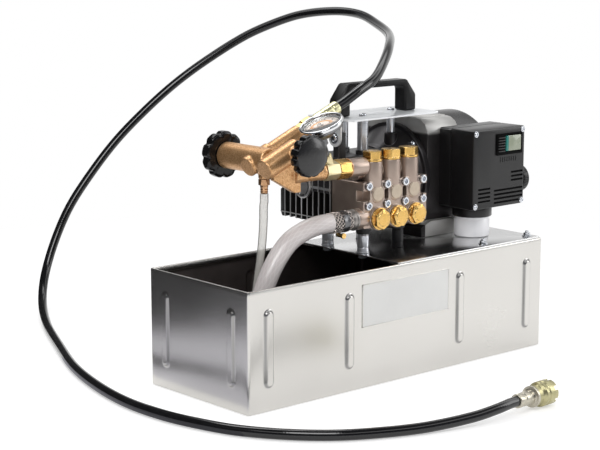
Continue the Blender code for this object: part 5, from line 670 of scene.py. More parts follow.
PLATE_HALF = 0.0740
PLATE_LOW = 0.0745
PLATE_HIGH = 0.1270
STRIP = 0.0012
plate_shape = slab((-PLATE_HALF, -0.0926, PLATE_LOW), (PLATE_HALF, -0.0920, PLATE_HIGH), 0.003, 0.0002, 1)
make_piece("name_plate", plate_shape, bare_enamel())
border_shape = bmesh.new()
for left, right, low, high in ((-PLATE_HALF, PLATE_HALF, PLATE_LOW, PLATE_LOW + STRIP),
                               (-PLATE_HALF, PLATE_HALF, PLATE_HIGH - STRIP, PLATE_HIGH),
                               (-PLATE_HALF, STRIP - PLATE_HALF, PLATE_LOW, PLATE_HIGH),
                               (PLATE_HALF - STRIP, PLATE_HALF, PLATE_LOW, PLATE_HIGH)):
    slab((left, -0.0929, low), (right, -0.0922, high), 0.0005, 0.0002, 1, 3, border_shape)
make_piece("name_plate_border", border_shape, stainless)


# Deck: a mirror-polished stainless plate over the right-hand part of the tank. Two screws at the
# front hold it to the rail, with nuts underneath.
ON_AXIS = 1e-7


def turned(profile, origin, axis, sides=64, into=None):
    """Spin a profile of (radius, distance along the axis) points into a closed form."""
    shape = into or bmesh.new()
    axis = Vector(axis)
    across = axis.orthogonal().normalized()
    beside = axis.cross(across)
    rings = []
    for radius, distance in profile:
        middle = Vector(origin) + axis * distance
        if radius < ON_AXIS:
            rings.append([shape.verts.new(middle)])
            continue
        rings.append(ring_round(shape, middle, across, beside, sides, radius))
    if profile[0][0] > ON_AXIS:
        rings.append(rings[0])
    joined(shape, rings, capped=False)
    return shape


def eased(profile, radius, steps=3):
    """Round the corners of a profile, so that turned edges catch the light."""
    points = [Vector(point) for point in profile]
    result = [profile[0]]
    for before, corner, after in zip(points, points[1:], points[2:]):
        back = before - corner
        onward = after - corner
        reach = min(radius, back.length * 0.45, onward.length * 0.45)
        first = corner + back.normalized() * reach
        last = corner + onward.normalized() * reach
        for step in range(steps + 1):
            t = step / steps
            point = first * (1 - t) ** 2 + corner * (2 * t * (1 - t)) + last * t ** 2
            result.append((point.x, point.y))
    result.append(profile[-1])
    return result


def rod(radius, length, ease, origin, axis, sides=64, into=None):
    """A turned rod or disc, with its edges eased."""
    profile = [(0, 0), (radius, 0), (radius, length), (0, length)]
    return turned(eased(profile, ease) if ease else profile, origin, axis, sides, into)


def hex_bar(across_flats, origin, axis, length, low_cut=0.0008, high_cut=0.0008, sides=72, into=None,
            spin=0.0):
    """A hexagon whose ends are turned to a 30 degree cone, as on a nut."""
    shape = into or bmesh.new()
    axis = Vector(axis)
    across = Matrix.Rotation(spin, 3, axis) @ axis.orthogonal().normalized()
    beside = axis.cross(across)
    corner = across_flats / math.sqrt(3) * 0.985
    cone = ((0, 1), (0.18, 0.62), (0.36, 0.30), (0.58, 0))
    levels = [(low_cut * up, low_cut * inwards) for up, inwards in cone]
    levels += [(length - high_cut * down, high_cut * inwards) for down, inwards in reversed(cone)]
    rings = [[shape.verts.new(Vector(origin))]]
    for distance, drawn_in in levels:
        def reach(angle):
            flat = across_flats / 2 / math.cos((angle + math.pi / 6) % (math.pi / 3) - math.pi / 6)
            return min(flat, corner - drawn_in)
        rings.append(ring_round(shape, Vector(origin) + axis * distance, across, beside, sides, reach))
    rings.append([shape.verts.new(Vector(origin) + axis * length)])
    joined(shape, rings, capped=False)
    return shape


def brushed(name, streak, dull, bright, polish, rough, metal, strength, worn=None):
    """Ground metal, whose streaks run where streak is small. polish names the marks that dull it."""
    material, tree, shader, place = surface(name)
    marks = use(tree, brushing(), Place=place, Streak=streak)
    colour = tint(tree, marks["Smudges"], dull, bright)
    coated(tree, shader, place, colour, between(tree, marks[polish], *rough), metal, worn)
    roughen(tree, shader, marks["Streaks"], strength, 0.0001)
    return material


def mirror_stainless():
    return brushed("mirror_stainless", (900, 30, 900), (0.66, 0.66, 0.66), (0.78, 0.78, 0.78), "Smudges",
                   (0.18, 0.27), 1.0, 0.02)


def zinc_steel():
    """Bright zinc plate: blue-white, with slow clouding and burnished edges."""
    return finish("zinc_steel", (0.56, 0.58, 0.62), (0.72, 0.74, 0.77), (0.14, 0.28), (160.0, 4.0), 1.0,
                  (0.0004, 200.0, 0.6, (0.85, 0.85, 0.86)), (1500.0,), bump=(0.04, 0.0001))


DECK_TOP = 0.1455
SCREW_LINE = -0.077
deck_shape = slab((-0.0120, -0.0905, 0.1436), (0.2480, 0.0905, DECK_TOP), 0.004, 0.0004)
deck_piece = make_piece("deck_sheet", deck_shape, mirror_stainless())
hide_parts("deck_plate")
zinc = zinc_steel()
deck_screws = bmesh.new()
for x in (0.1526, 0.2368):
    rod(0.0062, 0.0010, 0.0003, (x, SCREW_LINE, DECK_TOP), Z_AXIS, 48, deck_screws)
    hex_bar(0.0078, (x, SCREW_LINE, 0.1464), Z_AXIS, 0.0036, 0.0001, 0.0006, 48, deck_screws)
    turned(eased([(0, 0), (0.0024, 0), (0.0024, 0.0058), (0.0017, 0.0064), (0, 0.0064)], 0.0004),
           (x, SCREW_LINE, 0.1462), Z_AXIS, 32, deck_screws)
    hex_bar(0.0078, (x, SCREW_LINE, 0.1368), Z_AXIS, 0.0038, 0.0006, 0.0001, 48, deck_screws)
make_piece("deck_screws", deck_screws, zinc)


# Pump feet: four turned steel spacers, each with a rubber buffer on top that carries the base
# plate, and a bolt head under the deck. The left pair is zinc plated; the right pair is coloured
# near black as painted shade, where they stand in the dark under the pump.
FOOT_PLACES = [(x, y) for x in (-0.002, 0.058) for y in (-0.017, 0.048)]


def buffer_rubber():
    return finish("buffer_rubber", (0.012, 0.012, 0.012), (0.04, 0.04, 0.04), (0.45, 0.7), (260.0, 4.0),
                  bump=(0.2, 0.0003))


def turned_steel():
    """Lathe-turned steel under clear zinc, with rings left round it by the tool."""
    return finish("turned_steel", (0.62, 0.64, 0.68), (0.74, 0.76, 0.80), (0.26, 0.30),
                  (1.0, 2.0, (20, 20, 400)), 0.75)


def black_steel_in_painted_shade():
    """Near-black steel: painted shade for the feet that stand in the dark under the pump."""
    return finish("black_steel_in_painted_shade", (0.007, 0.007, 0.008), (0.016, 0.016, 0.018), (0.30, 0.45),
                  (160.0, 4.0), gloss=0.3)


moulded_rubber = buffer_rubber()
spacer_steel = turned_steel()
dark_spacer = black_steel_in_painted_shade()
foot_profile = eased([(0, 0), (0.0082, 0), (0.0082, 0.0016), (0.0075, 0.0016), (0.0075, 0.0058),
                      (0.0071, 0.0063), (0.0071, 0.0070), (0.0075, 0.0075), (0.0075, 0.0218),
                      (0.0066, 0.0242), (0, 0.0242)], 0.0004)
buffer_profile = eased([(0, 0), (0.0084, 0), (0.0090, 0.0012), (0.0090, 0.0044), (0.0084, 0.0055),
                        (0, 0.0055)], 0.0006)
for number, (x, y) in enumerate(FOOT_PLACES, 1):
    foot_shape = turned(foot_profile, (x, y, 0.1458), Z_AXIS)
    hex_bar(0.0100, (x, y, 0.1388), Z_AXIS, 0.0045, 0.0008, 0.0001, 48, foot_shape)
    zinced = number < 3
    foot_piece = make_piece("foot_spacer_%d" % number, foot_shape, spacer_steel if zinced else dark_spacer)
    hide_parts("foot_%d" % number)
    make_piece("foot_buffer_%d" % number, turned(buffer_profile, (x, y, 0.1700), Z_AXIS), moulded_rubber)


# Crankcase: a black-coated aluminium casting with cooling fins down its left cheek and its back.
# Its fin tips, bearing cover rim and rib are machined bare, and it stands on a black base plate.
def settled(item):
    """Turn an object and its modifiers into a plain mesh."""
    bpy.context.view_layer.update()
    mesh = bpy.data.meshes.new_from_object(item.evaluated_get(bpy.context.evaluated_depsgraph_get()))
    item.modifiers.clear()
    item.data = mesh
    return item


def dressed_copy(node, name, material, edge, segments=2):
    """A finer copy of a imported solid, with its edges eased, that stands in its place."""
    shape = bmesh.new()
    shape.from_mesh(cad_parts[node].data)
    bmesh.ops.remove_doubles(shape, verts=shape.verts, dist=0.00001)
    bmesh.ops.dissolve_limit(shape, angle_limit=math.radians(1.0), verts=shape.verts, edges=shape.edges)
    item = placed(name, mesh_of(name, shape))
    item.data.shade_smooth()
    bevel = item.modifiers.new("eased", "BEVEL")
    bevel.width = edge
    bevel.segments = segments
    bevel.limit_method = "ANGLE"
    bevel.angle_limit = math.radians(32)
    bevel.harden_normals = True
    settled(item)
    item.data.materials.clear()
    item.data.materials.append(material)
    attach(item, "pump")
    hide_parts(node)
    return item


SHAFT_Y = 0.0620
SHAFT_Z = 0.2235
FIN_PITCH = 0.0107
FIN_MIDDLE = 0.0131


def black_casting():
    material, tree, shader, place = surface("black_casting")
    skin = grain(tree, place, 420.0, 5.0)
    slow = grain(tree, place, 45.0, 3.0)
    worn = use(tree, worn_edges(), Place=place, Width=0.0007, Patches=90.0, Amount=0.9)["Worn"]
    paint = tint(tree, slow, (0.008, 0.0075, 0.008), (0.022, 0.021, 0.021))
    rubbed = tint(tree, worn, paint, (0.20, 0.195, 0.195))
    parts = add(tree, "ShaderNodeSeparateXYZ", Vector=place).outputs
    ridge = maths(tree, "COSINE",
                  times(tree, maths(tree, "SUBTRACT", parts["Y"], FIN_MIDDLE), math.tau / FIN_PITCH))
    low_down = times(tree, maths(tree, "LESS_THAN", parts["X"], -0.0298),
                     maths(tree, "LESS_THAN", parts["Z"], 0.2185))
    fins = times(tree, low_down, maths(tree, "GREATER_THAN", ridge, 0.86))
    off_shaft = add(tree, "ShaderNodeVectorMath", Vector=place)
    off_shaft.operation = "DISTANCE"
    off_shaft.inputs[1].default_value = (-0.0340, SHAFT_Y, SHAFT_Z)
    rim = times(tree, maths(tree, "LESS_THAN", parts["X"], -0.0326),
                maths(tree, "GREATER_THAN", off_shaft.outputs["Value"], 0.0128))
    proud = times(tree, maths(tree, "LESS_THAN", parts["X"], -0.0303),
                  maths(tree, "GREATER_THAN", parts["X"], -0.0318))
    machined = maths(tree, "MAXIMUM", maths(tree, "MAXIMUM", fins, rim), proud)
    coated(tree, shader, place, tint(tree, machined, rubbed, (0.78, 0.78, 0.77)),
           between(tree, skin, 0.30, 0.52), maths(tree, "MAXIMUM", times(tree, worn, 0.7), machined))
    roughen(tree, shader, skin, 0.22, 0.0004)
    return material


cast_black = black_casting()
case_piece = dressed_copy("crankcase", "crankcase_casting", cast_black, 0.0005)
cover_profile = eased([(0, 0.0012), (0.0098, 0.0012), (0.0108, 0.0014), (0.0118, 0.0036),
                       (0.0150, 0.0036), (0.0158, 0.0028), (0.0158, -0.0080), (0, -0.0080)], 0.0005)
cover_shape = turned(cover_profile, (-0.0304, SHAFT_Y, SHAFT_Z), -X_AXIS)
make_piece("bearing_cover", cover_shape, cast_black)
tie_shape = slab((-0.0310, 0.0125, 0.1852), (-0.0296, 0.1064, 0.1863), 0.0004, 0.0002, along=0, steps=3)
for step in range(9):
    middle = FIN_MIDDLE + FIN_PITCH * step
    slab((-0.0310, middle - 0.0006, 0.2180), (-0.0296, middle + 0.0006, 0.2395), 0.0004, 0.0002, 0, 3,
         tie_shape)
make_piece("cheek_ribs", tie_shape, cast_black)
case_base = dressed_copy("base_plate", "base_plate_steel", cast_black, 0.0005)


# Pump head: forged bronze, machined on its faces. Each cylinder has an upright valve column with
# a cap on top, a plug in front, and a valve boss below that points forwards.
PUMP_COLUMNS = (-0.0055, 0.0257, 0.0569)
SCREW_COLUMNS = (-0.0213, 0.0099, 0.0411, 0.0723)
SCREW_ROWS = (0.2097, 0.2343)
VALVE_Y = -0.0360
DISCHARGE_Z = 0.2580
SUCTION_Z = 0.1935
CAP_Z = 0.1930


def carved(shape, *cutters):
    """Cut closed shapes out of another one."""
    base = loose_object("casting", shape)
    tools = [loose_object("cutter", cutter) for cutter in cutters]
    for tool in tools:
        cut = base.modifiers.new("cut", "BOOLEAN")
        cut.operation = "DIFFERENCE"
        cut.object = tool
        cut.solver = "MANIFOLD"
    settled(base)
    result = bmesh.new()
    result.from_mesh(base.data)
    for item in [base, *tools]:
        bpy.data.objects.remove(item)
    return result


def head_bronze():
    """Forged and machined bronze, dulled by oil to a soft grey-brown."""
    return finish("head_bronze", (0.31, 0.235, 0.20), (0.47, 0.38, 0.32), (0.26, 0.38), (60.0, 4.0), 0.8,
                  (0.0007, 80.0, 0.8, (0.62, 0.54, 0.46)), (1400.0, 2.0), bump=(0.12, 0.0002), soft=0.0009)


bronze = head_bronze()
head_shape = slab((-0.0290, -0.0460, 0.1820), (0.0800, 0.0115, 0.2390), 0.0022, 0.0008, along=1)
pockets = bmesh.new()
for x in SCREW_COLUMNS[1:3]:
    slab((x - 0.0035, -0.0550, 0.2155), (x + 0.0035, -0.0300, 0.2285), 0.0015, 0.0002, along=1, into=pockets)
for low, high in ((-0.0350, -0.0178), (0.0688, 0.0900)):
    slab((low, -0.0550, 0.2155), (high, -0.0330, 0.2285), 0.0015, 0.0002, along=1, into=pockets)
recesses = bmesh.new()
for x in SCREW_COLUMNS:
    for z in SCREW_ROWS:
        rod(0.0058, 0.0100, 0, (x, -0.0440, z), -Y_AXIS, 40, recesses)
head_shape = carved(head_shape, pockets, recesses)
for x in PUMP_COLUMNS:
    rod(0.0125, 0.0370, 0.0008, (x, VALVE_Y, 0.2260), Z_AXIS, 72, head_shape)
    rod(0.0145, 0.0250, 0.0008, (x, -0.0240, CAP_Z), -Y_AXIS, 72, head_shape)
    rod(0.0112, 0.0110, 0.0008, (x, VALVE_Y, SHAFT_Z), -Y_AXIS, 64, head_shape)
rod(0.0105, 0.0980, 0.0015, (-0.0270, -0.0260, 0.2500), X_AXIS, 64, head_shape)
rod(0.0112, 0.0260, 0.0008, (-0.0200, VALVE_Y, DISCHARGE_Z), -X_AXIS, 64, head_shape)
rod(0.0128, 0.0160, 0.0008, (-0.0200, VALVE_Y, SUCTION_Z), -X_AXIS, 64, head_shape)
head_piece = make_piece("pump_head_forging", head_shape, bronze, smooth=38)
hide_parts("pump_head")


# Cylinder plugs and head screws: a pressed plug closes each cylinder, and eight zinc-plated
# socket screws hold the head to the crankcase.
def pattern_tree(name, **sockets):
    """A new Geometry Nodes tree for a piece, with more inputs by name and kind: the tree and its inputs."""
    tree = bpy.data.node_groups.new(name, "GeometryNodeTree")
    for label, kind in {"Piece": "Geometry", **sockets, "Material": "Material"}.items():
        tree.interface.new_socket(label.replace("_", " "), in_out="INPUT", socket_type="NodeSocket" + kind)
    tree.interface.new_socket("Pieces", in_out="OUTPUT", socket_type="NodeSocketGeometry")
    return tree, tree.nodes.new("NodeGroupInput").outputs


def ended(tree, geometry, material):
    """End a tree with real geometry in its material."""
    solid = add(tree, "GeometryNodeRealizeInstances", Geometry=geometry)
    finished = add(tree, "GeometryNodeSetMaterial", Geometry=solid.outputs[0], Material=material)
    tree.links.new(finished.outputs[0], tree.nodes.new("NodeGroupOutput").inputs[0])
    return tree


def row_tree():
    """Geometry Nodes: repeat a piece along a row, and the row along a second direction."""
    tree, source = pattern_tree("rows_of_a_piece", Count="Int", Step="Vector", Rows="Int", Row_Step="Vector")
    row = add(tree, "GeometryNodeMeshLine", Count=source["Count"], Offset=source["Step"])
    rows = add(tree, "GeometryNodeMeshLine", Count=source["Rows"], Offset=source["Row Step"])
    grid = add(tree, "GeometryNodeInstanceOnPoints", Points=rows.outputs[0], Instance=row.outputs[0])
    points = add(tree, "GeometryNodeRealizeInstances", Geometry=grid.outputs[0])
    spread = add(tree, "GeometryNodeInstanceOnPoints", Points=points.outputs[0], Instance=source["Piece"])
    return ended(tree, spread.outputs[0], source["Material"])


def repeated(name, shape, tree, material, smooth=35.0, turn=Matrix.Identity(4), **values):
    """Run a Geometry Nodes tree on a shape, and keep its result as one plain mesh."""
    item = loose_object(name, shape)
    smoothed(item, smooth)
    spread = item.modifiers.new("pattern", "NODES")
    spread.node_group = tree
    sockets = {socket.name: socket.identifier for socket in tree.interface.items_tree
               if socket.in_out == "INPUT"}
    for key, value in {**values, "Material": material}.items():
        spread[sockets[key.replace("_", " ")]] = value
    settled(item)
    item.data.transform(turn)
    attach(item, "pump")
    return item


def plug_bronze():
    return finish("plug_bronze", (0.40, 0.33, 0.26), (0.56, 0.48, 0.38), (0.35, 0.5), (240.0, 4.0), 0.8,
                  skin=(1800.0,), bump=(0.15, 0.0002))


line_up = row_tree()


def in_rows(name, shape, material, count, step, rows=1, row_step=(0, 0, 0)):
    repeated(name, shape, line_up, material, Count=count, Step=step, Rows=rows, Row_Step=row_step)


pitch = PUMP_COLUMNS[1] - PUMP_COLUMNS[0]
plug_shape = turned(eased([(0, 0), (0.0094, 0), (0.0094, 0.0012), (0.0082, 0.0017), (0, 0.0017)], 0.0003),
                    (PUMP_COLUMNS[0], -0.0468, SHAFT_Z), -Y_AXIS, 64)
in_rows("cylinder_plugs", plug_shape, plug_bronze(), 3, (pitch, 0, 0))
HEAD_RADIUS = 0.0050
KEY_RADIUS = HEAD_RADIUS / math.sqrt(3)
screw_profile = eased([(0, 0), (HEAD_RADIUS, 0), (HEAD_RADIUS, 0.0050), (KEY_RADIUS, 0.0050)], 0.0005)
screw_profile += [(KEY_RADIUS, 0.004912), (KEY_RADIUS * 0.93, 0.0006), (0, 0.00016)]
screw_shape = turned(screw_profile, (SCREW_COLUMNS[0], -0.0441, SCREW_ROWS[0]), -Y_AXIS, 48)
in_rows("head_screws", screw_shape, zinc, 4, (pitch, 0, 0), 2, (0, 0, SCREW_ROWS[1] - SCREW_ROWS[0]))


# Valve caps: brass hexagon plugs over the valves, upright for the discharge side and forwards for
# the suction side. Each has a turned raised face inside its hexagon, and a washer face under it.
def bright_brass():
    return finish("bright_brass", (0.60, 0.36, 0.09), (0.80, 0.53, 0.19), (0.20, 0.33), (110.0, 4.0), 1.0,
                  (0.0005, 160.0, 0.7, (0.95, 0.76, 0.42)), (1600.0, 2.0), bump=(0.08, 0.0001), soft=0.0004)


brass = bright_brass()
for number, x in enumerate(PUMP_COLUMNS, 1):
    lower_cap = rod(0.0137, 0.0025, 0.0005, (x, -0.0493, CAP_Z), -Y_AXIS, 72)
    hex_bar(0.0225, (x, -0.0516, CAP_Z), -Y_AXIS, 0.0054, 0.0001, 0.0010, 72, lower_cap, 0.3 * number)
    turned(eased([(0, 0), (0.0084, 0), (0.0084, 0.0057), (0.0079, 0.0060), (0, 0.0060)], 0.0004),
           (x, -0.0516, CAP_Z), -Y_AXIS, 64, lower_cap)
    cap_piece = make_piece("suction_cap_%d" % number, lower_cap, brass)
    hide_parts("suction_valve_cap_%d" % number)
    upper_cap = rod(0.0125, 0.0025, 0.0005, (x, VALVE_Y, 0.2633), Z_AXIS, 72)
    hex_bar(0.0215, (x, VALVE_Y, 0.2656), Z_AXIS, 0.0100, 0.0001, 0.0014, 72, upper_cap, 0.4 * number)
    turned(eased([(0, 0), (0.0080, 0), (0.0080, 0.0100), (0.0072, 0.0104), (0, 0.0104)], 0.0004),
           (x, VALVE_Y, 0.2654), Z_AXIS, 64, upper_cap)
    cap_piece = make_piece("discharge_cap_%d" % number, upper_cap, brass)
    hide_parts("discharge_valve_cap_%d" % number)


# Discharge line: a union screwed into the head over a copper washer, and a tee that carries the
# pressure gauge above the valve block's arm.
BLOCK_UP = Vector((-math.sin(OUTLET_TILT), 0, math.cos(OUTLET_TILT)))


def soft_copper():
    return finish("soft_copper", (0.50, 0.27, 0.13), (0.74, 0.46, 0.27), (0.28, 0.42), (300.0, 4.0), 1.0)


def cream_brass(name, dull, bright):
    return finish(name, dull, bright, (0.24, 0.38), (140.0, 4.0), 0.9,
                  (0.0006, 120.0, 0.8, (0.95, 0.88, 0.70)), (1000.0,), bump=(0.10, 0.0002))


pale_brass = cream_brass("cream_brass", (0.60, 0.50, 0.28), (0.78, 0.68, 0.43))
union_shape = hex_bar(0.0220, (-0.0485, VALVE_Y, DISCHARGE_Z), -X_AXIS, 0.0180, 0.0010, 0.0010)
rod(0.0080, 0.0030, 0, (-0.0455, VALVE_Y, DISCHARGE_Z), -X_AXIS, 48, union_shape)
union_piece = make_piece("discharge_union_hex", union_shape, brass)
make_piece("discharge_washer", rod(0.0120, 0.0020, 0.0007, (-0.0464, VALVE_Y, DISCHARGE_Z), -X_AXIS, 64),
           soft_copper())
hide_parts("discharge_union")
tee_shape = hex_bar(0.0210, (-0.0668, VALVE_Y, DISCHARGE_Z), -X_AXIS, 0.0200, 0.0010, 0.0010)
turned(eased([(0, 0), (0.0072, 0), (0.0072, 0.0200), (0.0064, 0.0208), (0, 0.0208)], 0.0004),
       (-0.07462, VALVE_Y, DISCHARGE_Z), BLOCK_UP, 64, tee_shape)
tee_piece = make_piece("gauge_tee_body", tee_shape, pale_brass)
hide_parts("gauge_tee")


# Valve block: one sand casting in bronze. Its barrels cross each other at the corners of a
# triangular web, its inlet arm meets the gauge tee, and its neck points up to the hose.
def span(tree, value, low, high):
    """Read a value between low and high as nought to one."""
    return add(tree, "ShaderNodeMapRange", Value=value, From_Min=low, From_Max=high).outputs[0]


def cast_bronze():
    """Sand-cast skin: coarse and orange-brown all over, with its edges rubbed lighter."""
    material, tree, shader, place = surface("cast_bronze")
    sand = grain(tree, place, 620.0, 5.0)
    cloud = grain(tree, place, 70.0, 4.0)
    body = tint(tree, cloud, (0.60, 0.34, 0.155), (0.78, 0.50, 0.27))
    grit = span(tree, sand, 0.42, 0.66)
    pitted = tint(tree, grit, body, (0.44, 0.215, 0.08))
    coated(tree, shader, place, pitted, between(tree, sand, 0.26, 0.52), 0.8,
           (0.0012, 70.0, 0.9, (0.92, 0.70, 0.42)))
    roughen(tree, shader, sand, 0.30, 0.0005)
    return material


def melted(name, shape, material):
    """Fuse crossing shapes into one casting with filleted joins."""
    item = loose_object(name, shape)
    remesh = item.modifiers.new("fuse", "REMESH")
    remesh.mode = "VOXEL"
    remesh.voxel_size = 0.0009
    soften = item.modifiers.new("fillet", "SMOOTH")
    soften.factor = 0.5
    soften.iterations = 4
    settled(item)
    item.data.materials.clear()
    item.data.materials.append(material)
    item.data.shade_smooth()
    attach(item, "pump")
    return item


SHUTOFF_X = -0.139592
SHUTOFF_Z = 0.2848
RETURN_Y = -0.0160
CROSSING = Vector((BLOCK_X, 0, BLOCK_Z))
BARREL_EASE = 0.0012
casting = bmesh.new()
rod(0.0160, 0.0815, BARREL_EASE, CROSSING - Y_AXIS * 0.0280, Y_AXIS, 64, casting)
rod(0.0125, 0.0550, BARREL_EASE, CROSSING - Y_AXIS * 0.0360 - OUTLET_AXIS * 0.0187, OUTLET_AXIS, 64, casting)
rod(0.0120, 0.0387, BARREL_EASE, OUTLET_CROSSING - OUTLET_AXIS * 0.0187, OUTLET_AXIS, 64, casting)
rod(0.0102, 0.0690, BARREL_EASE, OUTLET_CROSSING, OUTLET_AXIS, 64, casting)
rod(0.0098, 0.0474, BARREL_EASE, (-0.1350, VALVE_Y, DISCHARGE_Z), X_AXIS, 64, casting)
rod(0.0105, 0.0052, 0.0006, (-0.0926, VALVE_Y, DISCHARGE_Z), X_AXIS, 64, casting)
rod(0.0092, 0.0203, BARREL_EASE, (SHUTOFF_X, -0.0330, SHUTOFF_Z), -Y_AXIS, 64, casting)
rod(0.0068, 0.0155, BARREL_EASE, (BLOCK_X, RETURN_Y, 0.2700), -Z_AXIS, 64, casting)
WEB = ((-0.1663, 0.2695), (-0.1250, 0.2905), (-0.1250, 0.2372), (-0.1340, 0.2372), (-0.1663, 0.2555))
joined(casting, [[casting.verts.new((x, y, z)) for x, z in WEB] for y in (-0.0320, -0.0400)])
block_piece = melted("valve_block_casting", casting, cast_bronze())
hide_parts("valve_block")


# Knobs: black moulded hand wheels. The regulator's has nine glossy lobes, and the shut-off's has
# a smooth satin dome over a scalloped rim. Each turns with its own spindle.
def moulded_black(name, dark, light, low_rough, high_rough, pores=0.10, gloss=0.5):
    """Moulded black plastic: a fine spark-eroded grain, with a little bloom."""
    return finish(name, (dark, dark * 0.97, dark), (light, light * 0.97, light * 1.02),
                  (low_rough, high_rough), (55.0, 5.0), 0.0, (0.0005, 130.0, 0.35, (light * 3,) * 3),
                  (2200.0, 2.0), bump=(pores, 0.0001), gloss=gloss)


def lobed_wheel(origin, axis, radius, profile, depth_share, lobes, sides=216):
    """A hand wheel: a turned profile whose outer part is scalloped. Profile rows are (share, distance)."""
    shape = bmesh.new()
    axis = Vector(axis)
    across = axis.orthogonal().normalized()
    rings = []
    for share, distance in profile:
        def reach(angle):
            dip = depth_share * (0.5 - 0.5 * math.cos(angle * lobes)) ** 4
            return radius * share * (1 - dip * max(0, (share - 0.55) / 0.45))
        rings.append(ring_round(shape, Vector(origin) + axis * distance, across, axis.cross(across), sides,
                                reach))
    joined(shape, rings)
    return shape


regulator_black = moulded_black("regulator_black", 0.003, 0.006, 0.10, 0.20, 0.03, 0.3)
wheel = lobed_wheel(CROSSING + Y_AXIS * 0.0545, Y_AXIS, 0.0285,
                    [(0.30, 0), (0.86, 0), (0.95, 0.0006), (0.99, 0.0018), (1.0, 0.0034), (1.0, 0.0096),
                     (0.985, 0.0114), (0.94, 0.0126), (0.86, 0.0133), (0.74, 0.0146), (0.60, 0.0158),
                     (0.45, 0.0167), (0.30, 0.0173), (0.15, 0.0177), (0.04, 0.0178)], 0.09, 9)
rod(0.0060, 0.0100, 0.0005, CROSSING + Y_AXIS * 0.0480, Y_AXIS, 48, wheel)
regulator_piece = make_piece("regulator_wheel", wheel, regulator_black, "regulator", 50)
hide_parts("regulator_knob")
shutoff_grey = moulded_black("shutoff_grey", 0.010, 0.018, 0.16, 0.24, 0.05)
wheel = lobed_wheel((SHUTOFF_X, -0.0640, SHUTOFF_Z), -Y_AXIS, 0.0245,
                    [(0.40, 0), (0.88, 0), (0.96, 0.0006), (1.0, 0.0020), (1.0, 0.0112), (0.98, 0.0124),
                     (0.93, 0.0132)], 0.13, 12)
turned(eased([(0, 0), (0.0040, 0), (0.0040, 0.0020), (0.0095, 0.0030), (0.0095, 0.0120), (0, 0.0120)],
             0.0005), (SHUTOFF_X, -0.0538, SHUTOFF_Z), -Y_AXIS, 64, wheel)
shutoff_piece = make_piece("shutoff_wheel", wheel, regulator_black, "shutoff", 50)
dome_profile = eased([(0, 0.0110), (0.0226, 0.0110), (0.0230, 0.0126), (0.0228, 0.0130),
                      (0.0208, 0.0142), (0.0165, 0.0155), (0.0110, 0.0165), (0.0050, 0.0170),
                      (0, 0.01705)], 0.0012)
dome_shape = turned(dome_profile, (SHUTOFF_X, -0.0640, SHUTOFF_Z), -Y_AXIS, 96)
make_piece("shutoff_dome", dome_shape, shutoff_grey, "shutoff", 50)
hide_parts("shutoff_knob")


# Pressure gauge: a pressed steel case with a chromed bezel, a cream enamelled dial and a flat
# glass. Its needle turns over a 270 degree scale numbered in bar.
GAUGE_CENTRE = Vector((-0.1006, -0.0470, 0.3192))


def chromed():
    return finish("chromed", (0.62, 0.63, 0.65), (0.82, 0.83, 0.84), (0.05, 0.14), (130.0, 4.0), 1.0,
                  skin=(700.0,), bump=(0.03, 0.0001))


def grey_steel():
    return finish("grey_steel", (0.10, 0.10, 0.105), (0.20, 0.20, 0.205), (0.22, 0.36), (80.0, 4.0), 0.9,
                  (0.0005, 150.0, 0.6, (0.5, 0.5, 0.5)), (900.0,), bump=(0.06, 0.0001))


def cream_enamel():
    return finish("cream_enamel", (0.72, 0.60, 0.54), (0.84, 0.74, 0.68), (0.38, 0.5), (90.0, 4.0))


def printed(name, colour):
    light = tuple(min(channel + 0.05, 1) for channel in colour)
    return finish(name, colour, light, (0.35, 0.5), (1200.0, 3.0))


def clear_glass():
    """Flat gauge glass, with a faint film that shows only as a change of gloss."""
    material, tree, shader, place = surface("gauge_glass")
    shader.inputs["Transmission Weight"].default_value = 1.0
    shader.inputs["IOR"].default_value = 1.45
    shader.inputs["Base Color"].default_value = (0.97, 0.99, 0.98, 1)
    tree.links.new(between(tree, grain(tree, place, 120.0, 4.0), 0.0, 0.06), shader.inputs["Roughness"])
    return material


chrome = chromed()
steel = grey_steel()
gauge_turn = Matrix((OUTLET_AXIS, BLOCK_UP.cross(OUTLET_AXIS), BLOCK_UP)).transposed().to_4x4()
to_gauge = Matrix.Translation(GAUGE_CENTRE) @ gauge_turn
case_profile = eased([(0, -0.0190), (0.0100, -0.0190), (0.0122, -0.0178), (0.0155, -0.0140),
                      (0.0215, -0.0092), (0.0250, -0.0070), (0.0260, -0.0053), (0.0249, -0.0053),
                      (0.0249, -0.0093), (0, -0.0093)], 0.0008)
case_shape = turned(case_profile, (0, 0, 0), Z_AXIS, 96)
hex_bar(0.0140, (0, 0.0110, -0.0320), Z_AXIS, 0.0160, 0.0006, 0.0003, 60, case_shape)
rod(0.0052, 0.0280, 0, (0, 0.0110, -0.0508), Z_AXIS, 40, case_shape)
case_shape.transform(to_gauge)
gauge_body = make_piece("gauge_housing", case_shape, steel)
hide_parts("gauge_case")
bezel_shape = turned([(0.0252, -0.0050), (0.0268, -0.0050), (0.0272, -0.0046), (0.0273, -0.0020),
                      (0.0270, -0.0010), (0.0264, -0.0003), (0.0256, 0.0), (0.0247, -0.0001),
                      (0.0239, -0.0005), (0.0235, -0.0011), (0.0235, -0.0016), (0.0252, -0.0016)], (0, 0, 0),
                     Z_AXIS, 120)
bezel_shape.transform(to_gauge)
bezel_piece = make_piece("gauge_rim", bezel_shape, chrome, smooth=50)
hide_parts("gauge_bezel")
glass_shape = turned(eased([(0, -0.0034), (0.0247, -0.0034), (0.0247, -0.0020), (0, -0.0020)], 0.0002),
                     (0, 0, 0), Z_AXIS, 96)
glass_shape.transform(to_gauge)
glass_piece = make_piece("gauge_window", glass_shape, clear_glass())
glass_piece.visible_shadow = False
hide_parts("gauge_lens")
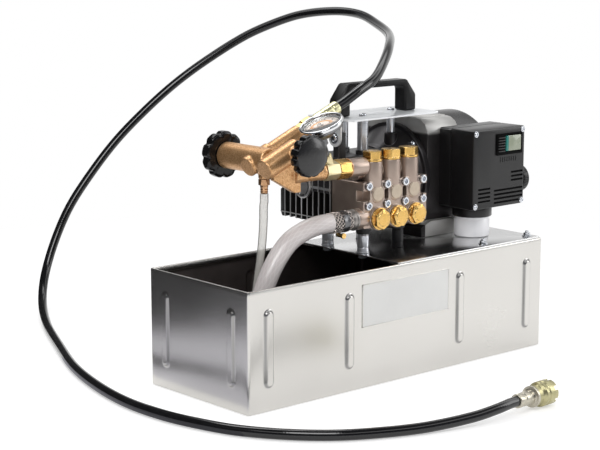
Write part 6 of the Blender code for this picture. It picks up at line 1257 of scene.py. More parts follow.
dial_shape = turned(eased([(0, -0.0090), (0.0246, -0.0090), (0.0246, -0.0082), (0, -0.0082)], 0.0001),
                    (0, 0, 0), Z_AXIS, 96)
dial_shape.transform(to_gauge)
dial_piece = make_piece("gauge_face", dial_shape, cream_enamel())
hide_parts("gauge_dial")


# Dial print: fine and coarse ticks over 270 degrees, the numbers of a bar scale, an orange band
# and a red limit mark, all stamped in thin ink.
def turning_tree(axis):
    """Geometry Nodes: turn copies of a piece about a line along an axis, in equal steps."""
    tree, source = pattern_tree("turned_about_" + axis, Count="Int", First="Float", Step="Float",
                                Centre="Vector")
    line = add(tree, "GeometryNodeMeshLine", Count=source["Count"], Start_Location=source["Centre"],
               Offset=(0, 0, 0))
    number = add(tree, "GeometryNodeInputIndex").outputs[0]
    angle = plus(tree, source["First"], times(tree, number, source["Step"]))
    turn = add(tree, "ShaderNodeCombineXYZ", **{axis: angle})
    spread = add(tree, "GeometryNodeInstanceOnPoints", Points=line.outputs[0], Instance=source["Piece"],
                 Rotation=turn.outputs[0])
    return ended(tree, spread.outputs[0], source["Material"])


fan = turning_tree("Z")
dark_ink = printed("dark_ink", (0.03, 0.03, 0.035))
red_ink = printed("red_ink", (0.55, 0.04, 0.03))
orange_ink = printed("orange_ink", (0.70, 0.30, 0.08))
INK_LOW = -0.00818
INK_HIGH = -0.00812
START_ANGLE = math.radians(225)
dial_marks = (("dial_fine_ticks", 0.0196, 0.0224, 0.00020, dark_ink, 51, 0, 5.4),
              ("dial_coarse_ticks", 0.0180, 0.0226, 0.00045, dark_ink, 11, 0, 27),
              ("dial_limit_mark", 0.0180, 0.0230, 0.00040, red_ink, 1, 243, 0),
              ("dial_band", 0.0154, 0.0174, 0.00060, orange_ink, 28, 108, 4))
for name, low, high, half, ink, count, first, step in dial_marks:
    mark = slab((low, -half, INK_LOW), (high, half, INK_HIGH), 0.00005, 0.00001, steps=1)
    repeated(name, mark, fan, ink, turn=to_gauge, Count=count, First=START_ANGLE - math.radians(first),
             Step=-math.radians(step))
NUMBER_CIRCLE = 0.0128
numbers = bmesh.new()
for count in range(6):
    writing = bpy.data.curves.new("number", "FONT")
    writing.body = str(count * 20)
    writing.size = 0.0052
    writing.align_x = "CENTER"
    writing.align_y = "CENTER"
    writing.extrude = 0.00003
    writing.offset = 0.00012
    angle = START_ANGLE - math.radians(54 * count)
    label = placed("number", writing)
    figure = bpy.data.meshes.new_from_object(label.evaluated_get(bpy.context.evaluated_depsgraph_get()))
    bpy.data.objects.remove(label)
    place = (NUMBER_CIRCLE * math.cos(angle), NUMBER_CIRCLE * math.sin(angle), (INK_LOW + INK_HIGH) / 2)
    figure.transform(Matrix.Translation(place))
    numbers.from_mesh(figure)
bmesh.ops.remove_doubles(numbers, verts=numbers.verts, dist=0.000001)
numbers.transform(to_gauge)
make_piece("dial_numbers", numbers, dark_ink)


# Gauge needle: a black tapered pointer with a short tail, stamped from thin sheet. Its hub is
# pressed on the movement's pin.
pointer = bmesh.new()
outline = [(-0.0060, -0.0016), (-0.0045, -0.0017), (-0.0010, -0.0013), (0.0040, -0.0012), (0.0180, -0.0004),
           (0.0180, 0.0004), (0.0040, 0.0012), (-0.0010, 0.0013), (-0.0045, 0.0017), (-0.0060, 0.0016)]
joined(pointer, [[pointer.verts.new((x, y, level)) for x, y in outline] for level in (-0.0067, -0.0062)])
turned(eased([(0, -0.0081), (0.0010, -0.0081), (0.0010, -0.0069), (0.0026, -0.0069), (0.0026, -0.0058),
              (0, -0.0055)], 0.0002), (0, 0, 0), Z_AXIS, 32, pointer)
pointer.transform(to_gauge @ Matrix.Rotation(START_ANGLE, 4, "Z"))
needle_piece = make_piece("gauge_pointer", pointer, moulded_black("needle_black", 0.01, 0.02, 0.35, 0.5),
                          "needle")
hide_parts("gauge_needle")


# Outlet fittings: a brass nipple and union nut on the block's neck, then the hose's swaged ferrule,
# plated a pale yellow, with its two crimp grooves.
def zinc_plate(name, dull, bright, greener):
    material, tree, shader, place = surface(name)
    cloud = grain(tree, place, 180.0, 4.0)
    body = tint(tree, cloud, dull, bright)
    sheen = tint(tree, between(tree, grain(tree, place, 420.0), -0.3, 0.8), body, greener)
    coated(tree, shader, place, sheen, between(tree, cloud, 0.22, 0.36), 0.9)
    roughen(tree, shader, grain(tree, place, 1300.0), 0.06, 0.0001)
    return material


pale_plate = zinc_plate("yellow_zinc", (0.66, 0.60, 0.30), (0.84, 0.79, 0.50), (0.74, 0.80, 0.56))
nipple_piece = make_piece("outlet_nipple_hex",
                          hex_bar(0.0170, OUTLET_CROSSING + OUTLET_AXIS * 0.0693, OUTLET_AXIS, 0.0080),
                          brass)
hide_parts("outlet_nipple")
nut_shape = hex_bar(0.0195, OUTLET_CROSSING + OUTLET_AXIS * 0.0776, OUTLET_AXIS, 0.0135, 0.0008, 0.0016)
rod(0.0060, 0.0040, 0, OUTLET_CROSSING + OUTLET_AXIS * 0.0890, OUTLET_AXIS, 40, nut_shape)
nut_piece = make_piece("union_nut_hex", nut_shape, brass)
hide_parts("union_nut")
ferrule_profile = eased([(0, 0), (0.0078, 0), (0.0085, 0.0010), (0.0085, 0.0030), (0.0077, 0.0036),
                         (0.0077, 0.0062), (0.0085, 0.0090), (0.0085, 0.0185), (0.0081, 0.0195),
                         (0.0081, 0.0215), (0.0085, 0.0225), (0.0085, 0.0320), (0.0081, 0.0330),
                         (0.0081, 0.0350), (0.0085, 0.0360), (0.0085, 0.0432), (0.0078, 0.0440),
                         (0, 0.0440)], 0.0006)
ferrule_piece = make_piece("hose_ferrule_crimped",
                           turned(ferrule_profile, OUTLET_CROSSING + OUTLET_AXIS * 0.0914, OUTLET_AXIS, 72),
                           pale_plate)
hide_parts("hose_ferrule")


# Far end of the pressure hose: a plated ferrule, and a brass coupling with six claws that swivels
# on its spigot and screws to the pipework under test. Both take darker copies of the plate and
# brass finishes: painted shade, and on the coupling some tarnish too.
# Darker copies of the yellow zinc and cream brass: painted shade, with tarnish on the brass.
end_plate_painted_shade = zinc_plate("end_zinc_painted_shade", (0.40, 0.365, 0.30), (0.56, 0.52, 0.44), (0.44, 0.44, 0.36))
end_brass_tarnish_and_shade = cream_brass("end_brass_tarnish_and_shade", (0.34, 0.31, 0.165), (0.50, 0.47, 0.28))
end_profile = eased([(0, 0), (0.0076, 0), (0.0082, 0.0008), (0.0082, 0.0080), (0.0078, 0.0088),
                     (0.0078, 0.0108), (0.0082, 0.0116), (0.0082, 0.0180), (0.0078, 0.0188),
                     (0.0078, 0.0208), (0.0082, 0.0216), (0.0082, 0.0252), (0.0098, 0.0260),
                     (0.0125, 0.0262), (0.0125, 0.0300), (0.0060, 0.0300), (0.0060, 0.0360), (0, 0.0360)],
                    0.0005)
end_piece = make_piece("end_ferrule_crimped", turned(end_profile, END_START, END_AXIS, 72), end_plate_painted_shade)
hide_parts("end_ferrule")
COUPLING_BASE = END_START + END_AXIS * 0.0303
cup_profile = eased([(0.0064, 0), (0.0115, 0), (0.0115, 0.0074), (0.0142, 0.0092), (0.0147, 0.0105),
                     (0.0147, 0.0135), (0.0138, 0.0142), (0.0138, 0.0162), (0.0147, 0.0170),
                     (0.0147, 0.0300), (0.0140, 0.0310), (0.0106, 0.0310), (0.0102, 0.0304),
                     (0.0102, 0.0100), (0.0064, 0.0100)], 0.0005)
cup_shape = turned(cup_profile, (0, 0, 0), X_AXIS, 96)


def round_x(shape, count, centre=(0, 0, 0)):
    """Copies of a shape turned about a line along X, in equal steps."""
    result = bmesh.new()
    for number in range(count):
        one = shape.copy()
        one.transform(Matrix.Translation(centre) @ Matrix.Rotation(math.tau * number / count, 4, "X"))
        result.from_mesh(mesh_of("copy", one))
    shape.free()
    return result


claw_gap = slab((0.0250, -0.0025, 0.0080), (0.0350, 0.0025, 0.0190), 0.0008, 0.0002, along=2, steps=3)
cup_shape = carved(cup_shape, round_x(claw_gap, 6))
cup_shape.transform(Matrix.Translation(COUPLING_BASE) @ Matrix.Rotation(END_TURN, 4, "Z"))
cup_piece = make_piece("claw_coupling", cup_shape, end_brass_tarnish_and_shade, "coupling")
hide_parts("swivel_coupling")


# Return line: a copper-coloured nipple under the regulator, and a clear tube that hangs into the
# tank and returns the water that the regulator lets past.
def clear_tube():
    """Clear PVC hose: a milky wall with a film of damp inside, turning near black and more opaque where it
    curves away, painted shade along its rims.
    """
    material, tree, shader, place = surface("return_pvc")
    film = grain(tree, place, 75.0, 4.0)
    facing = add(tree, "ShaderNodeLayerWeight", Blend=0.35).outputs["Facing"]
    wall = tint(tree, film, (0.62, 0.60, 0.56), (0.78, 0.76, 0.72))
    # Towards the rims the wall is tinted near black: painted shade.
    edge = span(tree, facing, 0.20, 0.48)
    coated(tree, shader, place, tint(tree, edge, wall, (0.085, 0.082, 0.080)),
           between(tree, film, 0.08, 0.20))
    tree.links.new(between(tree, edge, 0.48, 0.95), shader.inputs["Alpha"])
    shader.inputs["IOR"].default_value = 1.5
    roughen(tree, shader, grain(tree, place, 500.0), 0.05, 0.0001)
    return material


nipple_shape = hex_bar(0.0120, (BLOCK_X, RETURN_Y, 0.2472), Z_AXIS, 0.0070, 0.0006, 0.0006, 60)
turned(eased([(0, 0), (0.0040, 0), (0.0048, 0.0016), (0.0042, 0.0030), (0.0048, 0.0046), (0.0042, 0.0060),
              (0.0048, 0.0076), (0.0046, 0.0110), (0, 0.0110)], 0.0003), (BLOCK_X, RETURN_Y, 0.2372), Z_AXIS,
       48, nipple_shape)
nipple_piece = make_piece("return_hosetail", nipple_shape, soft_copper())
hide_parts("return_nipple")
RETURN_ROUTE = ((-0.1625, -0.0160, 0.222), (-0.1627, -0.0160, 0.205), (-0.1642, -0.0160, 0.185),
                (-0.1672, -0.0160, 0.162), (-0.1715, -0.0158, 0.138), (-0.1757, -0.0154, 0.112),
                (-0.1785, -0.0150, 0.086), (-0.1795, -0.0150, 0.062))
RETURN_RADIUS = 0.0050
RETURN_START = Vector((BLOCK_X, RETURN_Y, 0.2369))
RETURN_END = Vector((-0.1795, -0.0150, 0.0420))
return_path = hose_path(RETURN_START, -Z_AXIS, RETURN_ROUTE, RETURN_END, -Z_AXIS, RETURN_RADIUS, 70)
return_cover = make_piece("return_hose", tube(return_path, RETURN_RADIUS, 32), clear_tube())
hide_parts("return_tube")


# Suction line: a grey hosetail in the head, a short sleeve of woven wire over the hose's first
# stretch, a milky reinforced hose and its clamp, and a ribbed strainer on the tank's floor.
def cast_grey():
    return finish("cast_grey", (0.22, 0.20, 0.19), (0.36, 0.34, 0.32), (0.3, 0.45), (120.0, 4.0), 0.8,
                  skin=(900.0,), bump=(0.10, 0.0002))


SUCTION_START = Vector((-0.0464, VALVE_Y, SUCTION_Z))
SUCTION_END = Vector((-0.2000, -0.0390, 0.0621))
SUCTION_ROUTE = ((-0.0800, -0.0360, 0.1940), (-0.0970, -0.0360, 0.1932), (-0.1170, -0.0360, 0.1890),
                 (-0.1390, -0.0362, 0.1800), (-0.1570, -0.0366, 0.1640), (-0.1720, -0.0372, 0.1440),
                 (-0.1840, -0.0378, 0.1220), (-0.1945, -0.0384, 0.1020))
SUCTION_RADIUS = 0.0118
barb_profile = eased([(0, 0), (0.0110, 0), (0.0122, 0.0030), (0.0122, 0.0066), (0.0132, 0.0070),
                      (0.0132, 0.0098), (0, 0.0098)], 0.0005)
barb_shape = turned(barb_profile, (-0.0461, VALVE_Y, SUCTION_Z), X_AXIS, 72)
barb_piece = make_piece("suction_hosetail", barb_shape, cast_grey())
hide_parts("suction_barb")
suction_path = hose_path(SUCTION_START, -X_AXIS, SUCTION_ROUTE, SUCTION_END, -Z_AXIS, SUCTION_RADIUS, 110)


def milky_hose():
    """Reinforced clear hose: a milky wall whose crossing cords just show, under a glossy skin."""
    material, tree, shader, place = surface("milky_hose")
    around = add(tree, "ShaderNodeUVMap").outputs[0]
    parts = add(tree, "ShaderNodeSeparateXYZ", Vector=around)
    turns = times(tree, parts.outputs["X"], 60.0)
    starts = times(tree, parts.outputs["Y"], 16.0)
    first = maths(tree, "SINE", times(tree, plus(tree, turns, starts), math.tau))
    second = maths(tree, "SINE", times(tree, maths(tree, "SUBTRACT", turns, starts), math.tau))
    cords = maths(tree, "MAXIMUM", maths(tree, "POWER", maths(tree, "MAXIMUM", first, 0.0), 8.0),
                  maths(tree, "POWER", maths(tree, "MAXIMUM", second, 0.0), 8.0))
    film = grain(tree, place, 60.0, 4.0)
    wall = tint(tree, film, (0.50, 0.455, 0.45), (0.64, 0.60, 0.595))
    corded = tint(tree, times(tree, cords, 0.30), wall, (0.84, 0.82, 0.81))
    coated(tree, shader, place, corded, between(tree, film, 0.14, 0.30))
    shader.inputs["Subsurface Weight"].default_value = 0.15
    shader.inputs["Subsurface Radius"].default_value = (0.004, 0.003, 0.003)
    shader.inputs["Subsurface Scale"].default_value = 1.0
    roughen(tree, shader, cords, 0.05, 0.0002)
    return material


suction_cover = make_piece("reinforced_hose", tube(suction_path, SUCTION_RADIUS, 48), milky_hose())
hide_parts("suction_hose")


# Wire sleeve: tinned wires woven over and under each other round the hose's first stretch, over
# a thin rubber liner. The hose clamp holds it.
SLEEVE_START = (-0.0466, VALVE_Y, 0.1936)
WIRE_POINTS = 40


def weave_tree():
    """Geometry Nodes: wind wires both ways round a cylinder, each rising and falling as it crosses."""
    tree, source = pattern_tree("woven_wire_sleeve", Wires="Int", Radius="Float", Length="Float",
                                Turns="Float", Lift="Float", Wire_Radius="Float")
    both_hands = tree.nodes.new("GeometryNodeJoinGeometry")
    for hand in (1.0, -1.0):
        wire = add(tree, "GeometryNodeMeshLine", Count=WIRE_POINTS, Offset=(0, 0, 0))
        share = maths(tree, "DIVIDE", add(tree, "GeometryNodeInputIndex").outputs[0], WIRE_POINTS - 1)
        capture = tree.nodes.new("GeometryNodeCaptureAttribute")
        capture.capture_items.new("FLOAT", "share")
        tree.links.new(wire.outputs[0], capture.inputs[0])
        tree.links.new(share, capture.inputs[1])
        points = add(tree, "GeometryNodeMeshLine", Count=source["Wires"], Offset=(0, 0, 0))
        copies = add(tree, "GeometryNodeInstanceOnPoints", Points=points.outputs[0],
                     Instance=capture.outputs[0])
        real = add(tree, "GeometryNodeRealizeInstances", Geometry=copies.outputs[0])
        number = maths(tree, "FLOOR",
                       maths(tree, "DIVIDE", add(tree, "GeometryNodeInputIndex").outputs[0], WIRE_POINTS))
        start = maths(tree, "DIVIDE", number, source["Wires"])
        swept = times(tree, times(tree, capture.outputs[1], source["Turns"]), hand)
        angle = times(tree, plus(tree, start, swept), math.tau)
        crossings = times(tree, times(tree, source["Wires"], source["Turns"]), capture.outputs[1])
        wave = maths(tree, "SINE", times(tree, plus(tree, crossings, times(tree, number, 0.5)), math.tau))
        reach = plus(tree, source["Radius"], times(tree, times(tree, wave, hand), source["Lift"]))
        place = add(tree, "ShaderNodeCombineXYZ", X=times(tree, capture.outputs[1], source["Length"]),
                    Y=times(tree, maths(tree, "COSINE", angle), reach),
                    Z=times(tree, maths(tree, "SINE", angle), reach))
        wound = add(tree, "GeometryNodeSetPosition", Geometry=real.outputs[0], Position=place.outputs[0])
        curve = add(tree, "GeometryNodeMeshToCurve", Mesh=wound.outputs[0])
        section = add(tree, "GeometryNodeCurvePrimitiveCircle", Resolution=6, Radius=source["Wire Radius"])
        thick = tree.nodes.new("GeometryNodeCurveToMesh")
        tree.links.new(curve.outputs[0], thick.inputs["Curve"])
        tree.links.new(section.outputs[0], thick.inputs["Profile Curve"])
        thick.inputs["Fill Caps"].default_value = True
        tree.links.new(thick.outputs[0], both_hands.inputs[0])
    return ended(tree, both_hands.outputs[0], source["Material"])


def tarnished_wire():
    return finish("tarnished_wire", (0.42, 0.36, 0.33), (0.72, 0.65, 0.61), (0.24, 0.36), (500.0, 3.0), 0.9)


liner_piece = make_piece("sleeve_liner", rod(0.01195, 0.0290, 0, SLEEVE_START, -X_AXIS, 72), moulded_rubber)
sleeve = repeated("wire_sleeve", bmesh.new(), weave_tree(), tarnished_wire(), smooth=60,
                  turn=Matrix.Translation(SLEEVE_START) @ Matrix.Rotation(math.pi, 4, "Z"), Wires=14,
                  Radius=0.0123, Length=0.0290, Turns=0.4, Lift=0.00032, Wire_Radius=0.00050)


# Hose clamp and strainer: a steel worm-drive band with its gilded screw underneath, and a moulded
# pale green strainer whose ribs keep grit out of the pump.
def gilt_steel():
    return finish("gilt_steel", (0.70, 0.42, 0.12), (0.90, 0.62, 0.26), (0.2, 0.34), (160.0, 4.0), 1.0)


band_shape = turned([(0.0127, 0), (0.0134, 0), (0.0134, 0.0003), (0.0131, 0.0012), (0.0131, 0.0078),
                     (0.0134, 0.0087), (0.0134, 0.0090), (0.0127, 0.0090)], (-0.0620, VALVE_Y, SUCTION_Z),
                    X_AXIS, 96)
screw_profile = eased([(0, 0), (0.0035, 0), (0.0035, 0.0030), (0.0026, 0.0034), (0.0026, 0.0130),
                       (0, 0.0130)], 0.0003)
screw_shape = turned(screw_profile, (-0.0575, -0.0425, 0.1768), Y_AXIS, 48)
band_piece = make_piece("clamp_band", band_shape, steel)
screw_piece = make_piece("clamp_screw", screw_shape, gilt_steel())
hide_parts("hose_clamp")


def strainer_green():
    return finish("strainer_green", (0.20, 0.30, 0.25), (0.30, 0.42, 0.35), (0.35, 0.5), (60.0, 4.0),
                  skin=(1500.0,), bump=(0.08, 0.0001))


rib_profile = [(0, 0.0018), (0.0190, 0.0018), (0.0200, 0.0028)]
for groove in range(7):
    low = 0.0065 + groove * 0.0056
    rib_profile += [(0.0200, low), (0.0182, low + 0.0006), (0.0182, low + 0.0020), (0.0200, low + 0.0026)]
rib_profile += [(0.0200, 0.0468), (0.0188, 0.0480), (0.0120, 0.0502), (0.0118, 0.0616), (0, 0.0618)]
strainer_shape = turned(eased(rib_profile, 0.0005, 2), (-0.2000, -0.0390, 0), Z_AXIS, 72)
strainer_piece = make_piece("ribbed_strainer", strainer_shape, strainer_green())
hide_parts("suction_strainer")


# Motor bell and frame: a cast bell bolts the motor to the crankcase. The frame is an aluminium
# extrusion, ribbed lengthwise on top and at the back, and it stands on a cast wedge foot.
SHAFT_LINE = Vector((0, SHAFT_Y, SHAFT_Z))


def bell_grey():
    return finish("bell_grey", (0.014, 0.013, 0.014), (0.045, 0.041, 0.044), (0.24, 0.40), (50.0, 4.0), 0.5,
                  (0.0009, 70.0, 0.7, (0.28, 0.27, 0.28)), (520.0, 4.0), True, (0.22, 0.0005))


def cast_aluminium():
    """Blasted aluminium, seen as it is on top, behind and on the foot, and near black round its front and
    its end shield as painted shade.
    """
    material, tree, shader, place = surface("cast_aluminium")
    cloud = grain(tree, place, 40.0, 4.0)
    skin = grain(tree, place, 700.0, 4.0)
    worn = use(tree, worn_edges(), Place=place, Width=0.0008, Patches=90.0, Amount=0.6)["Worn"]
    bare = tint(tree, cloud, (0.42, 0.415, 0.40), (0.60, 0.595, 0.58))
    parts = add(tree, "ShaderNodeSeparateXYZ", Vector=place).outputs
    upper = span(tree, parts["Z"], 0.2790, 0.2830)
    behind = maths(tree, "GREATER_THAN", parts["Y"], 0.1100)
    foot = maths(tree, "LESS_THAN", parts["Z"], 0.1662)
    unshaded_regions = maths(tree, "MAXIMUM", maths(tree, "MAXIMUM", upper, behind), foot)
    inboard = maths(tree, "MAXIMUM", maths(tree, "GREATER_THAN", parts["X"], 0.1288), upper)
    unshaded_mask = times(tree, unshaded_regions, inboard)
    # Outside these regions the frame is near black: painted shade on its front, its end shield and its lower
    # sides.
    body = tint(tree, unshaded_mask, tint(tree, cloud, (0.020, 0.018, 0.019), (0.046, 0.042, 0.043)), bare)
    coated(tree, shader, place, tint(tree, times(tree, worn, 0.6), body, (0.70, 0.70, 0.69)),
           between(tree, skin, 0.34, 0.52), 0.7)
    roughen(tree, shader, skin, 0.20, 0.0004)
    return material


bell_profile = eased([(0.0400, 0.0843), (0.0424, 0.0923), (0.0635, 0.1192), (0.0685, 0.1192),
                      (0.0685, 0.1277), (0.0560, 0.1277), (0.0340, 0.0923), (0.0200, 0.0923),
                      (0.0200, 0.0843)], 0.0012)
bell_shape = turned(bell_profile, SHAFT_LINE, X_AXIS, 128)
rod(0.0085, 0.0190, 0.0008, (0.1050, 0.0450, 0.2620), Z_AXIS, 64, bell_shape)
bell_piece = make_piece("bell_housing", bell_shape, bell_grey())
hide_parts("motor_bell")
aluminium = cast_aluminium()
housing_piece = dressed_copy("motor_housing", "motor_frame", aluminium, 0.0008)
rib_shape = slab((0.1296, 0.0236, 0.2988), (0.1838, 0.0252, 0.3008), 0.0006, 0.0004, along=0, steps=3)
in_rows("motor_top_ribs", rib_shape, aluminium, 20, (0, 0.0040, 0))
rib_shape = slab((0.1296, 0.1236, 0.1960), (0.1838, 0.1252, 0.1976), 0.0004, 0.0003, along=0, steps=3)
in_rows("motor_back_ribs", rib_shape, aluminium, 20, (0, 0, 0.0044))
bolt_shape = hex_bar(0.0080, (0.1140, 0, 0.0610), X_AXIS, 0.0050, 0.0001, 0.0008, 36)
rod(0.0052, 0.0010, 0.0002, (0.1184, 0, 0.0610), X_AXIS, 36, bolt_shape)
ring = turning_tree("X")
repeated("bell_bolts", bolt_shape, ring, zinc, Count=4, First=math.radians(45), Step=math.tau / 4,
         Centre=tuple(SHAFT_LINE))


# Fan cover: pressed steel, stoved black, with a rounded rim. Eight radial slots in its end let
# the fan draw air, and raised rings stiffen the middle.
def stoved_black():
    return finish("stoved_black", (0.006, 0.006, 0.0065), (0.014, 0.0135, 0.014), (0.20, 0.32), (30.0, 3.0),
                  0.0, (0.0006, 90.0, 0.4, (0.12, 0.12, 0.12)), (260.0, 3.0), bump=(0.06, 0.0004))


stoved = stoved_black()
cover_profile = [(0.0767, 0.1853), (0.0767, 0.2380)]
for step in range(1, 9):
    angle = math.pi / 2 * step / 8
    cover_profile.append((0.0647 + 0.0120 * math.cos(angle), 0.2380 + 0.0120 * math.sin(angle)))
cover_profile += [(0.0600, 0.2500), (0.0590, 0.2492), (0.0575, 0.2492), (0.0565, 0.2500), (0.0185, 0.2500),
                  (0.0175, 0.2490), (0.0150, 0.2490), (0.0140, 0.2500), (0, 0.2500), (0, 0.2475),
                  (0.0640, 0.2475)]
for step in range(7, -1, -1):
    angle = math.pi / 2 * step / 8
    cover_profile.append((0.0647 + 0.0095 * math.cos(angle), 0.2380 + 0.0095 * math.sin(angle)))
cover_profile.append((0.0742, 0.1853))
slot_shape = slab((0.2400, 0.0200, -0.0025), (0.2600, 0.0560, 0.0025), 0.0024, 0.0002, along=0, steps=6)
cover_slots = round_x(slot_shape, 8, SHAFT_LINE)
cover_piece = make_piece("fan_cowl", carved(turned(cover_profile, SHAFT_LINE, X_AXIS, 128), cover_slots),
                         stoved)
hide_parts("fan_cover")


# Running parts inside: crankshaft, plungers, rotor, windings, bearings and fan keep their packed
# shapes, and get the finish of the real ones.
def dress(material, *nodes):
    for node in nodes:
        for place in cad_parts[node].material_slots:
            place.material = material


def ground_steel():
    return brushed("ground_steel", (1800, 30, 30), (0.30, 0.30, 0.31), (0.46, 0.46, 0.47), "Streaks",
                   (0.18, 0.34), 1.0, 0.08)


def white_ceramic():
    return finish("white_ceramic", (0.78, 0.77, 0.74), (0.84, 0.83, 0.80), (0.12, 0.2), (300.0,),
                  skin=(90.0,), skin_rough=True)


def varnished_windings():
    """Copper wire laid round the bore, under brown varnish."""
    return finish("varnished_windings", (0.22, 0.08, 0.03), (0.55, 0.25, 0.10), (0.25, 0.5),
                  (1.0, 2.0, (60, 1400, 1400)), 0.6, bump=(0.5, 0.0005))


dress(ground_steel(), "crankshaft", "rotor", "crank_bearing", "motor_bearing")
dress(white_ceramic(), "plunger_1", "plunger_2", "plunger_3")
dress(varnished_windings(), "stator")
dress(moulded_black("fan_plastic", 0.010, 0.02, 0.35, 0.5), "cooling_fan")


# Switch box: a moulded black case in two halves. The lid has vent slots moulded into its lower
# corner, and four plated pan-head screws hold it.
BOX_LEFT, BOX_RIGHT = 0.1500, 0.2475
BOX_FRONT = -0.0600
box_black = moulded_black("box_black", 0.005, 0.009, 0.26, 0.38, 0.14, 0.42)
base_piece = dressed_copy("switch_box_base", "box_back_half", box_black, 0.0006)
VENT_PITCH = 0.0053
VENT_HEIGHT = 0.0027
slots = [(0.1900, 0.2379, 0.1905)]
slots += [(0.1900, 0.24525, 0.1905 + VENT_PITCH * step) for step in range(1, 4)]
slots += [(0.2222, 0.24525, 0.2175 + VENT_PITCH * step) for step in range(3)]
slots += [(0.1598, 0.1830, 0.1945 + VENT_PITCH * step) for step in range(4)]
vent_cuts = bmesh.new()
# Behind each slot a near-black slab: painted shade in the slots' depth.
vent_shade_slabs = bmesh.new()
for left, right, low in slots:
    slab((left, BOX_FRONT - 0.0020, low), (right, BOX_FRONT + 0.0014, low + VENT_HEIGHT), 0.0006, 0.0002, 1,
         4, vent_cuts)
    slab((left - 0.0002, BOX_FRONT + 0.0012, low - 0.0002),
         (right + 0.0002, BOX_FRONT + 0.0018, low + VENT_HEIGHT + 0.0002), 0.0006, 0.0001, 1, 4, vent_shade_slabs)
slab((0.1938, BOX_FRONT - 0.0020, 0.2548), (0.2397, BOX_FRONT + 0.0090, 0.2799), 0.0006, 0.0002, 1, 4,
     vent_cuts)
lid_shape = slab((BOX_LEFT, BOX_FRONT, 0.1860), (BOX_RIGHT, -0.0200, 0.2886), 0.0024, 0.0016, along=1,
                 steps=8)
lid_piece = make_piece("box_front_half", carved(lid_shape, vent_cuts), box_black)
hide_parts("switch_box_lid")
# Near black with almost no gloss: painted shade behind the vents, and the rocker frame's own darker black.
vent_shade_and_frame_black = moulded_black("vent_shade_and_frame_black", 0.002, 0.004, 0.6, 0.8, 0.10, 0.05)
make_piece("vent_shade_slabs", vent_shade_slabs, vent_shade_and_frame_black)
SCREW_INSET = 0.0045
SCREW_PLACE = (BOX_LEFT + SCREW_INSET, BOX_FRONT - 0.0001, 0.1905)
screw_shape = rod(0.0039, 0.0008, 0.0002, SCREW_PLACE, -Y_AXIS, 40)
turned([(0, 0), (0.0031, 0), (0.0031, 0.0010), (0.0028, 0.0017), (0.0023, 0.0021), (0.0015, 0.0021),
        (0.0013, 0.0006), (0, 0.0004)], SCREW_PLACE, -Y_AXIS, 40, screw_shape)
screw_gap = BOX_RIGHT - BOX_LEFT - SCREW_INSET * 2
in_rows("box_screws", screw_shape, zinc, 2, (screw_gap, 0, 0), 2, (0, 0, 0.0936))


# Switch frame: a thin moulded frame clips into the lid and holds the mains rocker. Short ribs
# beside the rocker guard it, and marks for on and off are moulded below.
frame_piece = dressed_copy("rocker_bezel", "rocker_frame", vent_shade_and_frame_black, 0.0003, 1)
rib_shape = slab((0.1938, -0.0634, 0.2580), (0.2068, -0.0620, 0.2592), 0.0005, 0.0002, along=1, steps=3)
in_rows("guard_ribs", rib_shape, box_black, 6, (0, 0, 0.0035))
mark_shape = slab((0.2010, -0.0606, 0.2440), (0.2022, -0.0599, 0.2505), 0.0005, 0.0002, along=1, steps=3)
in_rows("switch_marks", mark_shape, box_black, 8, (0.0042, 0, 0))


# Mains rocker: a clear moulded key over a lamp, unlit here, so it looks olive grey. A darker green
# strip down its left edge is painted shade over the key's green. It rocks about its middle.
def smoked_key():
    material, tree, shader, place = surface("smoked_key")
    across = add(tree, "ShaderNodeSeparateXYZ", Vector=place).outputs["X"]
    # Left of x 0.2132 the key is darker green: painted shade down its left side.
    strip = span(tree, across, 0.2136, 0.2128)
    cloud = grain(tree, place, 120.0, 3.0)
    key = tint(tree, cloud, (0.20, 0.23, 0.16), (0.30, 0.32, 0.25))
    coated(tree, shader, place, tint(tree, strip, key, (0.015, 0.17, 0.145)),
           between(tree, cloud, 0.16, 0.28))
    shader.inputs["Coat Weight"].default_value = 0.4
    return material


key_shape = slab((0.2092, -0.0630, 0.2582), (0.2372, -0.0575, 0.2780), 0.0010, 0.0006, along=1)
key_piece = make_piece("rocker_key", key_shape, smoked_key(), "rocker")
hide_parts("rocker_switch")


# Cable gland: a moulded black compression gland screws into the side of the box. Its cap nut is
# fluted for the hand, and the mains lead would leave through its nose.
GLAND_PLACE = (BOX_RIGHT, -0.0405, 0.2164)
gland_black = moulded_black("gland_black", 0.004, 0.008, 0.22, 0.36, 0.12, 0.3)
gland_profile = eased([(0, -0.0050), (0.0088, -0.0050), (0.0088, 0.0004), (0.0160, 0.0004),
                       (0.0160, 0.0028), (0.0179, 0.0032), (0.0181, 0.0124), (0.0156, 0.0154),
                       (0.0098, 0.0160), (0.0046, 0.0160), (0.0042, 0.0046), (0, 0.0046)], 0.0006)
gland_piece = make_piece("gland_body", turned(gland_profile, GLAND_PLACE, X_AXIS, 96), gland_black)
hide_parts("cable_gland")
flute_shape = slab((0.2512, -0.0012, 0.0172), (0.2588, 0.0012, 0.0184), 0.0008, 0.0003, along=2, steps=4)
repeated("gland_flutes", flute_shape, ring, gland_black, Count=24, First=0.0, Step=math.tau / 24,
         Centre=(0, GLAND_PLACE[1], GLAND_PLACE[2]))


# Start capacitor: a drawn aluminium can stands under the switch box, pressed up into its socket.
# The rolled lower rim and a bead near its top are drawn with it.
def satin_can():
    return finish("satin_can", (0.84, 0.84, 0.87), (0.92, 0.92, 0.94), (0.30, 0.42), (30.0, 3.0), 0.1,
                  skin=(500.0, 3.0), skin_rough=True, bump=(0.05, 0.0002))


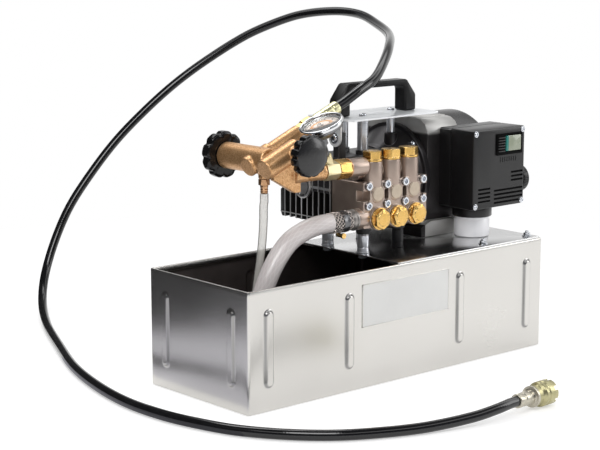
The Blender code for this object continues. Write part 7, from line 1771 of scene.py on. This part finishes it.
CAN_LOW, CAN_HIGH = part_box("start_capacitor")
can_middle = ((CAN_LOW[0] + CAN_HIGH[0]) / 2, (CAN_LOW[1] + CAN_HIGH[1]) / 2, 0)
can_profile = [(0, CAN_LOW[2])]
for step in range(0, 7):
    angle = math.pi / 2 * step / 6
    can_profile.append((0.0208 + 0.0022 * math.sin(angle), CAN_LOW[2] + 0.0022 - 0.0022 * math.cos(angle)))
can_profile += [(0.0230, 0.1686), (0.0225, 0.1694), (0.0225, 0.1702), (0.0230, 0.1710),
                (0.0230, CAN_HIGH[2] - 0.0006), (0.0224, CAN_HIGH[2]), (0, CAN_HIGH[2])]
can_piece = make_piece("capacitor_can", turned(can_profile, can_middle, Z_AXIS, 128), satin_can())
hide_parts("start_capacitor")


# Top plate: a stainless plate on three plated posts carries the handle. Its left edge turns down
# as a rounded lug, which a button-head screw holds to the crankcase.
def satin_plate():
    return brushed("satin_plate", (14, 900, 900), (0.70, 0.72, 0.74), (0.80, 0.82, 0.84), "Streaks",
                   (0.24, 0.36), 0.4, 0.05, (0.0006, 60.0, 0.5, (0.82, 0.82, 0.83)))


plate_steel = satin_plate()
plate_piece = dressed_copy("top_plate", "top_plate_sheet", plate_steel, 0.0005)
LUG_CENTRE = (-0.0190, 0.0172, 0.2870)
washer_profile = [(0.0050, 0.00005), (0.0072, 0.00005), (0.0072, 0.0010), (0.0050, 0.0010)]
washer_shape = turned(eased(washer_profile, 0.0002), LUG_CENTRE, -X_AXIS, 64)
turned([(0, 0.0001), (0.0050, 0.0001), (0.0050, 0.0014), (0.0045, 0.0024), (0.0036, 0.0031),
        (0.0024, 0.0033), (0.0016, 0.0033), (0.0016, 0.0016), (0, 0.0016)], LUG_CENTRE, -X_AXIS, 64,
       washer_shape)
make_piece("lug_screw", washer_shape, zinc)


# Posts and screws: turned and plated posts, each drilled for a button-head screw that passes
# through the plate. Two more such screws come up from below into the handle.
POSTS = ((0.0325, 0.0210, 0.0070), (0.0325, 0.0580, 0.0070), (0.1050, 0.0450, 0.0050))
screw_shape = bmesh.new()
for number, (x, y, radius) in enumerate(POSTS, 1):
    node = "plate_post_%d" % number
    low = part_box(node)[0][2]
    height = 0.3088 - low
    shape = rod(radius, height, 0.0006, (x, y, low), Z_AXIS, 64)
    turned([(0, -0.0022), (0.0026, -0.0022), (0.0026, 0.0001), (0.0048, 0.0001), (0.0048, 0.0009),
            (0.0044, 0.0018), (0.0034, 0.0025), (0.0022, 0.0028), (0.0015, 0.0028), (0.0015, 0.0012),
            (0, 0.0012)], (x, y, 0.3110), Z_AXIS, 48, screw_shape)
    piece = make_piece("post_%d" % number, shape, spacer_steel)
    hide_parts(node)
make_piece("plate_screws", screw_shape, zinc)


# Carrying handle: a moulded black bridge handle. Its legs are boxes with chamfered shoulders, and
# the grip bar between them is slimmer, with eased edges.
handle_black = moulded_black("handle_black", 0.005, 0.010, 0.24, 0.38, 0.14, 0.15)
handle_piece = dressed_copy("carry_handle", "handle_moulding", handle_black, 0.0008)
